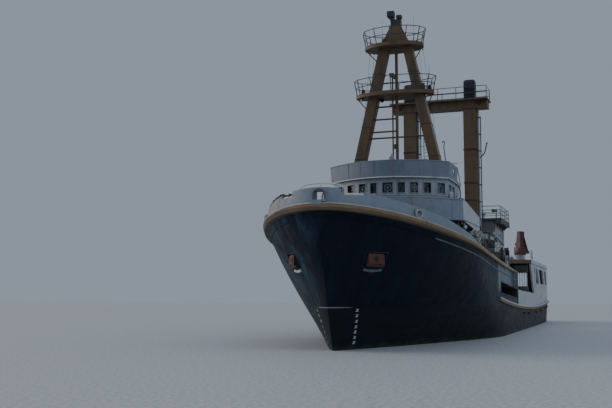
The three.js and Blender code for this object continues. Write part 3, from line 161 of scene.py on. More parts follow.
class Graph:
    """Adds and links the nodes of one shader tree."""

    def __init__(self, tree: bpy.types.NodeTree) -> None:
        """Starts on a tree, which is emptied."""
        self.tree = tree
        tree.nodes.clear()

    def add(self, kind: str, inputs: dict | None = None, **settings: object) -> Node:
        """Adds a node.

        Args:
            kind: Blender's name for the node type.
            inputs: Socket name or index to a constant, or to the output socket that feeds it.
            **settings: Properties of the node itself.

        Returns:
            The new node.
        """
        node = self.tree.nodes.new(kind)
        for name, value in settings.items():
            setattr(node, name, value)
        for key, value in (inputs or {}).items():
            socket = node.inputs[key]
            if isinstance(value, Socket):
                self.tree.links.new(value, socket)
            elif socket.type == "RGBA" and len(value) == 3:
                socket.default_value = (*value, 1.0)
            else:
                socket.default_value = value
        return node

    def maths(self, operation: str, *values: object, clamp: bool = False) -> Socket:
        """Result of a maths operation over values in turn, the last result clamped if asked for."""
        result, *rest = values
        for number, value in enumerate(rest or [0.0], 1):
            last = clamp and number >= len(rest)
            result = self.add("ShaderNodeMath", {0: result, 1: value}, operation=operation,
                use_clamp=last).outputs[0]
        return result

    def times(self, *values: object, clamp: bool = False) -> Socket:
        """Product."""
        return self.maths("MULTIPLY", *values, clamp=clamp)

    def plus(self, *values: object, clamp: bool = False) -> Socket:
        """Sum."""
        return self.maths("ADD", *values, clamp=clamp)

    def minus(self, a: object, b: object, clamp: bool = False) -> Socket:
        """Difference."""
        return self.maths("SUBTRACT", a, b, clamp=clamp)

    def scaled(self, colour: object, factor: object) -> Socket:
        """Colour made lighter or darker by a factor."""
        return self.add("ShaderNodeVectorMath", {0: colour, 3: factor}, operation="SCALE").outputs[0]

    def mix(self, factor: object, a: object, b: object) -> Socket:
        """Colour between a and b by a factor."""
        return self.add("ShaderNodeMix", {0: factor, 6: a, 7: b}, data_type="RGBA").outputs[2]

    def ramp(self, value: object, low: float, high: float, to_low: float = 0.0,
            to_high: float = 1.0) -> Socket:
        """Smooth step of a value from low to high, put out between to_low and to_high."""
        keys = {"Value": value, "From Min": low, "From Max": high, "To Min": to_low, "To Max": to_high}
        return self.add("ShaderNodeMapRange", keys, interpolation_type="SMOOTHSTEP").outputs[0]

    def noise(self, place: object, scale: float, stretch: Point = (1, 1, 1), detail: float = 4,
            roughness: float = 0.55) -> Socket:
        """Noise value on a place, with the place stretched first."""
        mapped = self.add("ShaderNodeMapping", {"Vector": place, "Scale": tuple(stretch)})
        keys = {"Vector": mapped.outputs[0], "Scale": scale, "Detail": detail, "Roughness": roughness}
        return self.add("ShaderNodeTexNoise", keys).outputs["Fac"]

    def wander(self, place: object, scale: float, reach: float, detail: float = 4) -> Socket:
        """Noise that strays from zero by a reach either way."""
        return self.ramp(self.noise(place, scale, detail=detail), 0.3, 0.7, -reach, reach)

    def split(self, place: object) -> tuple[Socket, ...]:
        """The three parts of a vector."""
        return tuple(self.add("ShaderNodeSeparateXYZ", {0: place}).outputs)


class SharedGroups:
    """Node groups that more than one finish uses, each built once."""

    @staticmethod
    def group(name: str, vectors: str, colours: str, numbers: str, outputs: dict[str, str],
            fill: Callable[[Graph, Sequence[Socket]], dict[str, Socket]]) -> bpy.types.NodeTree:
        """A group by its name, built when it is first asked for.

        Args:
            name: Name of the group.
            vectors: Names of its vector inputs, with commas between them.
            colours: Names of its colour inputs.
            numbers: Names of its number inputs.
            outputs: Name of each output to its kind.
            fill: Function of the graph and the group's inputs that gives its outputs.

        Returns:
            The group's tree.
        """
        tree = bpy.data.node_groups.get(name)
        if tree:
            return tree
        tree = bpy.data.node_groups.new(name, "ShaderNodeTree")
        kinds = {"Vector": vectors, "Color": colours, "Float": numbers}
        inputs = {label: kind for kind, labels in kinds.items() for label in labels.split(", ") if label}
        for way, sockets in (("INPUT", inputs), ("OUTPUT", outputs)):
            for label, kind in sockets.items():
                tree.interface.new_socket(label, in_out=way, socket_type=f"NodeSocket{kind}")
        graph = Graph(tree)
        graph.add("NodeGroupOutput", fill(graph, graph.add("NodeGroupInput").outputs))
        return tree

    @classmethod
    def weathering(cls) -> bpy.types.NodeTree:
        """Sun-faded paint with grime running down it and rust breaking through."""

        def fill(g: Graph, given: Sequence[Socket]) -> dict[str, Socket]:
            """Lays fading, blotches, grime and rust over the paint."""
            place = given["Place"]
            fading = g.times(g.ramp(g.noise(place, 0.9, detail=5), 0.35, 0.7), given["Fading"])
            faded = g.mix(fading, given["Paint"], (0.62, 0.62, 0.6))
            blotch = g.noise(place, 3.1, detail=6, roughness=0.65)
            toned = g.scaled(faded, g.ramp(blotch, 0.3, 0.7, 0.86, 1.08))
            runs = g.noise(place, 4.6, (1, 1, 0.09), detail=5, roughness=0.6)
            patches = g.noise(place, 0.7, (1, 1, 0.5), detail=3)
            run_mask = g.times(g.ramp(runs, 0.5, 0.72), g.ramp(patches, 0.38, 0.62))
            grimed = g.mix(g.times(run_mask, given["Streaks"], clamp=True), toned, given["Grime"])
            flecks = g.noise(place, 21, detail=6, roughness=0.7)
            rust_runs = g.times(g.ramp(g.noise(place, 7.5, (1, 1, 0.13)), 0.6, 0.74), 0.6)
            breaking = g.plus(g.ramp(flecks, 0.6, 0.69), rust_runs, clamp=True)
            rust_where = g.ramp(g.noise(place, 1.3, (1, 1, 0.6)), 0.5, 0.66)
            rust_mask = g.times(breaking, rust_where, given["Rusting"], clamp=True)
            rough = g.plus(given["Gloss"], g.ramp(blotch, 0.3, 0.75, -0.06, 0.12))
            grain = g.times(g.noise(place, 60, detail=3), 0.25)
            return {"Color": g.mix(rust_mask, grimed, given["Rust"]),
                "Roughness": g.plus(rough, g.times(rust_mask, 0.35), clamp=True),
                "Height": g.plus(grain, g.times(rust_mask, 0.5), g.times(blotch, 0.35))}

        return cls.group("weathered_paint", "Place", "Paint, Grime, Rust",
            "Streaks, Rusting, Fading, Gloss", {"Color": "Color", "Roughness": "Float", "Height": "Float"},
            fill)

    @classmethod
    def plating(cls) -> bpy.types.NodeTree:
        """Height of welded plates: seams on a grid, and plates drawn in between their frames."""

        def fill(g: Graph, given: Sequence[Socket]) -> dict[str, Socket]:
            """Lays seams and dishing over each other."""
            x, _, z = g.split(given["Place"])
            rows = g.maths("DIVIDE", z, given["Plate Height"])
            shift = g.times(g.maths("FLOOR", rows), 0.37)
            along = g.plus(g.maths("DIVIDE", x, given["Plate Length"]), shift)
            across, upward = (g.maths("ABSOLUTE", g.minus(g.maths("FRACT", v), 0.5)) for v in (along, rows))
            seam = g.maths("MAXIMUM", g.ramp(across, 0.488, 0.497), g.ramp(upward, 0.484, 0.496))
            frames = g.maths("SINE", g.times(x, math.tau / 0.3))
            patchy = g.ramp(g.noise(given["Place"], 0.8, detail=2), 0.3, 0.7)
            dish = g.times(frames, frames, given["Dishing"], patchy)
            return {"Height": g.plus(g.times(seam, 0.45), dish), "Seam": seam}

        return cls.group("welded_plating", "Place", "", "Plate Length, Plate Height, Dishing",
            {"Height": "Float", "Seam": "Float"}, fill)

    @classmethod
    def run_down(cls) -> bpy.types.NodeTree:
        """Mask of a stain that starts at one spot and runs down from it, widening as it goes."""

        def fill(g: Graph, given: Sequence[Socket]) -> dict[str, Socket]:
            """Measures how far a place lies beside and below the spot."""
            keys = {0: given["Place"], 1: given["Spot"]}
            x, y, z = g.split(g.add("ShaderNodeVectorMath", keys, operation="SUBTRACT").outputs[0])
            level = g.maths("SQRT", g.plus(g.times(x, x), g.times(y, y)))
            fall = g.maths("DIVIDE", g.times(z, -1), given["Length"])
            wobble = g.noise(given["Place"], 9, (1, 1, 0.12), detail=3)
            width = g.times(given["Width"], g.ramp(wobble, 0.3, 0.7, 0.35, 1.5))
            inside = g.minus(1, g.ramp(g.maths("DIVIDE", level, width), 0.35, 1), clamp=True)
            down = g.times(g.ramp(fall, 0, 0.04), g.ramp(fall, 1, 0.15))
            return {"Mask": g.times(inside, down, clamp=True)}

        return cls.group("stain_from_spot", "Place, Spot", "", "Width, Length", {"Mask": "Float"}, fill)


@dataclass(frozen=True)
class Finish:
    """A surface finish that builds one material, shared by every piece that has it."""

    name: str
    slot: Slot
    colour: Colour
    roughness: float = 0.5
    bump: float = 0.25
    metallic: float = 0.0

    def material(self) -> bpy.types.Material:
        """The finish's material, made when it is first asked for."""
        made = bpy.data.materials.get(self.name)
        if made:
            return made
        made = bpy.data.materials.new(self.name)
        made.use_nodes = True
        made.diffuse_color = (*self.colour, 1.0)
        graph = Graph(made.node_tree)
        shader = self.surface(graph, graph.add("ShaderNodeTexCoord").outputs["Object"])
        graph.add("ShaderNodeOutputMaterial", {"Surface": shader.outputs[0]})
        return made

    def surface(self, g: Graph, place: Socket) -> Node:
        """Builds the shader that covers the surface.

        Args:
            g: Graph of the material.
            place: Object coordinates.

        Returns:
            The shader node.
        """
        tone = g.noise(place, 12, detail=5)
        colour = g.scaled((*self.colour,), g.ramp(tone, 0.3, 0.7, 0.8, 1.15))
        height = g.plus(g.times(g.noise(place, 90, detail=3), 0.4), tone)
        rough = g.ramp(tone, 0.3, 0.7, max(0.0, self.roughness - 0.07), min(1.0, self.roughness + 0.1))
        return self.principled(g, colour, rough, height)

    def principled(self, g: Graph, colour: object, rough: object, height: object, **more: object) -> Node:
        """Principled shader of a colour, a roughness and a height, with more constants by socket name."""
        normal = g.add("ShaderNodeBump", {"Strength": self.bump, "Distance": 0.01, "Height": height})
        keys = {"Base Color": colour, "Roughness": rough, "Metallic": self.metallic,
            "Normal": normal.outputs[0]}
        return g.add("ShaderNodeBsdfPrincipled", {**keys, **more})


@dataclass(frozen=True)
class Paint(Finish):
    """Ship's paint, worn by streaks of grime, by rust and by fading, in that order.

    Plates are given by their length, height and dishing.
    """

    grime: Colour = (0.10, 0.09, 0.08)
    rust: Colour = (0.20, 0.075, 0.03)
    wear: tuple[float, float, float] = (0.4, 0.4, 0.1)
    plates: tuple[float, float, float] | None = None

    def worn(self, g: Graph, place: Socket, colour: object) -> tuple[Socket, Socket, Socket]:
        """Colour, roughness and height of the weathered paint, with the seams of its plates."""
        streaks, rusting, fading = self.wear
        values = {"Place": place, "Paint": colour, "Grime": self.grime, "Rust": self.rust,
            "Streaks": streaks, "Rusting": rusting, "Fading": fading, "Gloss": self.roughness}
        colour, rough, height = g.add("ShaderNodeGroup", values,
            node_tree=SharedGroups.weathering()).outputs
        if self.plates:
            length, high, dishing = self.plates
            values = {"Place": place, "Plate Length": length, "Plate Height": high, "Dishing": dishing}
            seams = g.add("ShaderNodeGroup", values, node_tree=SharedGroups.plating()).outputs["Height"]
            height = g.plus(height, seams)
        return colour, rough, height

    def surface(self, g: Graph, place: Socket) -> Node:
        """Weathered paint on plain or plated steel."""
        return self.principled(g, *self.worn(g, place, self.colour))


@dataclass(frozen=True)
class Topsides(Paint):
    """Navy side of the hull: boot top, its white line, scuffs, rust below openings and fairleads, a patchy
    lighter blue-grey aft, and pale blue streaks on the starboard flare that are a painted highlight.
    """

    boot_top: float = 1.15
    boot_colour: Colour = (0.007, 0.013, 0.017)
    stains: tuple[tuple[float, float, float, float, float], ...] = ()

    def surface(self, g: Graph, place: Socket) -> Node:
        """Plated side with everything that marks it."""
        x, y, z = g.split(place)
        streak_noise = g.noise(place, 5.5, (0.35, 0.35, 0.05), detail=7, roughness=0.7)
        patchy = g.ramp(streak_noise, 0.3, 0.65, 0.35, 1)
        # Pale blue streaks, strongest on the starboard side: a painted highlight of the light falling on
        # the starboard flare.
        starboard_highlight = g.times(g.ramp(streak_noise, 0.42, 0.7), g.ramp(y, 0.3, -0.8, 0.06, 0.7))
        side = g.mix(starboard_highlight, self.colour, (0.042, 0.10, 0.175))
        side = g.mix(g.times(g.ramp(x, 8.2, 2.6, 0, 0.5), patchy), side, (0.05, 0.08, 0.11))
        patch = g.times(g.ramp(x, 3.7, 3), g.ramp(x, -0.9, 0.4), g.ramp(z, 1.55, 1.8),
            g.ramp(streak_noise, 0.3, 0.6, 0.35, 1))
        side = g.mix(g.times(patch, 0.62), side, (0.40, 0.46, 0.50))
        edge = g.plus(z, g.wander(place, 3, 0.012))
        side = g.mix(g.ramp(edge, self.boot_top + 0.004, self.boot_top - 0.004), side, self.boot_colour)
        rub = g.noise(place, 3.2, (0.12, 0.12, 2.2), detail=6, roughness=0.7)
        side = g.mix(g.times(g.ramp(rub, 0.56, 0.7), g.ramp(z, 1.9, 1.2, 0, 0.12)), side,
            (0.10, 0.12, 0.14))
        level = g.maths("ABSOLUTE", g.minus(z, self.boot_top))
        near_stem = g.times(g.ramp(g.maths("ABSOLUTE", y), 0.56, 0.3), g.ramp(x, 9.5, 10.5))
        side = g.mix(g.times(g.ramp(level, 0.016, 0.009), near_stem, 0.6), side, (0.45, 0.50, 0.52))
        colour, rough, height = self.worn(g, place, side)
        for *spot, width, length in self.stains:
            values = {"Place": place, "Spot": tuple(v * MODEL_SCALE for v in spot),
                "Width": width * MODEL_SCALE, "Length": length * MODEL_SCALE}
            mask = g.add("ShaderNodeGroup", values, node_tree=SharedGroups.run_down()).outputs["Mask"]
            colour = g.mix(g.times(mask, 0.25), colour, self.rust)
        weed = g.ramp(g.plus(z, g.wander(place, 2, 0.05, 5)), 0.16, 0.02)
        colour = g.mix(g.times(weed, 0.8), colour, (0.03, 0.045, 0.025))
        return self.principled(g, colour, rough, height, **{"Specular IOR Level": 0.15})


@dataclass(frozen=True)
class RubbingPaint(Paint):
    """Buff paint of the rubbing strake, bright along its upper half and dark below, the dark lower half
    being partly two-tone paint and partly painted shade under the strake's rounded top.
    """

    below: Colour = (0.10, 0.068, 0.042)
    below_starboard: Colour = (0.018, 0.026, 0.042)

    def surface(self, g: Graph, place: Socket) -> Node:
        """Paint darkened below a level that follows the sheer, partly as painted shade."""
        x, y, z = g.split(place)
        length = (STEM_HEAD + 3) * MODEL_SCALE
        along = g.maths("MAXIMUM", g.maths("DIVIDE", g.plus(x, 3 * MODEL_SCALE), length), 0)
        rise = g.times(g.maths("POWER", along, 3), 1.22 * MODEL_SCALE)
        edge = g.plus(g.times(along, 1.5 * MODEL_SCALE), rise, 4.9 * MODEL_SCALE)
        starboard = g.ramp(y, -0.6, -1.2)
        depth = g.plus(g.minus(edge, z), g.wander(place, 4, 0.012), g.times(starboard, 0.03))
        # Lower half: darker buff that stands partly for the shade under the strake's rounded top, navy on
        # the starboard side.
        tone = g.mix(starboard, self.below, self.below_starboard)
        colour = g.mix(g.times(g.ramp(depth, 0.075, 0.1), 0.8), self.colour, tone)
        return self.principled(g, *self.worn(g, place, colour))


@dataclass(frozen=True)
class BulwarkPaint(Paint):
    """Blue-grey of the forecastle bulwark, its white paint in painted shade, with a warm patch of painted
    sunset light on the starboard bow.
    """

    primer: Colour = (0.36, 0.27, 0.22)

    def surface(self, g: Graph, place: Socket) -> Node:
        """Blue-grey paint with a warm patch of painted sunset light at one place."""
        _, y, z = g.split(place)
        patchy = g.ramp(g.noise(place, 6, detail=6), 0.35, 0.6, 0.45, 1)
        # Warm patch high on the starboard bow: painted sunset light on that side of the bulwark.
        sunlit_patch = g.times(g.ramp(y, -1.35, -1.6), g.ramp(z, 3.6, 3.7), patchy)
        return self.principled(g, *self.worn(g, place, g.mix(sunlit_patch, self.colour, self.primer)))


@dataclass(frozen=True)
class Glass(Finish):
    """Clear or tinted glass with a film of salt."""

    tint: float = 0.85

    def surface(self, g: Graph, place: Socket) -> Node:
        """Glass whose roughness wanders with the salt on it."""
        salt = g.noise(place, 18, detail=6)
        rough = g.ramp(salt, 0.4, 0.8, self.roughness, self.roughness + 0.18)
        colour = g.mix(g.ramp(salt, 0.5, 0.9, 0, 0.25), self.colour, (0.4, 0.42, 0.43))
        return self.principled(g, colour, rough, salt, **{"Transmission Weight": self.tint, "IOR": 1.45})


@dataclass(frozen=True)
class Twine(Finish):
    """Laid rope or netting, with its strands slanting across the piece."""

    strands: float = 40.0

    def surface(self, g: Graph, place: Socket) -> Node:
        """Strands as slanting waves, with frayed and dirty stretches."""
        keys = {"Vector": place, "Scale": self.strands, "Distortion": 2.5, "Detail": 2}
        wave = g.add("ShaderNodeTexWave", keys, bands_direction="DIAGONAL").outputs["Fac"]
        dirt = g.noise(place, 8, detail=5)
        colour = g.mix(g.ramp(wave, 0.1, 0.8), tuple(c * 0.35 for c in self.colour), self.colour)
        colour = g.mix(g.ramp(dirt, 0.5, 0.75, 0, 0.55), colour, (0.07, 0.065, 0.05))
        return self.principled(g, colour, self.roughness, g.plus(wave, dirt))


STAINS = ((25.2, 2.3, 4.5, 0.5, 2.4), (25.2, -2.3, 4.5, 0.5, 2.4), (12.0, 6.2, 5.2, 0.28, 2.6),
    (4.5, 6.3, 4.6, 0.3, 2.4), (-2.2, 6.3, 2.8, 0.6, 1.6), (-4, 6.3, 2.7, 0.3, 2))

HULL_SIDE = Topsides("hull_navy_side", Slot.HULL, (0.004, 0.008, 0.019), 0.5, 0.22,
    grime=(0.012, 0.016, 0.022), wear=(0.4, 0.22, 0.0), plates=(3, 0.9, 0.16), stains=STAINS)
HULL_BOTTOM = Paint("hull_antifouling", Slot.BOTTOM, (0.17, 0.045, 0.035), 0.8, 0.4,
    grime=(0.03, 0.045, 0.025), wear=(0.7, 0.5, 0.15), plates=(3, 0.9, 0.5))
DECK_STEEL = Paint("deck_green_steel", Slot.GREY, (0.10, 0.15, 0.13), 0.75, 0.35, grime=(0.05, 0.045, 0.04),
    wear=(0.6, 0.9, 0.2))
BUFF = Paint("buff_paint_weathered", Slot.BUFF, (0.20, 0.125, 0.06), 0.58, 0.22, grime=(0.10, 0.07, 0.045),
    wear=(0.75, 0.55, 0.06))
STRAKE_BUFF = Paint("strake_buff_scuffed", Slot.BUFF, (0.25, 0.165, 0.08), 0.6, 0.3,
    grime=(0.10, 0.08, 0.06), wear=(0.9, 0.5, 0.04))
GREY = Paint("bulwark_grey_paint", Slot.GREY, (0.22, 0.265, 0.33), 0.55, 0.22, grime=(0.10, 0.095, 0.09),
    wear=(0.5, 0.3, 0.04), plates=(2, 1.7, 0.1))
WHITE = Paint("white_paint_streaked", Slot.WHITE, (0.50, 0.53, 0.56), 0.48, 0.2, grime=(0.22, 0.16, 0.11),
    wear=(0.7, 0.6, 0.0))
CABIN_WHITE = Paint("cabin_white_paint", Slot.WHITE, (0.33, 0.37, 0.43), 0.48, 0.2,
    grime=(0.22, 0.18, 0.14), wear=(0.5, 0.3, 0.0))
RED = Paint("crane_red_paint", Slot.RED, (0.14, 0.016, 0.024), 0.42, 0.2, grime=(0.05, 0.02, 0.02),
    wear=(0.5, 0.5, 0.03))
ANCHOR_RED = Paint("anchor_red_oxide", Slot.RED, (0.11, 0.03, 0.022), 0.75, 0.4, grime=(0.05, 0.03, 0.03),
    wear=(0.7, 0.9, 0.05))
COWL = Paint("cowl_navy_paint", Slot.COWL, (0.012, 0.018, 0.035), 0.45, 0.25, grime=(0.05, 0.05, 0.055),
    wear=(0.5, 0.2, 0.04))
GEAR = Finish("gear_steel_worn", Slot.GEAR, (0.115, 0.11, 0.105), 0.5, 0.4, 0.7)
WIRE = Twine("wire_greased", Slot.GEAR, (0.16, 0.155, 0.15), 0.45, 0.5, 0.85, strands=30.0)
BRONZE = Finish("propeller_bronze", Slot.BRONZE, (0.45, 0.30, 0.11), 0.32, 0.15, 0.9)
GLASS = Glass("wheelhouse_glass_tinted", Slot.GLASS, (0.10, 0.13, 0.15), 0.04, 0.02, tint=0.7)
LENS = Glass("lamp_lens", Slot.LAMP, (0.75, 0.78, 0.76), 0.06, 0.05, tint=0.5)
RUBBER = Finish("black_rubber_worn", Slot.RUBBER, (0.018, 0.018, 0.018), 0.75, 0.4)
NET = Twine("trawl_netting", Slot.NET, (0.06, 0.20, 0.15), 0.9, 0.8, strands=22.0)
ROPE = Twine("laid_rope", Slot.ROPE, (0.42, 0.36, 0.25), 0.9, 0.7, strands=30.0)
ZINC = Paint("zinc_rail", Slot.ZINC, (0.36, 0.38, 0.39), 0.5, 0.2, 0.35, wear=(0.4, 0.7, 0.1))
RAIL_WHITE = Paint("rail_white_paint", Slot.WHITE, (0.66, 0.67, 0.66), 0.5, 0.15, wear=(0.3, 0.6, 0.1))
GREY_LIGHT = Paint("light_grey_paint", Slot.GREY, (0.36, 0.40, 0.44), 0.55, 0.22, grime=(0.2, 0.16, 0.13),
    wear=(0.6, 0.7, 0.1))
VISOR_GREY = Paint("visor_grey_paint", Slot.GREY, (0.18, 0.22, 0.28), 0.5, 0.2, grime=(0.12, 0.11, 0.10),
    wear=(0.4, 0.2, 0.04))
MAST_BUFF = Paint("mast_buff_paint", Slot.BUFF, (0.125, 0.078, 0.038), 0.58, 0.22,
    grime=(0.05, 0.035, 0.025), wear=(0.85, 0.6, 0.02))
UNDERSIDE = Paint("deck_underside_brown", Slot.RED, (0.12, 0.075, 0.075), 0.7, 0.3,
    grime=(0.04, 0.03, 0.03), wear=(0.7, 0.8, 0.05))
SHELTER_SHADE = Paint("shelter_inside_dark", Slot.GREY, (0.03, 0.032, 0.035), 0.7, 0.3,
    grime=(0.02, 0.02, 0.02), wear=(0.7, 0.6, 0.0))
RECESS = Paint("recess_dark", Slot.HULL, (0.012, 0.014, 0.018), 0.8, 0.3, wear=(0.4, 0.5, 0.1))
PALE_BLUE = Paint("bead_pale_blue", Slot.GREY, (0.11, 0.145, 0.195), 0.55, 0.2, grime=(0.06, 0.06, 0.07),
    wear=(0.8, 0.7, 0.1))
MARK_WHITE = Paint("mark_white", Slot.WHITE, (0.66, 0.68, 0.68), 0.55, 0.15, wear=(0.5, 0.5, 0.1))
RAIL_DARK = Paint("rail_dark_paint", Slot.GEAR, (0.05, 0.052, 0.058), 0.55, 0.25, 0.1, wear=(0.4, 0.6, 0.1))
PIPE_PALE = Paint("pipe_pale_blue", Slot.GREY, (0.34, 0.39, 0.45), 0.55, 0.2, wear=(0.6, 0.5, 0.1))
LAMP_BLACK = Paint("lamp_black_paint", Slot.GEAR, (0.02, 0.02, 0.022), 0.5, 0.2, 0.2, wear=(0.3, 0.3, 0.1))
YELLOW = Paint("lever_yellow_paint", Slot.BUFF, (0.62, 0.42, 0.03), 0.45, 0.15)
HOUSE_FRONT_SHADE = Paint("after_house_dark_grey", Slot.GREY, (0.19, 0.185, 0.21), 0.6, 0.22,
    grime=(0.06, 0.05, 0.045), wear=(0.7, 0.5, 0.03), plates=(1.6, 1.2, 0.1))
RED_DARK = Paint("boom_red_shaded", Slot.RED, (0.06, 0.010, 0.018), 0.45, 0.2, wear=(0.5, 0.4, 0.0))
MAST_LIT_SIDE = Paint("mast_side_pale_buff", Slot.BUFF, (0.21, 0.195, 0.17), 0.58, 0.22,
    grime=(0.05, 0.035, 0.025), wear=(0.9, 0.6, 0.05))
RUB_BUFF = RubbingPaint("rubbing_strake_two_tone", Slot.BUFF, (0.29, 0.19, 0.09), 0.6, 0.3,
    grime=(0.10, 0.08, 0.06), wear=(0.9, 0.5, 0.04))
BULWARK_GREY = BulwarkPaint("bulwark_grey_worn", Slot.GREY, (0.22, 0.265, 0.33), 0.55, 0.22,
    grime=(0.10, 0.095, 0.09), wear=(0.5, 0.3, 0.04))
STRAKE_HIGHLIGHT = Paint("strake_edge_cream", Slot.WHITE, (0.42, 0.41, 0.40), 0.6, 0.2, wear=(0.8, 0.5, 0.1))
RAIL_GREY = Paint("rail_grey_green", Slot.GREY, (0.15, 0.17, 0.165), 0.55, 0.2, wear=(0.4, 0.5, 0.1))
LIFE_ORANGE = Finish("life_ring_orange", Slot.RED, (0.72, 0.16, 0.03), 0.6, 0.2)
FLOAT_YELLOW = Finish("float_yellow", Slot.BUFF, (0.62, 0.36, 0.05), 0.55, 0.2)
BRASS = Finish("scuttle_brass", Slot.BRONZE, (0.36, 0.28, 0.14), 0.45, 0.2, 0.8)
FURNITURE = Finish("furniture_varnished", Slot.BUFF, (0.13, 0.075, 0.04), 0.4, 0.15)
LAMP_RED = Glass("side_lamp_red", Slot.LAMP, (0.5, 0.01, 0.01), 0.1, 0.05, tint=0.5)
LAMP_GREEN = Glass("side_lamp_green", Slot.LAMP, (0.01, 0.36, 0.08), 0.1, 0.05, tint=0.5)
HEAP_DARK = Twine("heap_netting_dark", Slot.NET, (0.10, 0.11, 0.10), 0.95, 0.8, strands=26.0)
PALE_ROPE = Twine("rope_pale", Slot.ROPE, (0.62, 0.63, 0.62), 0.9, 0.6, strands=30.0)


class Solid:
    """A mesh under construction, in the real ship's metres."""

    def __init__(self) -> None:
        """Starts with nothing in it."""
        self.bm = bmesh.new()
        self.part = 0

    def _keep(self, made: Iterable[Vert]) -> list[Vert]:
        """Gives the faces of new vertices the current finish and returns the vertices."""
        verts = [v for v in made if isinstance(v, Vert)]
        for vert in verts:
            for face in vert.link_faces:
                face.material_index = self.part
        return verts

    def box(self, low: Point, high: Point, bevel: float = 0.0, place: Matrix | None = None) -> list[Vert]:
        """Block between two corners.

        Args:
            low: One corner.
            high: The corner across from it.
            bevel: Width of its rounded edges.
            place: Where the block is moved to once it is shaped.

        Returns:
            Its vertices.
        """
        centre = [(a + b) / 2 for a, b in zip(low, high)]
        size = [abs(b - a) for a, b in zip(low, high)]
        matrix = Matrix.Translation(centre) @ Matrix.Diagonal((*size, 1))
        made = bmesh.ops.create_cube(self.bm, size=1.0, matrix=matrix)["verts"]
        if bevel:
            edges = list({e for v in made for e in v.link_edges})
            new = bmesh.ops.bevel(self.bm, geom=edges, offset=bevel, affect="EDGES", segments=2,
                profile=0.5, material=-1, offset_type="OFFSET", clamp_overlap=True)
            made = list({v for f in new["faces"] for v in f.verts} | {v for v in made if v.is_valid})
        if place:
            bmesh.ops.transform(self.bm, matrix=place, verts=made)
        return self._keep(made)

    def rod(self, a: Point, b: Point, radius: float, sides: int = 8,
            end_radius: float | None = None) -> list[Vert]:
        """Round bar or cone from a to b, closed at both ends."""
        a, b = Vector(a), Vector(b)
        turn = (b - a).to_track_quat("Z", "Y").to_matrix().to_4x4()
        matrix = Matrix.Translation((a + b) / 2) @ turn
        end = radius if end_radius is None else end_radius
        made = bmesh.ops.create_cone(self.bm, cap_ends=True, segments=sides, radius1=radius, radius2=end,
            depth=(b - a).length, matrix=matrix)
        return self._keep(made["verts"])

    def ball(self, centre: Point, radius: float, squash: Point = (1.0, 1.0, 1.0),
            rings: int = 8) -> list[Vert]:
        """Ball or flattened ball."""
        matrix = Matrix.Translation(centre) @ Matrix.Diagonal((*squash, 1))
        made = bmesh.ops.create_uvsphere(self.bm, u_segments=rings * 2, v_segments=rings, radius=radius,
            matrix=matrix)
        return self._keep(made["verts"])

    def sweep(self, points: Sequence[Point], radius: float, sides: int = 6,
            closed: bool = False) -> list[Vert]:
        """Tube along a path of straight stretches, mitred at its corners.

        Args:
            points: The path.
            radius: Radius of the tube.
            sides: Sides of its section.
            closed: Whether the path runs back to its start.

        Returns:
            The tube's vertices.
        """
        path = [Vector(p) for p in points]
        count = len(path)
        legs = [(path[(i + 1) % count] - path[i]).normalized()
            for i in range(count if closed else count - 1)]
        first = legs[0]
        turn = first.to_track_quat("Z", "Y")
        made = bmesh.ops.create_circle(self.bm, cap_ends=False, segments=sides, radius=radius,
            matrix=Matrix.Translation(path[0]) @ turn.to_matrix().to_4x4())
        ring = made["verts"]
        edges = list({e for v in ring for e in v.link_edges})
        spokes = [v.co - path[0] for v in ring]
        if closed:
            before = legs[-1]
            middle = (before + first).normalized()
            for vert, spoke in zip(ring, spokes):
                vert.co = path[0] + spoke - first * (spoke.dot(middle) / first.dot(middle))
        start_ring, start_edges = list(ring), list(edges)
        everything = list(ring)
        stops = list(range(1, count))
        for i in stops:
            leg = legs[i - 1]
            after = legs[i] if i < len(legs) else leg
            middle = (leg + after).normalized()
            grown = bmesh.ops.extrude_edge_only(self.bm, edges=edges)["geom"]
            fresh = {g for g in grown if isinstance(g, Vert)}
            next_ring = []
            for vert in ring:
                next_ring.append(next(e.other_vert(vert) for e in vert.link_edges
                    if e.other_vert(vert) in fresh))
            for vert, spoke in zip(next_ring, spokes):
                vert.co = path[i] + spoke - leg * (spoke.dot(middle) / leg.dot(middle))
            turn_on = leg.rotation_difference(after)
            spokes = [turn_on @ spoke for spoke in spokes]
            edges = [e for e in grown
                if isinstance(e, bmesh.types.BMEdge) and e.verts[0] in fresh and e.verts[1] in fresh]
            ring = next_ring
            everything.extend(ring)
        if closed:
            bmesh.ops.bridge_loops(self.bm, edges=start_edges + edges)
        else:
            bmesh.ops.contextual_create(self.bm, geom=start_edges)
            bmesh.ops.contextual_create(self.bm, geom=edges)
        faces = list({f for v in everything + start_ring for f in v.link_faces})
        bmesh.ops.recalc_face_normals(self.bm, faces=faces)
        return self._keep(everything + start_ring)

    def ring(self, centre: Point, radius: float, across: Point, upward: Point, count: int, thickness: float,
            sides: int = 6) -> None:
        """Ring in the plane of two unit vectors, of a number of straight stretches."""
        self.sweep(circle(centre, radius, across, upward, count), thickness, sides, closed=True)

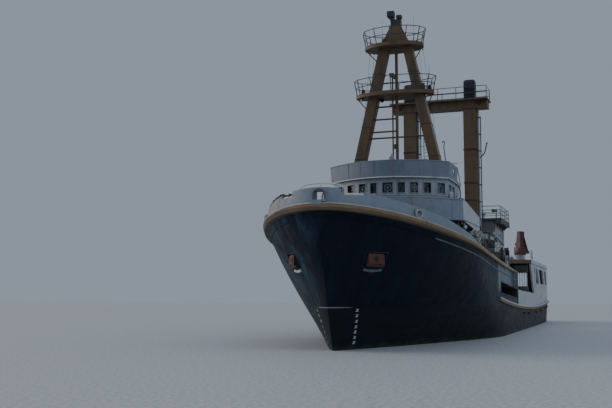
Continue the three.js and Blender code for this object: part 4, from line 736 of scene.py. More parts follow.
    def lathe(self, section: Sequence[tuple[float, float]], base: Point, steps: int = 24,
            axis: Point = (0, 0, 1)) -> list[Vert]:
        """Solid turned from a section of (radius, height) pairs that starts and ends on the axis.

        Args:
            section: The section.
            base: Foot of the axis.
            steps: Steps of a full turn.
            axis: Its direction.

        Returns:
            Its vertices.
        """
        line = [self.bm.verts.new((radius, 0, height)) for radius, height in section]
        edges = [self.bm.edges.new(pair) for pair in zip(line, line[1:])]
        made = bmesh.ops.spin(self.bm, geom=line + edges, cent=(0, 0, 0), axis=(0, 0, 1), angle=math.tau,
            steps=steps, use_merge=True)
        verts = list({v for g in made["geom_last"] if isinstance(g, Vert) for v in self._island(g)}
            | set(v for v in line if v.is_valid))
        bmesh.ops.remove_doubles(self.bm, verts=verts, dist=1e-5)
        verts = [v for v in verts if v.is_valid]
        faces = list({f for v in verts for f in v.link_faces})
        bmesh.ops.recalc_face_normals(self.bm, faces=faces)
        matrix = Matrix.Translation(base) @ Vector(axis).to_track_quat("Z", "Y").to_matrix().to_4x4()
        bmesh.ops.transform(self.bm, matrix=matrix, verts=verts)
        return self._keep(verts)

    @staticmethod
    def _island(vert: Vert) -> set[Vert]:
        """All vertices joined to one by edges."""
        found, edge_of_search = {vert}, [vert]
        while edge_of_search:
            current = edge_of_search.pop()
            for edge in current.link_edges:
                other = edge.other_vert(current)
                if other not in found:
                    found.add(other)
                    edge_of_search.append(other)
        return found

    def plate(self, outline: Sequence[Point], push: Point) -> list[Vert]:
        """Flat plate: an outline filled and extruded by a vector."""
        verts = [self.bm.verts.new(p) for p in outline]
        face = self.bm.faces.new(verts)
        grown = bmesh.ops.extrude_face_region(self.bm, geom=[face], use_keep_orig=True)["geom"]
        fresh = [v for v in grown if isinstance(v, Vert)]
        bmesh.ops.translate(self.bm, vec=push, verts=fresh)
        faces = list({f for v in verts + fresh for f in v.link_faces})
        bmesh.ops.recalc_face_normals(self.bm, faces=faces)
        return self._keep(verts + fresh)

    def finish(self, name: str, finishes: Finish | Sequence[Finish], body: str = SHIP, crease: float = 35.0,
            replaces: Sequence[str] = (), scaled: bool = True) -> bpy.types.Object:
        """Puts the shape in the scene as a finished piece.

        Args:
            name: Name of the piece.
            finishes: Its finish, or one for each part number used.
            body: CAD body that it rides on.
            crease: Angle in degrees above which an edge stays sharp.
            replaces: CAD nodes that the piece stands for.
            scaled: Whether the shape is still in the ship's own metres.

        Returns:
            The piece's object.
        """
        finishes = [finishes] if isinstance(finishes, Finish) else list(finishes)
        if scaled:
            bmesh.ops.scale(self.bm, vec=(MODEL_SCALE,) * 3, verts=self.bm.verts)
        limit = math.radians(crease)
        for face in self.bm.faces:
            face.smooth = True
        for edge in self.bm.edges:
            if len(edge.link_faces) != 2 or edge.calc_face_angle(0) > limit:
                edge.smooth = False
        mesh = bpy.data.meshes.new(name)
        self.bm.to_mesh(mesh)
        self.bm.free()
        piece = bpy.data.objects.new(name, mesh)
        bpy.context.scene.collection.objects.link(piece)
        for finish in finishes:
            mesh.materials.append(finish.material())
        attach(piece, body)
        if replaces:
            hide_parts(*replaces)
        log.info("%s: %d faces on %s", name, len(mesh.polygons), body)
        return piece


def skin(node: str, finishes: Finish | Sequence[Finish], sort: object = None, crease: float = 35.0,
        bevel: float = 0.0) -> bpy.types.Object:
    """Smooth-shaded copy of a CAD node, which it replaces.

    Args:
        node: The CAD node.
        finishes: Its finish, or several.
        sort: Function of a face's middle and normal that gives the finish's number.
        crease: Angle in degrees above which an edge stays sharp.
        bevel: Width of the rounding of its sharp edges, in model metres.

    Returns:
        The piece.
    """
    shape = Shape()
    shape.bm.from_mesh(frame["nodes"][node].data)
    bmesh.ops.remove_doubles(shape.bm, verts=shape.bm.verts, dist=1e-5)
    bmesh.ops.dissolve_degenerate(shape.bm, dist=1e-5, edges=shape.bm.edges)
    for face in shape.bm.faces:
        face.material_index = sort(face.calc_center_median() / MODEL_SCALE, face.normal) if sort else 0
    if bevel:
        bmesh.ops.dissolve_limit(shape.bm, angle_limit=math.radians(0.6), verts=shape.bm.verts,
            edges=shape.bm.edges, delimit={"MATERIAL"})
    body = frame["nodes"][node]["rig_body"]
    piece = shape.finish(f"{node}_skin", finishes, body, crease, replaces=(node,), scaled=False)
    if bevel:
        rounding = piece.modifiers.new("rounded_edges", "BEVEL")
        rounding.width = bevel
        rounding.segments = 2
        rounding.limit_method = "ANGLE"
        rounding.angle_limit = math.radians(crease)
        rounding.harden_normals = False
    return piece


class Setting:
    """Camera, floor and lights."""

    EYE = (70.0, 14.7, 2.86)
    LOOK = (-0.940, -0.342)
    PITCH = 6.1
    FOCUS_PIXELS = 870.0
    FRAME_WIDTH = 612

    def build(self) -> None:
        """Makes the camera at the photograph's low height, the floor at the waterline and soft lights."""
        self.camera()
        self.floor()
        self.lights()

    def camera(self) -> None:
        """Camera at the photograph's viewing angle."""
        data = bpy.data.cameras.new("bow_view")
        data.sensor_width = 36.0
        data.lens = self.FOCUS_PIXELS / self.FRAME_WIDTH * data.sensor_width
        data.clip_start, data.clip_end = 0.1, 400.0
        camera = bpy.data.objects.new("bow_view", data)
        bpy.context.scene.collection.objects.link(camera)
        camera.location = Vector(self.EYE) * MODEL_SCALE
        rise = math.tan(math.radians(self.PITCH)) * math.hypot(*self.LOOK)
        camera.rotation_euler = Vector((*self.LOOK, rise)).to_track_quat("-Z", "Y").to_euler()
        bpy.context.scene.camera = camera

    def floor(self) -> None:
        """Plain pale floor at the waterline."""
        shape = Shape()
        bmesh.ops.create_grid(shape.bm, x_segments=1, y_segments=1, size=160.0)
        mesh = bpy.data.meshes.new("floor")
        shape.bm.to_mesh(mesh)
        shape.bm.free()
        floor = bpy.data.objects.new("floor", mesh)
        bpy.context.scene.collection.objects.link(floor)
        mesh.materials.append(Finish("floor_pale", Slot.WHITE, (0.60, 0.62, 0.64), 0.6, 0.02).material())

    def lights(self) -> None:
        """Even light all round, a warm soft key from the starboard bow and a cool fill from port."""
        world = bpy.data.worlds.new("studio")
        bpy.context.scene.world = world
        world.use_nodes = True
        backdrop = world.node_tree.nodes["Background"]
        backdrop.inputs["Color"].default_value = (0.62, 0.73, 0.88, 1)
        backdrop.inputs["Strength"].default_value = 0.44
        for name, energy, colour, spread, away in (("key", 1.15, (1, 0.88, 0.78), 45.0,
                (0.05, -0.94, 0.34)), ("fill", 0.35, (0.85, 0.92, 1), 60.0, (0.55, 0.75, 0.6))):
            data = bpy.data.lights.new(name, "SUN")
            data.energy = energy
            data.color = colour
            data.angle = math.radians(spread)
            light = bpy.data.objects.new(name, data)
            light.rotation_euler = (-Vector(away)).to_track_quat("-Z", "Y").to_euler()
            bpy.context.scene.collection.objects.link(light)


class Probe:
    """Finds places on the surface of one CAD node, in the ship's own metres."""

    def __init__(self, node: str) -> None:
        """Builds the search tree of a node.

        Args:
            node: The CAD node.
        """
        mesh = frame["nodes"][node].data
        self.tree = BVHTree.FromPolygons([v.co for v in mesh.vertices],
            [tuple(p.vertices) for p in mesh.polygons])

    def meet(self, start: Point, way: Point) -> tuple[Vector, Vector]:
        """First place on the surface along a line, and the way that the surface faces there."""
        place, normal, _, _ = self.tree.ray_cast(Vector(start) * MODEL_SCALE, Vector(way).normalized())
        if place is None:
            raise ValueError(f"nothing is met from {tuple(start)} along {tuple(way)}")
        return place / MODEL_SCALE, normal

    def side(self, x: float, z: float, side: Side = Side.PORT) -> tuple[Vector, Vector]:
        """Outermost place at one side, at a distance x forward and a height z."""
        return self.meet((x, 9.0 * side, z), (0, -side, 0))

    def ahead(self, y: float, z: float) -> tuple[Vector, Vector]:
        """Foremost place at a distance y to port and a height z."""
        return self.meet((40.0, y, z), (-1, 0, 0))

    def floor(self, x: float, y: float, top: float = 30.0) -> float:
        """Height of the surface under a place."""
        return self.meet((x, y, top), (0, 0, -1))[0].z


HULL = Probe("hull")
WALL = Probe("shelter_side_port")
ROOF = Probe("shelter_roof")


def edge_line(xs: Sequence[float], inset: float, rise: object, drop: float = 0.15,
        probe: Probe = HULL) -> list[Vector]:
    """Line that follows the ship's side under the shelter deck edge, on the port side.

    Args:
        xs: Distances forward of midships, none past the turn of the bow.
        inset: How far inside the side it runs.
        rise: Function of x that gives its height over the deck edge.
        drop: How far under the deck edge the side is measured.
        probe: The surface that is measured.

    Returns:
        The points.
    """
    points = []
    for x in xs:
        place, normal = probe.side(x, sheer(x) - drop)
        level = Vector((normal.x, normal.y, 0)).normalized()
        points.append(Vector((place.x, place.y, sheer(x) + rise(x))) - level * inset)
    return points


def nose_line(ys: Sequence[float], inset: float, rise: object, drop: float = 0.15,
        probe: Probe = HULL) -> list[Vector]:
    """Line round the bow under the shelter deck edge, by distances y to port.

    Args:
        ys: Distances to port.
        inset: How far inside the side it runs.
        rise: Function of x that gives its height over the deck edge.
        drop: How far under the deck edge the side is measured.
        probe: The surface that is measured.

    Returns:
        The points.
    """
    points = []
    for y in ys:
        near, _ = HULL.ahead(y, sheer(STEM_HEAD) - drop - 0.6)
        place, normal = probe.ahead(y, sheer(near.x) - drop)
        level = Vector((normal.x, normal.y, 0)).normalized()
        points.append(Vector((place.x, place.y, sheer(place.x) + rise(place.x))) - level * inset)
    return points


def flipped(points: Iterable[Point]) -> list[Vector]:
    """The same points on the other side of the ship."""
    return [Vector((p[0], -p[1], p[2])) for p in points]


BULWARK_RISE = ((12.9, 0.06), (16.0, 0.4), (21.0, 0.67), (25.4, 0.73), (27.0, 0.78), (28.1, 0.86))


def bulwark_rise(x: float) -> float:
    """Height of the forecastle bulwark over the deck edge."""
    for (x0, v0), (x1, v1) in zip(BULWARK_RISE, BULWARK_RISE[1:]):
        if x <= x1:
            return lerp(v0, v1, max(0, (x - x0) / (x1 - x0)))
    return BULWARK_RISE[-1][1]


def facing(place: Point, normal: Point) -> Matrix:
    """Placement whose z axis points along a normal and whose x axis lies level."""
    up = Vector(normal).normalized()
    level = Vector((-up.y, up.x, 0))
    level = level.normalized() if level.length > 1e-4 else Vector((1, 0, 0))
    other = up.cross(level)
    turn = Matrix((level, other, up)).transposed().to_4x4()
    return Matrix.Translation(Vector(place)) @ turn


def rise_by(height: float) -> Vector:
    """Step straight up."""
    return Vector((0, 0, height))


def circle(centre: Point, radius: float, across: Point, upward: Point, count: int = 16) -> list[Vector]:
    """Points round a circle that lies in the plane of two unit vectors."""
    return [Vector(centre) + Vector(across) * (radius * math.cos(a))
        + Vector(upward) * (radius * math.sin(a)) for a in (math.tau * i / count for i in range(count))]


class Shape(Solid):
    """A mesh to which the fittings that are met with in several places can be added."""

    def post(self, x: float, y: float, low: float, high: float, radius: float, sides: int = 8) -> None:
        """Upright round bar."""
        self.rod((x, y, low), (x, y, high), radius, sides)

    def block(self, x: float, y: float, half_x: float, half_y: float, low: float, high: float,
            bevel: float = 0.0) -> None:
        """Upright block about a middle, by its half sizes."""
        self.box((x - half_x, y - half_y, low), (x + half_x, y + half_y, high), bevel)

    def chest(self, place: Point, half_x: float, half_y: float, top: float, lid: float = 0.08,
            bevel: float = 0.04, lap: float = 0.05) -> None:
        """Locker or hatch on a place, with a lid that laps over its sides."""
        x, y, floor = place
        self.block(x, y, half_x, half_y, floor, top, bevel)
        self.block(x, y, half_x + lap, half_y + lap, top, top + lid, 0.02)

    def loop(self, centre: Point, radius: float, tilt: Point, count: int, thickness: float,
            sides: int = 5) -> None:
        """Ring whose axis leans along a vector."""
        axis = Vector(tilt).normalized()
        across = axis.orthogonal().normalized()
        self.ring(centre, radius, across, axis.cross(across), count, thickness, sides)

    def ladder(self, foot: Point, head: Point, across: Point, width: float = 0.4,
            pitch: float = 0.3) -> None:
        """Ladder with round rungs.

        Args:
            foot: Middle of its foot.
            head: Middle of its head.
            across: Unit vector along the rungs.
            width: Distance between its stringers.
            pitch: Distance between its rungs.
        """
        low, high, reach = Vector(foot), Vector(head), Vector(across) * width / 2
        for sign in (-1, 1):
            self.rod(low + reach * sign, high + reach * sign, 0.028, 6)
        count = int((high - low).length / pitch)
        for i in range(1, count):
            step = low.lerp(high, i / count)
            self.rod(step - reach, step + reach, 0.018, 5)

    def rail(self, points: Sequence[Point], height: float = 1.0,
            levels: Sequence[float] = (0.35, 0.68, 1.0)) -> None:
        """Guard rail with a stanchion at each point of its foot line."""
        up = Vector((0, 0, 1))
        for point in points:
            self.rod(Vector(point), Vector(point) + up * height, 0.03, 6)
            self.rod(Vector(point), Vector(point) + up * 0.03, 0.07)
        for level in levels:
            self.sweep([Vector(p) + up * level * height for p in points], 0.022, 5)

    def floodlight(self, place: Point, aim: Point, size: float = 0.24) -> None:
        """Square floodlight on a yoke; its housing takes part 0 and its lens part 1."""
        matrix = facing(place, aim)
        half = size / 2
        self.part = 0
        self.box((-half, -half, -half * 1.2), (half, half, 0), 0.02, matrix)
        self.box((-half - 0.02, -half - 0.02, -0.03), (half + 0.02, half + 0.02, 0.02), 0.01, matrix)
        for sign in (-1, 1):
            self.box((sign * (half + 0.03) - 0.01, -0.02, -half * 1.6),
                (sign * (half + 0.03) + 0.01, 0.02, 0), 0, matrix)
        self.box((-half - 0.04, -0.02, -half * 1.7), (half + 0.04, 0.02, -half * 1.5), 0, matrix)
        self.part = 1
        self.box((-half + 0.02, -half + 0.02, 0.015), (half - 0.02, half - 0.02, 0.03), 0.008, matrix)
        self.part = 0

    def porthole(self, place: Point, normal: Point, radius: float = 0.19) -> None:
        """Round scuttle with bolts; its rim takes part 0 and its glass part 1."""
        matrix = facing(place, normal)
        across, upward = matrix.col[0].to_3d(), matrix.col[1].to_3d()
        out = Vector(normal).normalized()
        self.part = 0
        self.ring(Vector(place) + out * 0.01, radius, across, upward, 18, 0.03)
        for spot in circle(Vector(place) + out * 0.01, radius + 0.05, across, upward, 8):
            self.rod(spot, spot + out * 0.03, 0.012, 5)
        self.part = 1
        self.lathe([(0, 0.004), (radius, 0.004), (radius, 0.014), (0, 0.02)], place, 20, out)
        self.part = 0

    def mushroom(self, x: float, y: float, foot: float, radius: float = 0.22, height: float = 0.7) -> None:
        """Mushroom ventilator with a flange and a screw spindle."""
        self.lathe([(0, 0), (radius * 0.85, 0), (radius * 0.85, 0.04), (radius * 0.55, 0.06),
            (radius * 0.55, height * 0.7), (radius, height * 0.72), (radius * 1.04, height * 0.8),
            (radius * 0.7, height * 0.95), (0, height)], (x, y, foot), 18)
        self.post(x, y, foot + height, foot + height + 0.07, 0.02, 6)
        self.ring((x, y, foot + height + 0.07), 0.07, (1, 0, 0), (0, 1, 0), 10, 0.012, 5)

    def life_ring(self, place: Point, normal: Point, radius: float = 0.3) -> None:
        """Life ring on two hooks; the ring takes part 0 and its four bands part 1."""
        matrix = facing(place, normal)
        across, upward = matrix.col[0].to_3d(), matrix.col[1].to_3d()
        middle = Vector(place) + Vector(normal).normalized() * 0.08
        self.part = 0
        self.ring(middle, radius, across, upward, 24, 0.07, 8)
        self.part = 1
        for i in range(4):
            turn = math.tau * (i + 0.5) / 4
            arc = [middle + across * (radius * math.cos(turn + d)) + upward * (radius * math.sin(turn + d))
                for d in (-0.16, 0, 0.16)]
            self.sweep(arc, 0.078, 8)
        self.part = 0

    def coil(self, centre: Point, radius: float, turns: int, thickness: float, dice: random.Random) -> None:
        """Coiled rope lying in turns on top of one another, none quite true."""
        for i in range(turns):
            tilt = (dice.uniform(-0.1, 0.1), dice.uniform(-0.1, 0.1), 1)
            shift = (dice.uniform(-0.04, 0.04), dice.uniform(-0.04, 0.04), thickness * (1 + 1.7 * i))
            self.loop(Vector(centre) + Vector(shift), radius * dice.uniform(0.86, 1.04), tilt, 20,
                thickness, 6)

    def chain(self, start: Point, end: Point, length: float = 0.26, thick: float = 0.03) -> None:
        """Stud chain with its links set across one another in turn."""
        a, b = Vector(start), Vector(end)
        way = (b - a).normalized()
        flat = way.orthogonal().normalized()
        other = way.cross(flat)
        count = int((b - a).length / (length * 0.76))
        for i in range(count):
            middle = a.lerp(b, (i + 0.5) / count)
            wide = flat if i % 2 else other
            points = [middle + way * (length / 2 - thick) * math.cos(t) + wide * length * 0.28 * math.sin(t)
                for t in (math.tau * k / 10 for k in range(10))]
            self.sweep(points, thick, 5, closed=True)


@dataclass(frozen=True)
class Hull:
    """The decked shell with its bead, marks, hawse lips and stern fittings."""

    bead_drop: float = 0.62
    bead_radius: float = 0.045
    marks: tuple[float, ...] = (2.15, 1.85, 1.55, 1.25, 0.97, 0.67, 0.39)
    pocket: tuple[float, float, float] = (25.2, 2.3, 4.82)
    pocket_turn: float = -36.0

    def build(self) -> None:
        """Skins the hull by region and adds what is welded to it."""
        skin("hull", (HULL_SIDE, HULL_BOTTOM, DECK_STEEL, RECESS), self.region)
        skin("upper_strake", RUB_BUFF)
        for side in Side:
            skin(f"lower_strake_{side.word}", STRAKE_BUFF)
            # Anchor faces that do not face outboard take the near-black recess finish, painted shade inside
            # the pocket.
            skin(f"anchor_{side.word}", (ANCHOR_RED, RECESS), lambda _, normal,
                s=side: int(normal.y * s < 0.7), bevel=0.012)
        self.beads()
        self.draught_marks()
        self.pockets()
        self.side_fittings()
        self.bottom_fittings()

    def in_pocket(self, x: float, y: float) -> tuple[float, float]:
        """Distance along and out of the anchor pocket on y's side."""
        turn = math.radians(self.pocket_turn)
        dx, dy = x - self.pocket[0], abs(y) - self.pocket[1]
        return math.cos(turn) * dx + math.sin(turn) * dy, -math.sin(turn) * dx + math.cos(turn) * dy

    def region(self, middle: Vector, normal: Vector) -> int:
        """Finish number of a face: 3 in a recess, 2 on a deck, 1 below the waterline and 0 on the side."""
        x, y, z = middle
        along, out = self.in_pocket(x, y)
        if abs(along) < 0.72 and abs(z - self.pocket[2]) < 0.42 and -0.8 < out < -0.03:
            return 3
        if -4.62 < x < 5.62 and 2.7 < z < 4.05 and abs(y) < 6.15:
            return 3
        if normal.z > 0.6 and z > 0.1:
            return 2
        return 1 if z < 0.0 else 0

    def beads(self) -> None:
        """Half-round bead under the rubbing strake, and the caps along both strakes; the bead's pale blue
        after stretch and the cream top edge of the upper strake are painted highlight.
        """
        shape = Shape()
        drop = self.bead_drop
        fore = edge_line(steps(22.0, 26.4, 9), 0, lambda x: -drop, drop)
        fore += nose_line(steps(2.6, 0, 8), 0, lambda x: -drop, drop)
        shape.sweep(fore + flipped(fore)[-2::-1], self.bead_radius, 8)
        # After stretch of the bead in pale blue: a painted highlight on a bead whose paint is the hull's
        # navy.
        shape.part = 1
        aft = edge_line(steps(-5.2, 22.0, 38), 0, lambda x: -drop, drop)
        for line in (aft, flipped(aft)):
            shape.sweep(line, self.bead_radius, 8)
        shape.finish("side_bead", (HULL_SIDE, PALE_BLUE))
        caps, edge = Shape(), Shape()
        # Cream tube along the upper strake's top edge: a painted highlight of the light on its top face.
        probe = Probe("upper_strake")
        port = edge_line(steps(-3.55, 26.0, 44), 0.07, lambda x: 0, 0.08, probe)
        port += nose_line(steps(2.9, 0, 10), 0.07, lambda x: 0, 0.08, probe)
        edge.sweep(port + flipped(port)[-2::-1], 0.06)
        wide = edge_line(steps(-3.55, 11.0, 22), 0.1, lambda x: 0.01, 0.08, probe)
        for line in (wide, flipped(wide)):
            edge.sweep(line, 0.1, 8)
        edge.finish("strake_top_edge", STRAKE_HIGHLIGHT)
        for side in Side:
            probe = Probe(f"lower_strake_{side.word}")
            line = [probe.side(x, main_deck(x) - 0.16, side)[0] for x in steps(-37.4, 6.7, 40)]
            caps.sweep([p + Vector((0, -0.03 * side, 0.13)) for p in line], 0.06, 8)
        caps.finish("strake_caps", RAIL_WHITE)

    def draught_marks(self) -> None:
        """Plain ticks up the stem and the stern quarters, where the draught is read."""
        shape = Shape()
        for side in Side:
            for number, z in enumerate(self.marks):
                place = facing(*HULL.ahead(lerp(1.14, 0.75, number / 6) * side, z))
                shape.box((-0.11, -0.075, -0.01), (0.11, -0.04, 0.008), 0, place)
                shape.box((-0.09, 0.04, -0.01), (0.11, 0.075, 0.008), 0, place)
                shape.box((-0.02, -0.05, -0.01), (0.05, 0.05, 0.008), 0, place)
                shape.box((-0.1, -0.05, -0.01), (0.1, 0.05, 0.008), 0,
                    facing(*HULL.side(-36.2, z + 0.25, side)))
        shape.finish("draught_ticks", MARK_WHITE)

    def pockets(self) -> None:
        """Lip under each anchor pocket, the pocket's rim and the plate behind the anchor."""
        lip, plate = Shape(), Shape()
        for side in Side:
            turn = Matrix.Rotation(math.radians(self.pocket_turn) * side, 4, "Z")
            place = Matrix.Translation((self.pocket[0], self.pocket[1] * side, self.pocket[2])) @ turn
            out = (turn @ Vector((0, side, 0))).to_3d()

            def on_side(u: float, w: float) -> Vector:
                """Place on the hull in front of the pocket."""
                return HULL.meet(place @ Vector((u, 3.0 * side, w)), -out)[0]

            # The port lip takes the pale blue finish: painted shade on a lip as white as the starboard one.
            lip.part = 0 if side is Side.STARBOARD else 2
            lip.sweep([on_side(u, -0.5 - 0.06 * math.cos(u * 2.4)) for u in steps(-0.6, 0.6, 9)], 0.085, 8)
            lip.part = 1
            for sign in (-1, 1):
                lip.sweep([on_side(u, 0.4 * sign) for u in steps(-0.7, 0.7, 8)], 0.022)
                lip.sweep([on_side(0.7 * sign, w) for w in steps(-0.4, 0.4, 5)], 0.022)
            plate.part = 0
            plate.box((-0.66, -0.62 * side, -0.36), (0.66, -0.56 * side, 0.36), 0.01, place)
            first, last = (-0.42, 0.54) if side is Side.PORT else (-0.1, 0.62)
            plate.box((first, 0.15 * side, -0.22), (last, 0.19 * side, 0.33), 0.01, place)
            plate.part = 1
            plate.lathe([(0, 0), (0.15, 0), (0.15, 0.012), (0, 0.015)],
                place @ Vector(((first + last) / 2, 0.19 * side, 0.05)), 16, out)
        lip.finish("hawse_lips", (MARK_WHITE, RECESS, PALE_BLUE))
        plate.finish("hawse_plates", (ANCHOR_RED, RUBBER))

    def side_fittings(self) -> None:
        """Scupper spouts, side port frames, the stern roller and the sills of the quarter."""
        shape = Shape()
        for side in Side:
            for x in (-9, -13.0, -20.0, -26.0, -32.0, -35.5):
                z = main_deck(x) - 0.62
                place, normal = HULL.side(x, z, side)
                shape.sweep([place - normal * 0.03, place + normal * 0.1,
                    place + normal * 0.14 + rise_by(-0.12)], 0.055, 8)
            rows = [[(x, lerp(a, b, (x + 4.6) / 10.2)) for x in steps(-4.6, 5.6, 12)]
                for a, b in ((2.76, 3.16), (3.54, 4.04))]
            for row in rows:
                shape.sweep([HULL.side(x, z + (0.06 if z > 3.5 else -0.06), side)[0] for x, z in row],
                    0.035)
            for x, z0, z1 in ((-4.72, 2.74, 3.54), (5.72, 3.18, 4.06)):
                shape.sweep([HULL.side(x, z, side)[0] for z in (z0, (z0 + z1) / 2, z1)], 0.035)
        shape.finish("side_fittings", HULL_SIDE)
        roller = Shape()
        roller.lathe([(0, -2.1), (0.11, -2.1), (0.13, -2), (0.13, 2), (0.11, 2.1), (0, 2.1)],
            (-37.5, 0, 0.05), 20, (0, 1, 0))
        for side in Side:
            roller.box((-37.7, 2.1 * side - 0.06, -0.35), (-37.35, 2.1 * side + 0.06, 0.3), 0.02)
            roller.sweep([(x, 2.28 * side, main_deck(x) + 0.06) for x in steps(-37.6, -29.4, 10)], 0.07, 8)
        roller.finish("stern_roller", GEAR)

    def bottom_fittings(self) -> None:
        """Zinc anodes, bilge keels, propeller and rudder."""
        anodes, keels, zincs = Shape(), Shape(), Shape()
        for side in Side:
            for x, z in ((-31, -2.4), (-28.5, -2.6), (-26, -2.9), (-12, -3.6), (0, -3.6), (12, -3.4)):
                anodes.box((-0.3, -0.07, -0.02), (0.3, 0.07, 0.05), 0.02, facing(*HULL.side(x, z, side)))
            for x in steps(-14, 8, 12):
                keels.box((-1.02, -0.015, -0.05), (1.02, 0.015, 0.3), 0, facing(*HULL.side(x, -4.1, side)))
            for z in (-2.6, -3.6, -4.4):
                zincs.block(-35.05, 0.13 * side, 0.25, 0.03, z - 0.07, z + 0.07, 0.015)
        anodes.finish("hull_anodes", ZINC)
        keels.finish("bilge_keels", HULL_BOTTOM)
        skin("propeller", BRONZE)
        skin("rudder", HULL_BOTTOM)
        zincs.finish("rudder_anodes", ZINC, body_of("rudder"))


@dataclass(frozen=True)
class Forecastle:
    """Bulwark with its rails and fairleads, the windlass and the gear on the fore deck."""

    cap_inset: float = 0.2
    cap_radius: float = 0.055
    side_lead: tuple[float, float, float] = (24.0, 4.336, 7.31)
    bow_lead: tuple[float, float] = (0.2, 8.06)
    windlass: tuple[float, float] = (22.6, 7.75)
    heap: tuple[float, float] = (11.9, 5.5)

    def build(self) -> None:
        """Skins the forecastle's nodes and adds its gear."""
        # The bulwark's blue-grey is its white paint in painted shade, with painted sunset light on the
        # starboard bow.
        skin("forward_bulwark", BULWARK_GREY)
        self.caps()
        self.leads()
        self.stays()
        self.windlass_gear()
        self.bitts()
        self.deck_gear()
        self.rope_heap()

    def caps(self) -> None:
        """Capping of the bulwark, the hoop at the bow and the lashings on the starboard bow."""
        shape, hoop, rope = Shape(), Shape(), Shape()
        inset = self.cap_inset
        line = edge_line(steps(13.1, 26.7, 26), inset, bulwark_rise)
        for points in (line, flipped(line), nose_line(steps(1.05, -1.35, 11), inset, bulwark_rise)):
            shape.sweep(points, self.cap_radius, 8)
        shape.part = 1
        for low, high in ((1.5, 2.75), (-1.55, -2.6)):
            shape.sweep(nose_line(steps(low, high, 4), inset - 0.06, lambda x: 8.12 - sheer(x)), 0.075)
        shape.finish("bulwark_caps", (GREY, MARK_WHITE))
        line = nose_line(steps(-0.85, 1.15, 9), inset, lambda x: bulwark_rise(x) + 0.24)
        feet = [end + Vector((0, out, -0.24)) for end, out in ((line[0], -0.3), (line[-1], 0.3))]
        hoop.sweep([feet[0], *line, feet[1]], 0.032)
        middle = nose_line([0.2], inset, bulwark_rise)[0]
        hoop.rod(middle, middle + rise_by(0.36), 0.035, 6)
        hoop.finish("bow_hoop", RAIL_WHITE)

        def lashing_rise(x: float) -> float:
            """Height of the lashing over the deck edge."""
            return 8.2 - sheer(x) if x > 26.9 else bulwark_rise(x) + 0.12

        line = edge_line(steps(20.5, 26.4, 26), inset - 0.05, lambda x: bulwark_rise(x) + 0.12)
        line = flipped(line + nose_line(steps(2.65, 1.65, 6), inset - 0.05, lashing_rise))
        rope.sweep(line, 0.075, 7)
        for place in line[::2]:
            rope.ball(place, 0.11, rings=5)
        rope.finish("starboard_lashing", RUBBER)

    def leads(self) -> None:
        """Rims of the bow fairlead and of the oval one on each side."""
        shape = Shape()
        x, y, z = self.side_lead
        turn = math.radians(62.0)
        for side in Side:
            out = Vector((math.cos(turn), math.sin(turn) * side, 0))
            along = Vector((-math.sin(turn), math.cos(turn) * side, 0))
            centre = Vector((x, y * side, z)) + out * 0.17
            points = [centre + along * (0.27 * math.cos(t)) + rise_by(0.21 * math.sin(t))
                for t in (math.tau * i / 18 for i in range(18))]
            shape.sweep(points, 0.05, 8, closed=True)
        y, z = self.bow_lead
        arch = [(28.24, y + 0.31 * math.cos(t), z + 0.08 + 0.2 * math.sin(t)) for t in steps(math.pi, 0, 9)]
        shape.part = 1
        shape.sweep([(28.24, y - 0.31, z - 0.22), *arch, (28.24, y + 0.31, z - 0.22)], 0.045, 8)
        shape.finish("fairlead_rims", (GREY_LIGHT, RAIL_DARK))

    def stays(self) -> None:
        """Brackets that hold the bulwark up from inside."""
        shape = Shape()
        for x in steps(14.6, 25.8, 10):
            corners = ((0.34, bulwark_rise(x) - 0.12), (0.22, 0), (0.75, 0))
            outline = [edge_line([x], inset, lambda _, r=rise: r)[0] for inset, rise in corners]
            for points in (outline, flipped(outline)):
                shape.plate(points, (0.03, 0, 0))
        shape.finish("bulwark_stays", GREY)

    def windlass_gear(self) -> None:
        """Windlass skins, its chains, hawse pipes and brake gear."""
        skin("windlass_frame", GREY)
        skin("windlass_drum", GEAR)
        x, z = self.windlass
        chains, gear = Shape(), Shape()
        for side in Side:
            deck = HULL.floor(24.5, 1.4 * side)
            chains.chain((x + 0.46, 0.95 * side, z + 0.34), (24.5, 1.4 * side, deck + 0.12))
            gear.lathe([(0, 0), (0.42, 0), (0.42, 0.05), (0.3, 0.22), (0.22, 0.24), (0, 0.1)],
                (24.6, 1.42 * side, deck), 20, (0.25, 0.1 * side, 1))
            gear.post(x - 0.62, 0.62 * side, 6.98, 8.1, 0.035, 6)
            gear.ring((x - 0.62, 0.62 * side, 8.1), 0.16, (0, 1, 0), (0, 0, 1), 14, 0.02)
            for dx in (-0.4, 0.4):
                for dz in (7.05, 7.4):
                    gear.rod((x + dx, 1.59 * side, dz), (x + dx, 1.64 * side, dz), 0.03, 6)
        gear.box((x - 0.42, -0.34, 7.3), (x + 0.35, 0.34, 7.95), 0.05)
        chains.finish("anchor_chains", GEAR)
        gear.finish("windlass_gear", GREY)

    def bitts(self) -> None:
        """Bitt skins, each post with a cap, and rope turned about the port pair."""
        caps, rope = Shape(), Shape()
        for side in Side:
            skin(f"bitts_{side.word}", GEAR)
            deck = sheer(19.6)
            for dx in (-0.32, 0.32):
                caps.lathe([(0, 0.6), (0.17, 0.6), (0.18, 0.63), (0.14, 0.68), (0, 0.7)],
                    (19.6 + dx, 4.4 * side, deck), 16)
                for i in range(4):
                    rope.ring((19.6 + dx, 4.4 * side, deck + 0.2 + 0.075 * i), 0.17, (1, 0, 0), (0, 1, 0),
                        14, 0.035)
        caps.finish("bitt_caps", GEAR)
        rope.finish("bitt_turns", ROPE)

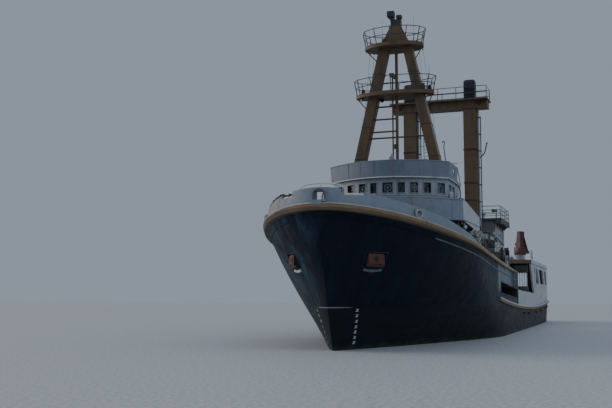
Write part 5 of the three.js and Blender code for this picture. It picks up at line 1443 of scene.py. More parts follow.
    def deck_gear(self) -> None:
        """Ventilators, store hatch with short posts at its ends, and coiled ropes on the fore deck."""
        dice = random.Random(11)
        vents, rope = Shape(), Shape()
        for side in Side:
            for vx, vy in ((20.8, 2.1), (17.6, 1.6)):
                vents.mushroom(vx, vy * side, HULL.floor(vx, vy * side))
            deck = HULL.floor(18.2, 3.3 * side)
            rope.coil((18.2, 3.3 * side, deck), 0.5, 6, 0.045, dice)
        deck = HULL.floor(19.2, 0)
        vents.chest((19.2, 0, deck - 0.02), 0.6, 0.6, deck + 0.5, bevel=0.03)
        for y in (-0.55, 0, 0.55):
            vents.post(18.5, y, deck + 0.46, deck + 0.64, 0.03, 6)
            vents.post(19.9, y, deck + 0.46, deck + 0.64, 0.03, 6)
        vents.finish("fore_deck_fittings", GREY)
        rope.finish("fore_deck_coils", ROPE)

    def rope_heap(self) -> None:
        """Heap of pale netting and rope on the deck edge abreast of the bridge."""
        dice = random.Random(5)
        net, rope = Shape(), Shape()
        for side in Side:
            x, y = self.heap[0], self.heap[1] * side
            deck = HULL.floor(x, y)
            for _ in range(9):
                net.ball((x + dice.uniform(-0.9, 0.9), y + dice.uniform(-0.25, 0.2) * side,
                    deck + dice.uniform(0.2, 0.95)), dice.uniform(0.3, 0.42), (1.2, 0.9, 0.9), 7)
            for _ in range(44):
                tilt = (dice.uniform(-1, 1), dice.uniform(-1, 1), dice.uniform(0, 0.8))
                middle = Vector((x + dice.uniform(-0.95, 0.95), y + dice.uniform(-0.15, 0.35) * side,
                    deck + dice.uniform(0.5, 1.25)))
                rope.loop(middle, dice.uniform(0.14, 0.3), tilt, 10, 0.045)
        net.finish("side_heap_net", HEAP_DARK)
        rope.finish("side_heap_rope", PALE_ROPE)


def bow_curve(y: float, corner: float, crown: float, half: float) -> float:
    """Distance forward of a curved front at a distance y to port."""
    return corner + (crown - corner) * (1 - (y / half) ** 2)


def front_line(ys: Sequence[float], z: float, corner: float, crown: float, half: float) -> list[Vector]:
    """Points along a curved front at one height."""
    return [Vector((bow_curve(y, corner, crown, half), y, z)) for y in ys]


@dataclass(frozen=True)
class Bridge:
    """Bridge deck with its screens, and the deckhouse under it."""

    half: float = 5.0
    corner: float = 13.2
    crown: float = 16.4
    screen_aft: float = 6.4
    house_half: float = 3.9
    house_aft: float = 1.6

    def build(self) -> None:
        """Skins the bridge deck and the deckhouse and adds their trim."""
        # The front takes blue-grey as painted shade beside the white side screens.
        skin("bridge_deck", (GREY, UNDERSIDE, DECK_STEEL, WHITE), self.region)
        skin("lower_deckhouse", CABIN_WHITE)
        self.screen_trim()
        self.underside_frames()
        self.deck_rails()
        self.house_trim()
        self.doors()
        self.rafts()

    def region(self, middle: Vector, normal: Vector) -> int:
        """Finish number of a face: 1 under the deck, 2 on it, 3 on the side screens and 0 on the front,
        whose blue-grey beside the white side screens is painted shade.
        """
        if normal.z < -0.5:
            return 1
        if abs(normal.y) > 0.9 and abs(middle.y) > self.half - 0.05:
            return 3
        inside = abs(middle.y) < self.half - 0.1 and middle.z < BRIDGE_DECK + 0.05
        return 2 if normal.z > 0.6 and inside else 0

    def screen_top(self, x: float) -> float:
        """Height of the side screen's sloping edge."""
        return SCREEN_TOP - 2.3 * (12.2 - x) / 22.2

    def screen_trim(self) -> None:
        """Capping and seams of the front and side screens, with their inner brackets."""
        shape = Shape()
        ys = steps(-self.half + 0.02, self.half - 0.02, 29)
        shape.sweep(front_line(ys, SCREEN_TOP + 0.01, self.corner, self.crown - 0.07, self.half), 0.055, 8)
        for side in Side:
            y = (self.half - 0.07) * side
            shape.sweep([(x, y, self.screen_top(x) + 0.01) for x in (12.9, 12.2, 9, self.screen_aft)],
                0.055, 8)
            shape.post(self.screen_aft, y, BRIDGE_DECK, self.screen_top(self.screen_aft), 0.05)
            for x in (7.6, 8.9, 10.2, 11.5, 12.7):
                shape.box((x - 0.02, y, BRIDGE_DECK),
                    (x + 0.02, y - 0.26 * side, self.screen_top(x) - 0.08))
            shape.sweep([(x, (self.half + 0.01) * side, BRIDGE_DECK - 0.1) for x in (13.1, 10.0, 6.5)],
                0.03)
        for y in steps(-4.4, 4.4, 9):
            x = bow_curve(y, self.corner, self.crown, self.half)
            shape.sweep([(x + 0.004, y, 6.3), (x + 0.004, y, SCREEN_TOP - 0.04)], 0.012, 5)
        shape.finish("bridge_screen_trim", GREY)

    def underside_frames(self) -> None:
        """Frames, edge beam and lamp under the overhang of the bridge deck."""
        shape, lamp = Shape(), Shape()
        for side in Side:
            low, high = 4.0 * side, 4.84 * side
            for x in steps(6.9, 12.3, 11):
                shape.box((x - 0.02, low, BRIDGE_DECK - 0.32), (x + 0.02, high, BRIDGE_DECK - 0.16))
                knee = [(x, 3.92 * side, 7.1), (x, 3.92 * side, 7.68), (x, 4.8 * side, 7.68)]
                shape.plate([(px, py, pz) for px, py, pz in knee], (0.025, 0, 0))
            edge = (4.78 * side, 4.83 * side)
            shape.box((6.5, edge[0], BRIDGE_DECK - 0.36), (13.0, edge[1], BRIDGE_DECK - 0.16))
            for y in (4.25, 4.45, 4.65):
                x = bow_curve(y, self.corner, self.crown, self.half) - 0.3
                shape.box((x - 0.5, y * side - 0.015, BRIDGE_DECK - 0.45),
                    (x, y * side + 0.015, BRIDGE_DECK - 0.16))
            lamp.post(12.0, 4.88 * side, BRIDGE_DECK - 0.16, 7.6, 0.03, 6)
            lamp.ball((12.0, 4.88 * side, 7.48), 0.15)
        shape.finish("bridge_deck_frames", UNDERSIDE)
        lamp.finish("underdeck_lamps", MARK_WHITE)

    def deck_rails(self) -> None:
        """Rails and ladders at the after end of the bridge deck, and its boxes and lockers."""
        shape, boxes = Shape(), Shape()
        for side in Side:
            y = (self.house_half - 0.05) * side
            shape.rail([(x, y, BRIDGE_DECK) for x in (5.6, 4.5, 3.4, 2.3, 1.35)])
            shape.ladder((0.7, 2.6 * side, sheer(0.7)), (1.15, 2.6 * side, 8.9), (0, 1, 0), 0.55)
            boxes.chest((3, 1.2 * side, BRIDGE_DECK), 0.6, 0.45, BRIDGE_DECK + 0.6, 0.06, 0.03)
            boxes.mushroom(6.6, 2.6 * side, BRIDGE_DECK, 0.24, 0.85)
            boxes.mushroom(5.2, 0.8 * side, BRIDGE_DECK, 0.2, 0.6)
        shape.rail([(1.3, y, BRIDGE_DECK) for y in (-1.9, -0.7, 0.7, 1.9)])
        shape.finish("bridge_deck_rails", RAIL_WHITE)
        boxes.finish("bridge_deck_lockers", GREY)

    def house_trim(self) -> None:
        """Portholes, drip rails, pipes and lamps on the lower deckhouse."""
        ports, pipes = Shape(), Shape()
        for side in Side:
            y = self.house_half * side
            for x in (11.2, 9.6, 8, 2.6):
                ports.porthole((x, y, 7.05), (0, side, 0))
            pipes.sweep([(12.5, y + 0.06 * side, 7.62), (1.7, y + 0.06 * side, 7.62)], 0.035)
            for x in (12.3, 6.4, 5.2, 1.9):
                pipes.sweep([(x, y + 0.05 * side, 7.6), (x, y + 0.05 * side, sheer(x) + 0.1)], 0.03)
            pipes.box((4.42, y, 7.36), (4.74, y + 0.16 * side, 7.52), 0.03)
            pipes.box((3.3, y, 7.36), (4.38, y + 0.1 * side, 7.39))
        for y in (-2.6, -0.9, 0.9, 2.6):
            ports.porthole((self.house_aft, y, 6.9), (-1, 0, 0))
        ports.finish("deckhouse_portholes", (BRASS, GLASS))
        pipes.finish("deckhouse_pipes", CABIN_WHITE)

    def doors(self) -> None:
        """Skins of the four bridge and deckhouse doors, with their dogs and stiffeners."""
        for side in Side:
            doors = ((f"deckhouse_door_{side.word}", GREY, 3.6, 4.36, self.house_half, 5.35, 7.1),
                (f"wheelhouse_door_{side.word}", CABIN_WHITE, 9.36, 10.06, 3.95, 8.2, 9.2))
            for node, finish, x0, x1, half, low, high in doors:
                skin(node, finish)
                shape = Shape()
                y = (half - 0.015) * side
                for x in (x0 + 0.1, x1 - 0.12):
                    for z in steps(low + 0.2, high - 0.15, 3):
                        shape.rod((x, y, z), (x, y + 0.03 * side, z), 0.03)
                        shape.box((x - 0.015, y, z - 0.1), (x + 0.015, y + 0.04 * side, z + 0.02), 0.008)
                shape.finish(f"{node}_dogs", GEAR, body_of(node))

    def rafts(self) -> None:
        """Skins of the raft canisters, with their bands and lashings."""
        for side in Side:
            node = f"life_raft_{side.word}"
            skin(node, WHITE)
            shape = Shape()
            y, z = 4.75 * side, sheer(6.8) + 0.71
            for x in (6.3, 6.8, 7.3):
                shape.ring((x, y, z), 0.375, (0, 1, 0), (0, 0, 1), 20, 0.02)
            for x in (6.05, 7.55):
                shape.lathe([(0, 0), (0.2, 0), (0.17, 0.06), (0, 0.08)], (x, y, z), 16,
                    (-1 if x < 6.8 else 1, 0, 0))
            shape.finish(f"{node}_bands", GEAR)


@dataclass(frozen=True)
class Wheelhouse:
    """Walls, windows and roof of the wheelhouse, and what shows through its glass."""

    corner: float = 13.0
    crown: float = 14.9
    half: float = 3.95
    aft: float = 8.7
    windows: tuple[tuple[float, float], ...] = ((-3.3, 0.24), (-2.4, 0.27), (-1.45, 0.27), (-0.62, 0.25),
        (0.34, 0.37), (1.22, 0.25), (2.01, 0.25), (2.78, 0.24), (3.59, 0.22))
    side_windows: tuple[tuple[float, float], ...] = ((11.7, 12.6), (10.5, 11.4))
    clear_views: tuple[int, ...] = (2, 4, 6)

    def build(self) -> None:
        """Skins the wheelhouse and adds trim, fittings and furniture."""
        skin("wheelhouse_walls", CABIN_WHITE)
        skin("wheelhouse_glass", GLASS)
        skin("wheelhouse_roof", (VISOR_GREY, DECK_STEEL), self.roof_region)
        skin("roof_ventilator", GREY)
        self.window_frames()
        self.clear_view_screens()
        self.visor_trim()
        self.roof_gear()
        self.furniture()
        self.wing_gear()

    def roof_region(self, middle: Vector, normal: Vector) -> int:
        """Finish number of a face: 1 on the roof itself and 0 on the visor."""
        return 1 if normal.z > 0.6 and middle.z < ROOF_TOP + 0.05 else 0

    def front(self, y: float) -> float:
        """Distance forward of the front wall's outer face."""
        return bow_curve(y, self.corner, self.crown, self.half)

    def window_frames(self) -> None:
        """Gasket and raised frame round every window."""
        shape = Shape()
        ends = [((self.front(y - w) + 0.008, y - w), (self.front(y + w) + 0.008, y + w))
            for y, w in self.windows]
        for side in Side:
            y = (self.half + 0.008) * side
            ends += [((a, y), (b, y)) for a, b in self.side_windows]
            ends.append(((self.aft - 0.008, 1.2 * side), (self.aft - 0.008, 2.6 * side)))
        for a, b in ends:
            corners = [(*a, WINDOW_SILL), (*b, WINDOW_SILL), (*b, WINDOW_HEAD), (*a, WINDOW_HEAD)]
            shape.sweep(corners, 0.028, closed=True)
        level = WINDOW_SILL - 0.14
        shape.sweep(front_line(steps(-3.9, 3.9, 25), level, self.corner, self.crown + 0.01, self.half),
            0.025)
        for side in Side:
            y = (self.half + 0.01) * side
            shape.sweep([(12.9, y, level), (10.2, y, level)], 0.025)
        shape.finish("window_frames", CABIN_WHITE)

    def clear_view_screens(self) -> None:
        """Round spinning screens in three windows and wipers on the others."""
        rims, panes, wipers, blind = Shape(), Shape(), Shape(), Shape()
        y, w = self.windows[-1]
        blind.plate([(self.front(y - w) - 0.16, y - w, WINDOW_SILL),
            (self.front(y + w) - 0.16, y + w, WINDOW_SILL), (self.front(y + w) - 0.16, y + w, WINDOW_HEAD),
            (self.front(y - w) - 0.16, y - w, WINDOW_HEAD)], (-0.02, 0, 0))
        blind.finish("window_blind", PALE_BLUE)
        middle = (WINDOW_SILL + WINDOW_HEAD) / 2
        for number, (y, w) in enumerate(self.windows):
            slope = (self.front(y + 0.1) - self.front(y - 0.1)) / 0.2
            out = Vector((1, -slope, 0)).normalized()
            along = Vector((slope, 1, 0)).normalized()
            place = Vector((self.front(y) - 0.1, y, middle))
            if number in self.clear_views:
                radius = min(w - 0.05, 0.24)
                rims.ring(place, radius, along, (0, 0, 1), 20, 0.014)
                rims.rod(place - out * 0.03, place + out * 0.04, 0.045, 10)
                rims.rod(place, place + rise_by(-0.34), 0.014, 5)
                panes.lathe([(0, 0), (radius, 0), (radius, 0.01), (0, 0.012)], place, 20, out)
            elif number:
                pivot = place + rise_by(0.33) + along * w * 0.5
                tip = place + rise_by(-0.22) - along * w * 0.3
                wipers.rod(pivot, tip, 0.012, 5)
                wipers.rod(tip - rise_by(0.1), tip + rise_by(0.3), 0.016, 5)
                wipers.rod(pivot - out * 0.05, pivot + out * 0.08, 0.03)
        rims.finish("clear_view_rims", GREY_LIGHT)
        panes.finish("clear_view_panes", GLASS)
        wipers.finish("window_wipers", RUBBER)

    def visor_trim(self) -> None:
        """Pale bead along the visor's foot, its top edge, seams and the rods at its ends."""
        shape = Shape()
        ys = steps(-4.06, 4.06, 29)
        foot = front_line(ys, ROOF_LEVEL + 0.02, self.corner + 0.15, self.crown + 0.31, self.half + 0.145)
        sides = [[(13.1, 4.09 * s, ROOF_LEVEL + 0.02), (8.7, 4.09 * s, ROOF_LEVEL + 0.02)] for s in Side]
        for line in (foot, *sides):
            shape.sweep(line, 0.04, 8)
        shape.part = 1
        head = front_line(steps(-4.1, 4.1, 29), VISOR_TOP, self.corner + 0.22, self.crown + 0.42,
            self.half + 0.2)
        shape.sweep(head, 0.04, 8)
        for side in Side:
            shape.sweep([(13.15, 4.12 * side, VISOR_TOP), (10.25, 4.12 * side, VISOR_TOP)], 0.04, 8)
            shape.rod((12.2, 4.1 * side, VISOR_TOP + 0.02), (12.2, 4.5 * side, VISOR_TOP + 0.02), 0.025, 6)
            shape.sweep([(10.3, 4.14 * side, VISOR_TOP), (9.2, 4.12 * side, ROOF_LEVEL + 0.25)], 0.03)
        for y in steps(-3.4, 3.4, 8):
            low = front_line([y], ROOF_LEVEL + 0.08, self.corner + 0.15, self.crown + 0.302,
                self.half + 0.13)[0]
            high = front_line([y], VISOR_TOP - 0.04, self.corner + 0.23, self.crown + 0.462,
                self.half + 0.2)[0]
            shape.sweep([low, high], 0.009, 5)
        shape.part = 2
        for side in Side:
            near, far = 3.80 * side, 3.84 * side
            shape.box((11.0, near, 10.95), (12.1, far, 11.6))
        shape.finish("visor_trim", (MARK_WHITE, VISOR_GREY, LAMP_BLACK))

    def roof_gear(self) -> None:
        """Searchlights, loudhailer, compass and side lights on the wheelhouse roof."""
        lamps, gear = Shape(), Shape()
        for side in Side:
            foot = Vector((13.2, 1.9 * side, ROOF_TOP))
            gear.rod(foot, foot + rise_by(0.75), 0.05)
            lamps.part = 0
            lamps.lathe([(0, -0.2), (0.1, -0.2), (0.17, -0.05), (0.19, 0.12), (0, 0.12)],
                foot + rise_by(0.9), 18, (1, 0, 0.05))
            lamps.part = 1
            lamps.lathe([(0, 0.12), (0.17, 0.12), (0.16, 0.14), (0, 0.16)], foot + rise_by(0.9), 18,
                (1, 0, 0.05))
            lamps.part = 0
            x, y = 9.1, 3.7 * side
            lamps.box((x - 0.25, y, 10.86), (x + 0.1, y + 0.04 * side, 11.08), 0.01)
            lamps.part = 2 if side is Side.PORT else 3
            lamps.lathe([(0, 0), (0.05, 0), (0.05, 0.1), (0, 0.13)], (x, y + 0.12 * side, 10.87), 14)
        gear.lathe([(0, 0), (0.2, 0), (0.16, 0.1), (0.14, 0.7), (0.24, 0.78), (0.2, 0.95), (0, 1.02)],
            (11.6, -1.2, ROOF_TOP), 18)
        gear.lathe([(0, 0), (0.06, 0), (0.09, 0.12), (0.2, 0.32), (0, 0.3)], (13.0, -0.6, ROOF_TOP + 0.5),
            16, (1, 0, 0))
        gear.post(13.0, -0.6, ROOF_TOP, ROOF_TOP + 0.5, 0.03, 6)
        gear.box((9.2, -1.2, ROOF_TOP), (10.0, -0.2, ROOF_TOP + 0.4), 0.03)
        for y in (-3.6, 3.6):
            gear.rail([(8.8, y, ROOF_TOP), (8.8, y * 0.35, ROOF_TOP)], 0.8)
        gear.mushroom(12.0, -0.1, ROOF_TOP, 0.22, 12.62 - ROOF_TOP)
        gear.box((10.2, 1.66, 12.22), (10.6, 2.1, 12.46), 0.03)
        gear.post(10.4, 1.9, ROOF_TOP, 12.25, 0.04, 6)
        lamps.finish("roof_lamps", (GEAR, LENS, LAMP_RED, LAMP_GREEN))
        gear.finish("roof_gear", GREY)

    def furniture(self) -> None:
        """Console, helm, chairs, chart table and ceiling rail inside."""
        desk, seats = Shape(), Shape()
        floor = BRIDGE_DECK + 0.03
        desk.box((12.3, -3, floor), (13, 3, 9.1), 0.04)
        desk.box((12.1, -2.8, 9.1), (12.9, 2.8, 9.18), 0.02)
        for y in (-2.2, -1.1, 0, 1.1, 2.2):
            desk.box((12.5, y - 0.3, 9.18), (12.85, y + 0.3, 9.42), 0.03)
        desk.box((9, -3.5, floor), (10.2, -1, 9), 0.03)
        helm = Vector((11.9, 0.34, 9.25))
        desk.ring(helm, 0.32, (0, 1, 0), (0.25, 0, 0.97), 20, 0.025)
        for a in (0, math.pi / 3, math.tau / 3):
            reach = Vector((0.25 * math.sin(a), math.cos(a), 0.97 * math.sin(a))) * 0.32
            desk.rod(helm - reach, helm + reach, 0.014, 5)
        rail = ((12.4, -3.2), (13.4, -1.6), (13.8, 0), (13.4, 1.6), (12.4, 3.2))
        desk.sweep([(x, y, 10.45) for x, y in rail], 0.03)
        for y in (-1.5, 1.9):
            seats.post(11.3, y, floor, 8.6, 0.07, 10)
            seats.box((11.05, y - 0.28, 8.6), (11.6, y + 0.28, 8.74), 0.05)
            seats.box((10.98, y - 0.27, 8.7), (11.1, y + 0.27, 9.5), 0.05)
        desk.finish("bridge_furniture", FURNITURE)
        seats.finish("bridge_chairs", RUBBER)

    def wing_gear(self) -> None:
        """Curved lamp brackets, life rings and a hand rail on the wings of the bridge."""
        arms, rings, cases = Shape(), Shape(), Shape()
        for side in Side:
            y = 4.86 * side
            bends = ((0.06, 9.2), (0.06, 9.8), (0.12, 10.05), (0.28, 10.25))
            arms.sweep([(13.1, y - inward * side, z) for inward, z in bends], 0.045)
            arms.rod((13.1, y - 0.28 * side, 9.3), (13, y + 0.1 * side, 9.3), 0.035, 6)
            cases.box((12.35, 3.99 * side, 9), (12.6, 4.22 * side, 9.85), 0.03)
            arms.post(12.62, 4.3 * side, 9.1, 9.9, 0.03, 6)
            arms.rod((7.3, y + 0.08 * side, 8.72), (7.9, y + 0.08 * side, 8.8), 0.03, 6)
            arms.sweep([(12.7, 4.03 * side, 9.2), (10.3, 4.03 * side, 9.2)], 0.02)
            rings.life_ring((11.05, 3.96 * side, 8.75), (0, side, 0))
            rings.life_ring((4, 3.86 * side, 8.62), (0, side, 0), 0.28)
        arms.finish("wing_brackets", RAIL_DARK)
        cases.finish("wing_lamp_cases", MARK_WHITE)
        rings.finish("life_rings", (LIFE_ORANGE, MARK_WHITE))


@dataclass(frozen=True)
class Mast:
    """Bipod mast with its platforms, lamps, ladder and halyards."""

    foot_y: float = 3.05
    head_y: float = 0.86
    foot_z: float = ROOF_TOP
    head_z: float = 20.5
    lamp_floor: float = 22.3

    def build(self) -> None:
        """Skins the mast and its platforms and adds their fittings."""
        # The outboard sides of the legs take a paler buff as painted light.
        skin("bipod_mast", (MAST_BUFF, LAMP_BLACK, MAST_LIT_SIDE), self.region)
        for node, floor in (("crows_nest", CROWS_NEST), ("mid_platform", MID_PLATFORM)):
            skin(node, (MAST_BUFF, RAIL_DARK), lambda middle, _, z=floor: int(middle.z > z + 0.02))
        self.ladders()
        self.lamps()
        self.seams()
        self.rigging()

    def leg_y(self, z: float) -> float:
        """Distance of a leg's middle from the centre line at a height."""
        return lerp(self.foot_y, self.head_y, (z - self.foot_z) / (self.head_z - self.foot_z))

    def region(self, middle: Vector, normal: Vector) -> int:
        """Finish number of a face: 1 on the lamp head, 2 on the outboard sides of the legs, paler as
        painted light, 0 elsewhere.
        """
        if middle.z > self.lamp_floor:
            return 1
        outboard = abs(normal.y) > 0.7 and middle.z < CROWS_NEST - 0.2 and normal.z > -0.1
        return 2 if outboard and normal.y * middle.y > 0 else 0

    def ladders(self) -> None:
        """Ladder up the after side of the port leg, with its brackets."""
        shape = Shape()
        x = MAST_X - 0.72
        foot = (x, self.leg_y(11.0) - 0.1, 11.0)
        head = (x, self.leg_y(20.3) - 0.1, 20.3)
        shape.ladder(foot, head, (0, 1, 0), 0.42, 0.33)
        for z in steps(11.6, 19.8, 6):
            y = self.leg_y(z) - 0.1
            for dy in (-0.21, 0.21):
                shape.rod((x, y + dy, z), (MAST_X - 0.4, y + dy, z), 0.02, 5)
        shape.ladder((MAST_X - 0.36, 0, 20.8), (MAST_X - 0.36, 0, 22.2), (0, 1, 0), 0.34, 0.28)
        shape.finish("mast_ladders", MAST_BUFF)

    def lamps(self) -> None:
        """Floodlights, lamp boxes, masthead lamps and the aerials on the platforms."""
        floods, boxes = Shape(), Shape()
        for y, z, aim in ((-2.5, 16.9, (0.7, -0.4, -0.6)), (2.2, 16.9, (0.7, 0.4, -0.6)),
                (-1.2, 16.9, (-0.8, 0, -0.6))):
            x = MAST_X + (0.35 if aim[0] > 0 else -0.5)
            floods.floodlight((x, y, z), aim, 0.18)
        for x, y, floor, size in ((11.1, -2.35, MID_PLATFORM, 0.12), (11.2, 2, MID_PLATFORM, 0.15),
                (11.3, -0.75, CROWS_NEST, 0.13), (10.6, 2.35, MID_PLATFORM, 0.14)):
            boxes.block(x, y, size, size, floor, floor + size * 2.2, 0.03)
            boxes.lathe([(0, 0), (size * 0.8, 0), (size * 0.9, size * 0.6), (0, size)],
                (x, y, floor + size * 2.2), 14)
        for z in (13.2, 18.2):
            boxes.rod((MAST_X + 0.1, 0, z), (MAST_X + 0.55, 0, z), 0.03, 6)
            boxes.lathe([(0, 0), (0.11, 0), (0.11, 0.05), (0.09, 0.07), (0.09, 0.25), (0.11, 0.27),
                (0, 0.33)], (MAST_X + 0.6, 0, z), 14)
        for x, y, floor, top in ((MAST_X - 0.7, -1.2, CROWS_NEST, 22.9),
                (MAST_X - 0.8, 1.1, CROWS_NEST, 23.1), (MAST_X - 0.7, 2.2, MID_PLATFORM, 19.4)):
            boxes.post(x, y, floor, floor + 0.3, 0.035)
            boxes.rod((x, y, floor + 0.3), (x, y, top), 0.014, 5, 0.006)
        hook = [(10.7, 3.42, ROOF_TOP), (10.7, 3.42, 12.2), (10.7, 3.3, 13.2), (10.7, 3.36, 13.55),
            (10.7, 3.26, 13.62), (10.7, 3.2, 13.5)]
        boxes.sweep(hook, 0.03)
        floods.finish("mast_floodlights", (GEAR, LENS))
        boxes.finish("mast_lamp_boxes", LAMP_BLACK)

    def seams(self) -> None:
        """Plate edges, cable runs and doubling bands of the legs."""
        shape = Shape()
        for sign in (-1, 1):
            for z in (12.6, 14.9, 16.9, 18.7):
                y, half, deep = sign * self.leg_y(z), 0.372, 0.462
                corners = ((-deep, -half), (deep, -half), (deep, half), (-deep, half))
                points = [(MAST_X + dx, y + dy, z) for dx, dy in corners]
                shape.sweep(points, 0.014, 5, closed=True)
            run = [(MAST_X + 0.3, sign * (self.leg_y(z) - 0.37), z) for z in (11.0, 14.0, 17.0)]
            shape.sweep(run, 0.022, 5)
            for z in steps(11.2, 16.8, 8):
                y = sign * (self.leg_y(z) - 0.36)
                shape.box((MAST_X + 0.24, y - 0.03, z - 0.02), (MAST_X + 0.36, y + 0.03, z + 0.02))
        shape.finish("mast_seams", MAST_BUFF)

    def rigging(self) -> None:
        """Signal halyards, with their blocks, from the crow's nest to the wheelhouse roof."""
        shape = Shape()
        for y in (-2.1, -1.8, 1.5, 1.8):
            top, foot = Vector((MAST_X - 0.6, y, CROWS_NEST - 0.24)), Vector((9.1, y * 1.6, ROOF_TOP + 0.1))
            shape.rod(top, foot, 0.009, 4)
            shape.ball(top - rise_by(0.06), 0.05, rings=5)
            shape.box((9.05, y * 1.6 - 0.02, ROOF_TOP), (9.15, y * 1.6 + 0.02, ROOF_TOP + 0.14), 0.005)
        shape.finish("signal_halyards", WIRE)


@dataclass(frozen=True)
class Gantry:
    """Exhaust posts, their beam and cowls, with pipes, ladders and blocks."""

    post_half: float = 0.54
    beam_foot: float = 19.13
    cowl_foot: float = 19.9

    def build(self) -> None:
        """Skins the gantry and adds what hangs on it."""
        for side in Side:
            skin(f"gantry_post_{side.word}", (MAST_BUFF, LAMP_BLACK), self.post_region)
            skin(f"exhaust_cowl_{side.word}", COWL, bevel=0.02)
        skin("gantry_beam", (MAST_BUFF, RAIL_DARK), lambda middle, _: int(middle.z > GANTRY_FLOOR + 0.02))
        self.pipes()
        self.ladders()
        self.beam_gear()
        self.louvres()

    def post_region(self, middle: Vector, _: Vector) -> int:
        """Finish number of a face: 1 on the bands round the posts."""
        x, y, _ = middle
        return int(abs(x - GANTRY_X) > 0.508 or abs(abs(y) - GANTRY_Y) > 0.548)

    def pipes(self) -> None:
        """Pipes clipped to the port side of each post, and the bent vent on the port one."""
        light, dark, brown = Shape(), Shape(), Shape()
        for side in Side:
            y = GANTRY_Y * side + self.post_half
            foot = HULL.floor(GANTRY_X + 0.1, y + 0.3)
            light.post(GANTRY_X - 0.1, y + 0.11, 8.9, self.beam_foot, 0.09, 10)
            brown.post(GANTRY_X - 0.1, y + 0.16, foot, 8.9, 0.11, 10)
            dark.post(GANTRY_X - 0.3, y + 0.27, foot, self.beam_foot - 0.6, 0.045)
            for z in steps(6.6, 18.4, 9):
                dark.box((GANTRY_X - 0.36, y, z - 0.03), (GANTRY_X, y + 0.33, z + 0.03), 0.01)
        y = GANTRY_Y + self.post_half + 0.27
        dark.sweep([(GANTRY_X - 0.3, y - 0.1, 14.87), (GANTRY_X - 0.3, 3.75, 15.24),
            (GANTRY_X - 0.3, 3.97, 16.08)], 0.05, 8)
        dark.ball((GANTRY_X - 0.3, 3.97, 16.12), 0.08, rings=6)
        brown.finish("gantry_brown_pipes", BUFF)
        light.finish("gantry_pale_pipes", PIPE_PALE)
        dark.finish("gantry_dark_pipes", RAIL_DARK)

    def ladders(self) -> None:
        """Ladders up the posts to the platform, and the hand rails at their heads."""
        shape = Shape()
        x = GANTRY_X - 0.35
        y = -GANTRY_Y + self.post_half + 0.75
        foot = HULL.floor(x, y)
        shape.ladder((x, y, foot), (x, y, self.beam_foot), (0, 1, 0), 0.42, 0.32)
        for z in steps(7, 18.0, 7):
            shape.rod((x, y - 0.21, z), (x, -GANTRY_Y + self.post_half, z), 0.02, 5)
        x, y = GANTRY_X - 0.72, GANTRY_Y
        shape.ladder((x, y, foot), (x, y, self.cowl_foot + 0.9), (0, 1, 0), 0.42, 0.32)
        for z in steps(7, 18.4, 7):
            for dy in (-0.21, 0.21):
                shape.rod((x, y + dy, z), (GANTRY_X - 0.5, y + dy, z), 0.02, 5)
        shape.finish("gantry_ladders", RAIL_DARK)

    def beam_gear(self) -> None:
        """Floodlights and stiffeners of the beam."""
        floods, ribs = Shape(), Shape()
        for y in (-3.6, -1.2, 1.2, 3.6):
            floods.floodlight((GANTRY_X - 0.7, y, self.beam_foot + 0.2), (-0.75, 0, -0.65), 0.28)
        for y in steps(-3.9, 3.9, 11):
            for x in (GANTRY_X + 0.6, GANTRY_X - 0.65):
                ribs.box((x, y - 0.02, self.beam_foot + 0.02), (x + 0.05, y + 0.02, 19.79))
        for side in Side:
            for x in (GANTRY_X - 0.95, GANTRY_X + 0.95):
                ribs.plate([(x, 4.1 * side, 19.78), (x, 3.4 * side, 19.78),
                    (GANTRY_X + 0.6 * (1 if x > GANTRY_X else -1), 3.4 * side, 19.3)], (0, 0.03, 0))
        floods.finish("gantry_floodlights", (GEAR, LENS))
        ribs.finish("gantry_ribs", MAST_BUFF)

    def louvres(self) -> None:
        """Ribs and mouths of the exhaust cowls."""
        shape = Shape()
        for side in Side:
            y = GANTRY_Y * side
            for z in steps(20.2, 20.95, 5):
                shape.box((GANTRY_X + 0.44, y - 0.42, z - 0.03), (GANTRY_X + 0.49, y + 0.42, z + 0.03),
                    0.012)
            shape.sweep([(GANTRY_X - 0.46, y - 0.5, 19.95), (GANTRY_X + 0.47, y - 0.5, 19.95),
                (GANTRY_X + 0.47, y + 0.5, 19.95), (GANTRY_X - 0.46, y + 0.5, 19.95)], 0.03, closed=True)
            for dy in (-0.24, 0.24):
                shape.lathe([(0, 0), (0.15, 0), (0.16, 0.3), (0.13, 0.31), (0.12, 0.1), (0, 0.1)],
                    (GANTRY_X - 0.27, y + dy, 21.4), 16, (-0.95, 0, 0.3))
        shape.finish("cowl_louvres", LAMP_BLACK)


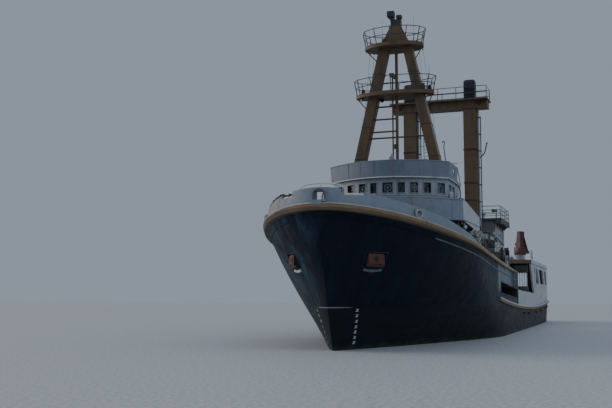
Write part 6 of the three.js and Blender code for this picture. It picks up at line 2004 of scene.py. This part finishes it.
@dataclass(frozen=True)
class AfterHouse:
    """Deckhouse abaft the gantry, white at its sides and darker grey on its other faces as painted shade,
    with the railed wing platform on it.
    """

    fore: float = -6.2
    aft: float = -11.4
    half: float = 4.4
    wing_half: float = 4.98

    def build(self) -> None:
        """Skins the deckhouse and its platform and adds what stands on them."""
        # All faces but the sides take the dark grey, a painted shade on the white house; the sides stay
        # white.
        skin("after_deckhouse", (HOUSE_FRONT_SHADE, WHITE), lambda _, normal: int(abs(normal.y) > 0.5))
        skin("after_house_door", GREY)
        skin("wing_platform", (RAIL_GREY, RAIL_DARK, DECK_STEEL), self.region)
        self.walls()
        self.platform_gear()
        self.lockers()

    def region(self, middle: Vector, normal: Vector) -> int:
        """Finish number of a face: 1 on the edge and underside, 2 on the platform and 0 on the rails."""
        z = middle.z
        if z < WING_FLOOR - 0.01:
            return 1
        return 2 if z < WING_FLOOR + 0.03 and normal.z > 0.6 else 0

    def walls(self) -> None:
        """Pipes, portholes, vents, stiffeners and ladder on the deckhouse walls."""
        ports, pipes, ladder = Shape(), Shape(), Shape()
        for side in Side:
            y = self.half * side
            out = y + 0.07 * side
            for x in (-7.1, -8.5, -9.9):
                ports.porthole((x, y, 7.4), (0, side, 0), 0.2)
            for x in (-6.5, -7.8, -9.2, -10.6, -11.2):
                foot = main_deck(x) + 0.05
                pipes.sweep([(x, out, foot), (x, out, WING_FLOOR - 0.5)], 0.035 if x > -10 else 0.06, 8)
            pipes.sweep([(-6.3, out, 8.35), (-11.3, out, 8.35)], 0.03)
            for x in (-7.3, -10.2):
                pipes.box((x - 0.35, y, 5.9), (x + 0.35, y + 0.13 * side, 6.5), 0.02)
                for z in steps(6, 6.4, 4):
                    pipes.box((x - 0.28, y + 0.12 * side, z - 0.02), (x + 0.28, y + 0.15 * side, z + 0.02))
            y = 3.4 * side
            ladder.ladder((self.aft - 0.2, y, main_deck(self.aft)), (self.aft - 0.2, y, WING_FLOOR - 0.2),
                (0, 1, 0), 0.42)
        for y0, y1 in ((-3, -1.6), (1.6, 3)):
            pipes.sweep([(self.aft - 0.01, y0, 7.6), (self.aft - 0.01, y1, 7.6), (self.aft - 0.01, y1, 8.4),
                (self.aft - 0.01, y0, 8.4)], 0.035, closed=True)
        for y in (-3.9, -1.1, 0.4, 3.7):
            pipes.sweep([(self.aft - 0.08, y, main_deck(self.aft) + 0.05),
                (self.aft - 0.08, y, WING_FLOOR - 0.2)], 0.045, 8)
        for y in (-3.6, -1.3, 1.3, 3.6):
            ports.porthole((self.fore, y, 7.6), (1, 0, 0), 0.2)
            pipes.box((self.fore, y - 0.4, 8.5), (self.fore + 0.1, y + 0.4, 8.54))
        ports.finish("after_house_portholes", (BRASS, GLASS))
        pipes.finish("after_house_pipes", GREY_LIGHT)
        ladder.finish("after_house_ladders", RAIL_DARK)

    def platform_gear(self) -> None:
        """Control stand, searchlight, speaker and lockers on the wing platform, and its brackets."""
        gear, lamps, knees = Shape(), Shape(), Shape()
        gear.box((-8.2, -1.3, WING_FLOOR), (-6.9, 1.3, WING_FLOOR + 0.95), 0.05)
        gear.box((-8.1, -1.1, WING_FLOOR + 0.95), (-7.3, 1.1, WING_FLOOR + 1.02), 0.02)
        for y in steps(-0.9, 0.9, 5):
            gear.rod((-8, y, WING_FLOOR + 1), (-8.15, y, WING_FLOOR + 1.3), 0.018, 6)
            gear.ball((-8.16, y, WING_FLOOR + 1.32), 0.04, rings=5)
        gear.chest((-10, -3, WING_FLOOR), 0.6, 0.6, WING_FLOOR + 0.7)
        gear.mushroom(-9.6, 2.9, WING_FLOOR, 0.26, 0.9)
        gear.mushroom(-10.6, 0.8, WING_FLOOR, 0.22, 0.7)
        for side in Side:
            y = 4.5 * side
            lamps.post(-6.35, y, WING_FLOOR, WING_FLOOR + 0.5, 0.04)
            lamps.floodlight((-6.3, y, WING_FLOOR + 0.68), (0.85, 0.25 * side, -0.3), 0.18)
            lamps.floodlight((-11.3, 3.6 * side, WING_FLOOR + 1.12), (-0.8, 0.1 * side, -0.6), 0.26)
            for x in (-6.6, -7.9, -9.2, -10.5, -11.3):
                a, b = self.half * side, (self.wing_half - 0.06) * side
                knees.plate([(x, a, WING_FLOOR - 0.9), (x, a, WING_FLOOR - 0.2), (x, b, WING_FLOOR - 0.2),
                    (x, b, WING_FLOOR - 0.34)], (0.03, 0, 0))
        gear.finish("wing_platform_gear", GREY_LIGHT)
        lamps.finish("wing_platform_lamps", (GEAR, LENS))
        knees.finish("wing_platform_knees", UNDERSIDE)

    def lockers(self) -> None:
        """Lockers, pipes and valves between the gantry and the deckhouse, on the shelter deck."""
        boxes, pipes, trunk = Shape(), Shape(), Shape()
        for side in Side:
            y = 4.1 * side
            deck = HULL.floor(1, 5.0 * side)
            for x0, x1, high in ((-1, 0.6, 0.9), (0.7, 1.4, 1.3)):
                if side is Side.STARBOARD or x0 > 0:
                    boxes.box((x0, y * 0.55, deck), (x1, y * 0.85, deck + high), 0.04)
            pipes.sweep([(-4.3, 3.6 * side, sheer(-4) + 0.1), (-4.3, 3.6 * side, 6.3),
                (-4.9, 3.6 * side, 6.5)], 0.08, 10)
            pipes.sweep([(1.4, 5.5 * side, sheer(1.4) + 0.07), (-0.4, 5.6 * side, sheer(0) + 0.07)], 0.05,
                8)
            pipes.mushroom(2.6, 5.1 * side, HULL.floor(2.6, 5.1 * side), 0.22, 0.8)
            low, high = 3.9 * side, 4.6 * side
            pipes.post(0, 4.08 * side, deck, 7.5, 0.13, 12)
            trunk.box((-0.3, low, 7.45), (0.3, high, 7.85), 0.04)
        boxes.finish("shelter_deck_lockers", GREY)
        pipes.finish("shelter_deck_pipes", GREY)
        trunk.finish("deck_vent_hoods", PIPE_PALE)


@dataclass(frozen=True)
class Winches:
    """Trawl winches at the after end of the shelter deck, with their wire, brakes and rollers."""

    x: float = -1.9
    z: float = 5.95
    inner: float = 4.35
    outer: float = 5.75
    core: float = 0.5

    def build(self) -> None:
        """Skins both winches and adds wire, brakes and the frame that leads their wires."""
        for side in Side:
            skin(f"winch_frame_{side.word}", GREY_LIGHT, bevel=0.008)
            skin(f"winch_drum_{side.word}", GEAR)
            self.wire(side)
            self.brakes(side)
            self.lead_frame(side)

    def wire(self, side: Side) -> None:
        """Wire wound on the drum in two layers."""
        shape = Shape()
        drum = f"winch_drum_{side.word}"
        low, high = self.inner + 0.15, self.outer - 0.15
        turns = 26
        for i in range(turns):
            y = lerp(low, high, (i + 0.5) / turns) * side
            points = circle((self.x, y, self.z), self.core + 0.05 + 0.012 * (i % 2), (1, 0, 0), (0, 0, 1),
                20)
            shape.sweep(points, 0.026, 5, closed=True)
        shape.finish(f"winch_wire_{side.word}", WIRE, body_of(drum))

    def brakes(self, side: Side) -> None:
        """Brake band, lever, guard, gear case and hoses round one winch."""
        gear, hose, yellow = Shape(), Shape(), Shape()
        x, z, s = self.x, self.z, side
        y, far = (self.inner - 0.1) * s, (self.outer + 0.18) * s
        gear.lathe([(0, -0.04), (0.62, -0.04), (0.66, 0), (0.62, 0.04), (0, 0.04)], (x, y - 0.1 * s, z), 24,
            (0, s, 0))
        gear.box((x - 0.62, y - 0.62 * s, 5.1), (x - 0.42, y - 0.1 * s, 6.1), 0.04)
        gear.lathe([(0, 0), (0.24, 0), (0.24, 0.5), (0.16, 0.56), (0.16, 0.75), (0, 0.78)],
            (x, y - 0.14 * s, 6.75), 18)
        for dx in (-0.7, 0.7):
            gear.rod((x + dx, far, 5.16), (x + dx * 0.7, far, 6), 0.035, 6)
            gear.rod((x + dx, self.inner * s, 5.16), (x + dx, far - 0.08 * s, 5.16), 0.04, 6)
        yellow.rod((x - 0.55, y - 0.3 * s, 6.1), (x - 0.75, y - 0.3 * s, 6.9), 0.03, 6)
        yellow.ball((x - 0.76, y - 0.3 * s, 6.93), 0.06, rings=6)
        yellow.box((x + 0.3, y, 6.32), (x + 0.5, y + 0.2 * s, 6.5), 0.02)
        bends = ((0, 0, 0), (-0.2, -0.2 * s, 0.1), (-0.45, -0.3 * s, -0.5), (-0.5, -0.3 * s, -1.5))
        for i in range(4):
            start = Vector((x - 0.2 + 0.12 * i, y - 0.5 * s, 6.6))
            hose.sweep([start + Vector(bend) for bend in bends], 0.028)
        gear.finish(f"winch_brake_{side.word}", GEAR)
        hose.finish(f"winch_hoses_{side.word}", RUBBER)
        yellow.finish(f"winch_levers_{side.word}", YELLOW)

    def lead_frame(self, side: Side) -> None:
        """White braced gallows abaft the winch, with a dark net winch and yellow levers behind it."""
        bars, drum, levers, clutter = Shape(), Shape(), Shape(), Shape()
        s, x, inner, outer = side, -2.95, 4.83 * side, 5.5 * side
        deck = HULL.floor(x, 5.2 * s)
        for start, end in (((x, inner, deck), (x, inner, 7.79)), ((x, outer, deck), (x, outer, 6.98)),
                ((x, inner, 7.79), (x, outer, 6.98)), ((x, inner, 6.98), (x, outer, 6.98)),
                ((x, inner, 7.3), (x, 5.25 * s, 6.98)), ((x - 0.9, 5.1 * s, deck), (x, 5.1 * s, 7.3))):
            bars.rod(start, end, 0.05)
        clutter.rod((x + 0.06, inner - 0.08 * s, 7.95), (x + 0.06, outer + 0.02 * s, 7.08), 0.04, 6)
        y = 5.4 * s
        half = [(0.3, 0.24), (0.4, 0.26), (0.4, 0.3), (0, 0.3)]
        drum.lathe([(r, -h) for r, h in half[::-1]] + half, (-4.3, y, 6.62), 22, (0, 1, 0))
        for i in range(9):
            drum.ring((-4.3, y + lerp(-0.2, 0.2, i / 8), 6.62), 0.32, (1, 0, 0), (0, 0, 1), 18, 0.026, 5)
        for dy in (-0.34, 0.34):
            drum.block(-4.3, y + dy, 0.25, 0.03, deck - 0.05, 6.75, 0.02)
        for i in range(3):
            levers.rod((-4.0 + 0.1 * i, 5.3 * s, 5.5), (-3.95 + 0.1 * i, 5.32 * s, 6.05), 0.04, 6)
        dice = random.Random(17)
        for i in range(16):
            spot = Vector((-2.0 + dice.uniform(-0.2, 0.2), s * dice.uniform(4.35, 5.05),
                dice.uniform(7.3, 8.05)))
            if i % 2:
                clutter.ball(spot, dice.uniform(0.05, 0.1), rings=5)
            else:
                bars.rod(spot, spot + Vector((0, dice.uniform(-0.2, 0.2), dice.uniform(-0.3, 0.3))), 0.035,
                    6)
        clutter.box((-2.15, 4.4 * s, 6.85), (-1.85, 4.95 * s, 7.45), 0.05)
        clutter.sweep([(self.x + 0.3, 5.2 * s, 6.42), (-4.5, 5.22 * s, 7.03), (-4.8, 5.22 * s, 6.8),
            (-9.5, 5.55 * s, 3.3)], 0.022)
        bars.finish(f"winch_gallows_{side.word}", MARK_WHITE)
        drum.finish(f"net_winch_{side.word}", LAMP_BLACK)
        levers.finish(f"net_winch_levers_{side.word}", YELLOW)
        clutter.finish(f"winch_fittings_{side.word}", RAIL_DARK)


@dataclass(frozen=True)
class NetDeck:
    """Working deck abaft, under its white shelter, with the net drum, the hatch and the gear."""

    front: float = SHELTER_FRONT
    drum_x: float = -17.4
    drum_z: float = 3.55
    drum_half: float = 3.4

    def build(self) -> None:
        """Skins the shelter, drum and hatch and lays out the fishing gear."""
        for side in Side:
            skin(f"shelter_side_{side.word}", (WHITE, SHELTER_SHADE), self.wall_region)
            skin(f"net_drum_frame_{side.word}", GREY_LIGHT, bevel=0.01)
        skin("shelter_roof", (WHITE, BUFF, SHELTER_SHADE, DECK_STEEL, RAIL_GREY), self.roof_region)
        skin("net_drum", RED)
        skin("hatch_coaming", GREY, bevel=0.008)
        skin("hatch_lid", GREY, bevel=0.008)
        self.wound_net()
        self.hung_nets()
        self.net_pile()
        self.roller_gear()
        self.wall_frames()
        self.wall_fittings()
        self.roof_fittings()
        self.hatch_clips()
        self.forward_machinery()

    def wall_region(self, middle: Vector, normal: Vector) -> int:
        """Finish number of a face: 1 on the inside of the wall, dark as painted shade, and 0 outside."""
        return int(normal.y * middle.y < -0.001 * abs(middle.y) and abs(normal.y) > 0.5)

    def roof_region(self, middle: Vector, normal: Vector) -> int:
        """Finish number of a face: 1 on the fascia, 2 below in the dark finish as painted shade, 3 on the
        roof, 4 on rails, 0 elsewhere.
        """
        x, _, z = middle
        if z < SHELTER_ROOF + 0.02:
            return 2
        if z > SHELTER_DECK - 0.02:
            return 3 if normal.z > 0.6 and z < SHELTER_DECK + 0.02 else 4 if z > SHELTER_DECK + 0.02 else 0
        return 1 if normal.x > 0.5 and x > self.front - 0.3 else 0

    def hung_nets(self) -> None:
        """Spare netting hung in folds from the roof at the after end, inside each shelter side."""
        dice = random.Random(29)
        folds, lashing = Shape(), Shape()
        for side in Side:
            for i in range(13):
                y = lerp(4.15, 5.75, i / 12) * side
                x = -34.9 + dice.uniform(-0.12, 0.12)
                low = dice.uniform(2.9, 3.2)
                folds.sweep([(x, y, SHELTER_ROOF - 0.08), (x + 0.05, y, 4.9),
                    (x - 0.04, y + dice.uniform(-0.04, 0.04), low)], dice.uniform(0.085, 0.11), 7)
            for z in (5.5, 4.4, 3.5):
                lashing.rod((-34.75, 4.1 * side, z), (-34.75, 5.8 * side, z), 0.03, 6)
        folds.finish("hung_nets", HEAP_DARK)
        lashing.finish("hung_net_lashings", ROPE)

    def wound_net(self) -> None:
        """Net wound on the drum in uneven turns, with its floats."""
        dice = random.Random(3)
        net, floats = Shape(), Shape()
        half, (x, z) = self.drum_half, (self.drum_x, self.drum_z)
        section = [(0.86 + dice.uniform(-0.07, 0.07), y) for y in steps(-half, half, 23)]
        net.lathe([(0, -half), *section, (0, half)], (x, 0, z), 28, (0, 1, 0))
        for vert in net.bm.verts:
            if math.hypot(vert.co.x - x, vert.co.z - z) > 0.5:
                vert.co.x += dice.uniform(-0.03, 0.03)
                vert.co.z += dice.uniform(-0.03, 0.03)
        for _ in range(26):
            y = dice.uniform(-3.2, 3.2)
            net.loop((x, y, z), 0.93, (dice.uniform(-0.12, 0.12), 1, dice.uniform(-0.12, 0.12)), 26, 0.03)
        for _ in range(16):
            angle, y = dice.uniform(-0.6, 2.4), dice.uniform(-3.1, 3.1)
            floats.ball((x + 0.9 * math.cos(angle), y, z + 0.9 * math.sin(angle)), 0.12)
        net.finish("wound_net", NET, body_of("net_drum"))
        floats.finish("wound_net_floats", FLOAT_YELLOW, body_of("net_drum"))

    def net_pile(self) -> None:
        """Heaps of netting and rope with floats on the working deck."""
        dice = random.Random(7)
        heap, floats, rope = Shape(), Shape(), Shape()
        for cx, cy, wide in ((-28, 3.9, 1.5), (-28.4, -3.9, 1.5), (-14.2, 3.6, 1.2), (-14, -3.4, 1.2),
                (-33.5, 3.6, 1.1)):
            deck = HULL.floor(cx, cy, 5)
            for _ in range(9):
                x, y = cx + dice.uniform(-wide, wide), cy + dice.uniform(-0.6, 0.6)
                size = dice.uniform(0.3, 0.52)
                heap.ball((x, y, deck + size * 0.4), size, (1.3, 1, dice.uniform(0.6, 0.9)))
            for _ in range(12):
                x, y = cx + dice.uniform(-wide, wide), cy + dice.uniform(-0.7, 0.7)
                tilt = (dice.uniform(-0.5, 0.5), dice.uniform(-0.5, 0.5), 1)
                rope.loop((x, y, deck + dice.uniform(0.3, 0.6)), dice.uniform(0.2, 0.4), tilt, 14, 0.032)
            for _ in range(7):
                x, y = cx + dice.uniform(-wide, wide), cy + dice.uniform(-0.6, 0.6)
                floats.ball((x, y, deck + dice.uniform(0.45, 0.65)), 0.11)
        for vert in heap.bm.verts:
            vert.co += Vector([dice.uniform(-1, 1) for _ in range(3)]) * 0.035
        heap.finish("net_heaps", NET)
        rope.finish("net_heap_ropes", ROPE)
        floats.finish("net_heap_floats", FLOAT_YELLOW)

    def roller_gear(self) -> None:
        """Rubber bobbins on their chain along both sides of the ramp."""
        shape, chain = Shape(), Shape()
        for side in Side:
            y = 3.2 * side
            for i in range(16):
                x = -22.0 - 0.42 * i
                z = HULL.floor(x, y, 5) + 0.2
                shape.lathe([(0, -0.09), (0.17, -0.09), (0.2, -0.05), (0.2, 0.05), (0.17, 0.09), (0, 0.09)],
                    (x, y, z), 18, (1, 0, 0))
                chain.rod((x - 0.21, y, z), (x + 0.21, y, z), 0.03, 6)
        shape.finish("rubber_bobbins", RUBBER)
        chain.finish("bobbin_chain", GEAR)

    def wall_line(self, x: float, z: float, side: Side, inset: float = 0.0) -> Vector:
        """Place on the outside of the shelter wall."""
        place, _ = WALL.side(x, z, Side.PORT)
        return Vector((x, (place.y - inset) * side, z))

    def wall_frames(self) -> None:
        """Stiffeners inside the wall and a rim round each opening, with the flange of its fore edge;
        stiffeners and flange are dark as painted shade.
        """
        ribs, rims, flange = Shape(), Shape(), Shape()
        for side in Side:
            for x in (-20.4, -26.3, -32.6):
                z = main_deck(x) + 0.05
                y = WALL.side(x, z + 0.5)[0].y - 0.16
                ribs.box((x - 0.03, (y - 0.2) * side, z),
                    (x + 0.03, (y - 0.01) * side, SHELTER_ROOF - 0.02))
            for x in (-7, -8.8, -10.6, -12.4, -14.2, -16):
                z = main_deck(x)
                y = WALL.side(x, z + 0.5)[0].y - 0.15
                knee = ((y, z), (y - 0.5, z), (y - 0.1, z + 1.15), (y, z + 1.2))
                ribs.plate([(x, b * side, c) for b, c in knee], (0.03, 0, 0))
            for x0, x1 in ((-25, -21.6), (-31.6, -26.9), (-36.6, -33.6)):
                corners = [(x0, 4.25), (x1, 4.25), (x1 + 1.6, 5.75), (x0 + 1.6, 5.75)]
                rim = []
                for (xa, za), (xb, zb) in zip(corners, corners[1:] + corners[:1]):
                    forward = 0.05 if xb < xa and za == zb else 0
                    for t in (0.04, 0.5, 0.96):
                        rim.append(self.rim_place(lerp(xa, xb, t) + forward, lerp(za, zb, t), corners,
                            side))
                rims.sweep(rim, 0.035, closed=True)
            top = [self.wall_line(x, main_deck(x) + 1.18, side) for x in (-16.4, -14, -12, -10, -8, -6)]
            rims.sweep([p + Vector((0, -0.08 * side, 0.08)) for p in top], 0.07, 8)
            y = WALL.side(-19.7, 4)[0].y
            foot, head = (-19.43, main_deck(-19.4) + 1.27), (-17.13, SHELTER_ROOF - 0.3)
            outline = [(x, (y - inset) * side, z)
                for (x, z), inset in zip((foot, head, head, foot), (0.02, 0.02, 0.46, 0.46))]
            flange.plate(outline, (-0.03, 0, 0.02))
        ribs.finish("wall_stiffeners", SHELTER_SHADE)
        rims.finish("wall_rims", WHITE)
        flange.finish("wall_edge_flange", SHELTER_SHADE)

    def rim_place(self, x: float, z: float, corners: Sequence[tuple[float, float]], side: Side) -> Vector:
        """Place on the wall just outside an opening's edge."""
        cx = sum(c[0] for c in corners) / 4
        cz = sum(c[1] for c in corners) / 4
        way = Vector((x - cx, z - cz))
        grown = Vector((cx, cz)) + way * (1 + 0.06 / max(0.3, way.length))
        try:
            return self.wall_line(grown.x, grown.y, side)
        except ValueError:
            y = WALL.side(grown.x, 3.9)[0].y
            return Vector((grown.x, y * side, grown.y))

    def wall_fittings(self) -> None:
        """Ladder and hand rails on the shelter's sides."""
        rails = Shape()
        for side in Side:
            foot, head = self.wall_line(-20.0, 2.9, side, -0.14), self.wall_line(-20.0, 6, side, -0.14)
            rails.ladder(foot, head, (1, 0, 0), 0.4)
            for x0, x1 in ((-21.5, -25.0), (-26.8, -31.4)):
                line = [self.wall_line(x, 3.95, side, -0.09) for x in steps(x0, x1, 5)]
                rails.sweep(line, 0.022)
                for p in line:
                    rails.rod(p, p - Vector((0, 0.09 * side, 0)), 0.015, 5)
        rails.finish("shelter_side_rails", RAIL_WHITE)

    def roof_fittings(self) -> None:
        """Rails, ventilators, lights, hatches and spare gear on and under the shelter roof."""
        rails, vents, lamps, spare = Shape(), Shape(), Shape(), Shape()
        for side in Side:
            rails.sweep([(x, self.roof_edge(x) * side, SHELTER_DECK + 0.02) for x in steps(-21.4, -36.9,
                12)], 0.05)
            for x, y in ((-21.0, 2.2), (-27.5, 3.2), (-33.0, 1.8)):
                vents.mushroom(x, y * side, SHELTER_DECK, 0.28, 0.85)
            for x in (-18.0, -23.0, -28.5, -33.2):
                lamps.floodlight((x, 3.4 * side, SHELTER_ROOF - 0.2), (-0.2, 0.1 * side, -0.95), 0.26)
            vents.chest((-30.1, 3.4 * side, SHELTER_DECK), 0.9, 0.6, SHELTER_DECK + 0.55, lap=0.06)
        rails.sweep([(-37.2, y, SHELTER_DECK + 0.02) for y in (-5.8, 0, 5.8)], 0.05)
        vents.box((-25.6, -1, SHELTER_DECK), (-23.6, 1, SHELTER_DECK + 0.4), 0.04)
        for x0, x1, y in ((-35.6, -32.4, 0.5), (-35.6, -32.4, 0.75), (-35.4, -32.2, 1)):
            spare.rod((x0, y, SHELTER_DECK + 0.1), (x1, y, SHELTER_DECK + 0.1), 0.09, 10)
        for x in (-35.0, -33.0):
            spare.box((x - 0.08, 0.3, SHELTER_DECK), (x + 0.08, 1.2, SHELTER_DECK + 0.06))
        rails.finish("shelter_roof_coaming_bars", RAIL_GREY)
        vents.finish("shelter_roof_vents", GREY)
        lamps.finish("shelter_lamps", (GEAR, LENS))
        spare.finish("spare_booms", BUFF)

    def roof_edge(self, x: float) -> float:
        """Half width of the roof at a place, less the stanchions' set-in."""
        return ROOF.side(x, SHELTER_ROOF + 0.2)[0].y - 0.12

    def hatch_clips(self) -> None:
        """Clips and hinges round the fish hatch, riding on the coaming's ship."""
        shape = Shape()
        z = main_deck(-24.6) + 0.45
        for x in steps(-24.3, -22.7, 4):
            for s in (-1, 1):
                shape.block(x, 1.11 * s, 0.05, 0.03, z - 0.22, z - 0.04, 0.01)
        shape.finish("hatch_clips", GEAR)

    def forward_machinery(self) -> None:
        """Red hauling machinery and dark bins at the side, forward of the net drum, with white posts and
        two dark blocks across the shelter front, the upper block painted shade under the roof.
        """
        red, dark, pipes = Shape(), Shape(), Shape()
        for side in Side:
            s = side
            for x, wide in ((-14.9, 0.55), (-16.1, 0.4)):
                deck = HULL.floor(x, 4.9 * s, 5)
                red.box((x - wide, 4.6 * s, deck), (x + wide, 5.3 * s, deck + 0.9), 0.05)
                red.lathe([(0, -0.3), (0.42, -0.3), (0.42, -0.25), (0.2, -0.2), (0.2, 0.2), (0.42, 0.25),
                    (0.42, 0.3), (0, 0.3)], (x, 4.95 * s, deck + 1.2), 20, (1, 0, 0))
            deck = HULL.floor(-12.6, 4.8 * s, 5)
            dark.box((-13.4, 4.2 * s, deck), (-12.0, 5.4 * s, deck + 0.8), 0.04)
            for x in (-13.3, -12.7, -12.1):
                pipes.sweep([(x, 5.35 * s, deck + 0.1), (x, 5.35 * s, deck + 1.3),
                    (x, 4.6 * s, deck + 1.5)], 0.05, 8)
            # White posts across the shelter front: painted light, standing for daylight seen through the
            # gaps under its roof.
            for y in (5.2, 5.42, 5.64, 5.86):
                pipes.post(-17.0, y * s, 3.3, 5.6, 0.045)
            low, high = 4.7 * s, 6.0 * s
            # Upper dark block just under the roof at the shelter front: painted shade of the roof's
            # underside; the lower block is plain dark.
            dark.box((-17.1, low, 5.2), (-16.8, high, 5.95), 0.08)
            dark.box((-17.1, low, 3.1), (-16.8, high, 3.9), 0.08)
        red.finish("hauling_machinery", RED)
        dark.finish("deck_bins", RAIL_DARK)
        pipes.finish("deck_pipework", MARK_WHITE)


@dataclass(frozen=True)
class Crane:
    """Red deck crane on the shelter roof, with its cylinder, hoses and hook."""

    x: float = -17.8
    y: float = 5.2
    head: float = 9.1
    base: float = SHELTER_DECK + 0.5
    turn: float = -32.0

    def build(self) -> None:
        """Skins the crane and adds the gear that rides on each of its moving pieces."""
        skin("crane_pedestal", PIPE_PALE)
        skin("crane_column", (RED, LAMP_BLACK, RED_DARK), self.region, bevel=0.01)
        skin("crane_boom", RED_DARK, bevel=0.008)
        self.column_gear()
        self.boom_gear()
        self.pedestal_bolts()

    def region(self, middle: Vector, normal: Vector) -> int:
        """Finish number of a face: 1 on the head, 2 on the shaded side and 0 elsewhere."""
        if middle.z > self.head + 0.05:
            return 1
        return 2 if normal.y > 0.3 else 0

    def stow(self, shape: Shape, name: str, node: str, finish: Finish) -> None:
        """Turns a shape drawn with the boom aft to the crane's stowed angle, and finishes it."""
        about = Matrix.Translation((self.x, self.y, 0))
        turn = about @ Matrix.Rotation(math.radians(self.turn), 4, "Z") @ about.inverted()
        bmesh.ops.transform(shape.bm, matrix=turn, verts=shape.bm.verts)
        shape.finish(name, finish, body_of(node))

    def column_gear(self) -> None:
        """Winch, valve block, lamp and hoses on the slewing column."""
        red, steel, hose = Shape(), Shape(), Shape()
        x, y = self.x, self.y
        red.lathe([(0, -0.2), (0.16, -0.2), (0.16, -0.16), (0.1, -0.13), (0.1, 0.13), (0.16, 0.16),
            (0.16, 0.2), (0, 0.2)], (x - 0.1, y - 0.38, self.base + 1.1), 18, (1, 0, 0))
        red.box((x - 0.2, y - 0.44, self.base + 0.74), (x, y - 0.24, self.base + 1), 0.02)
        red.box((x + 0.38, y - 0.3, self.base + 0.1), (x + 0.46, y + 0.3, self.base + 0.7), 0.02)
        steel.box((x - 0.3, y - 0.48, self.base + 0.2), (x + 0.1, y - 0.4, self.base + 0.6), 0.02)
        for i in range(5):
            steel.rod((x - 0.25 + 0.07 * i, y - 0.45, self.base + 0.6),
                (x - 0.25 + 0.07 * i, y - 0.47, self.base + 0.76), 0.012, 5)
        steel.ball((x + 0.44, y + 0.08, self.base + 0.45), 0.07, rings=6)
        for i in range(3):
            dx = -0.08 + 0.08 * i
            hose.sweep([(x + dx, y - 0.27, self.base + 0.8), (x + dx, y - 0.19, self.head - 0.4),
                (x + dx, y - 0.21, self.head + 0.15)], 0.016, 5)
        self.stow(red, "crane_column_gear", "crane_column", RED)
        self.stow(steel, "crane_valves", "crane_column", ZINC)
        self.stow(hose, "crane_column_hoses", "crane_column", RUBBER)

    def boom_gear(self) -> None:
        """Sheave, pin and hose along the boom."""
        steel, hose = Shape(), Shape()
        px = self.x - 0.35
        tip = Vector((px - 0.76, self.y, self.head - 1.84))
        steel.lathe([(0, -0.03), (0.12, -0.03), (0.1, 0), (0.12, 0.03), (0, 0.03)],
            tip + Vector((-0.1, 0, -0.02)), 16, (0, 1, 0))
        steel.rod(tip + Vector((0, -0.14, 0)), tip + Vector((0, 0.14, 0)), 0.035)
        hose.sweep([(px - 0.1, self.y + 0.115, self.head - 0.3),
            (px - 0.36, self.y + 0.115, self.head - 0.95), (px - 0.64, self.y + 0.115, self.head - 1.7)],
            0.014, 5)
        self.stow(steel, "crane_boom_gear", "crane_boom", GEAR)
        self.stow(hose, "crane_boom_hose", "crane_boom", RUBBER)

    def pedestal_bolts(self) -> None:
        """Bolts round the foot of the pedestal."""
        shape = Shape()
        for spot in circle((self.x, self.y, SHELTER_DECK + 0.08), 0.505, (1, 0, 0), (0, 1, 0), 16):
            shape.rod(spot, spot + rise_by(0.03), 0.022, 6)
        shape.finish("crane_pedestal_bolts", GEAR)


def main() -> None:
    """Builds every sub-assembly in order."""
    logging.basicConfig(level=logging.INFO, format="%(name)s: %(message)s")
    for assembly in (Setting(), Hull(), Forecastle(), Bridge(), Wheelhouse(), Mast(), Gantry(),
            AfterHouse(), Winches(), NetDeck(), Crane()):
        assembly.build()
        log.info("%s built", type(assembly).__name__)


if __name__ == "__main__":
    main()
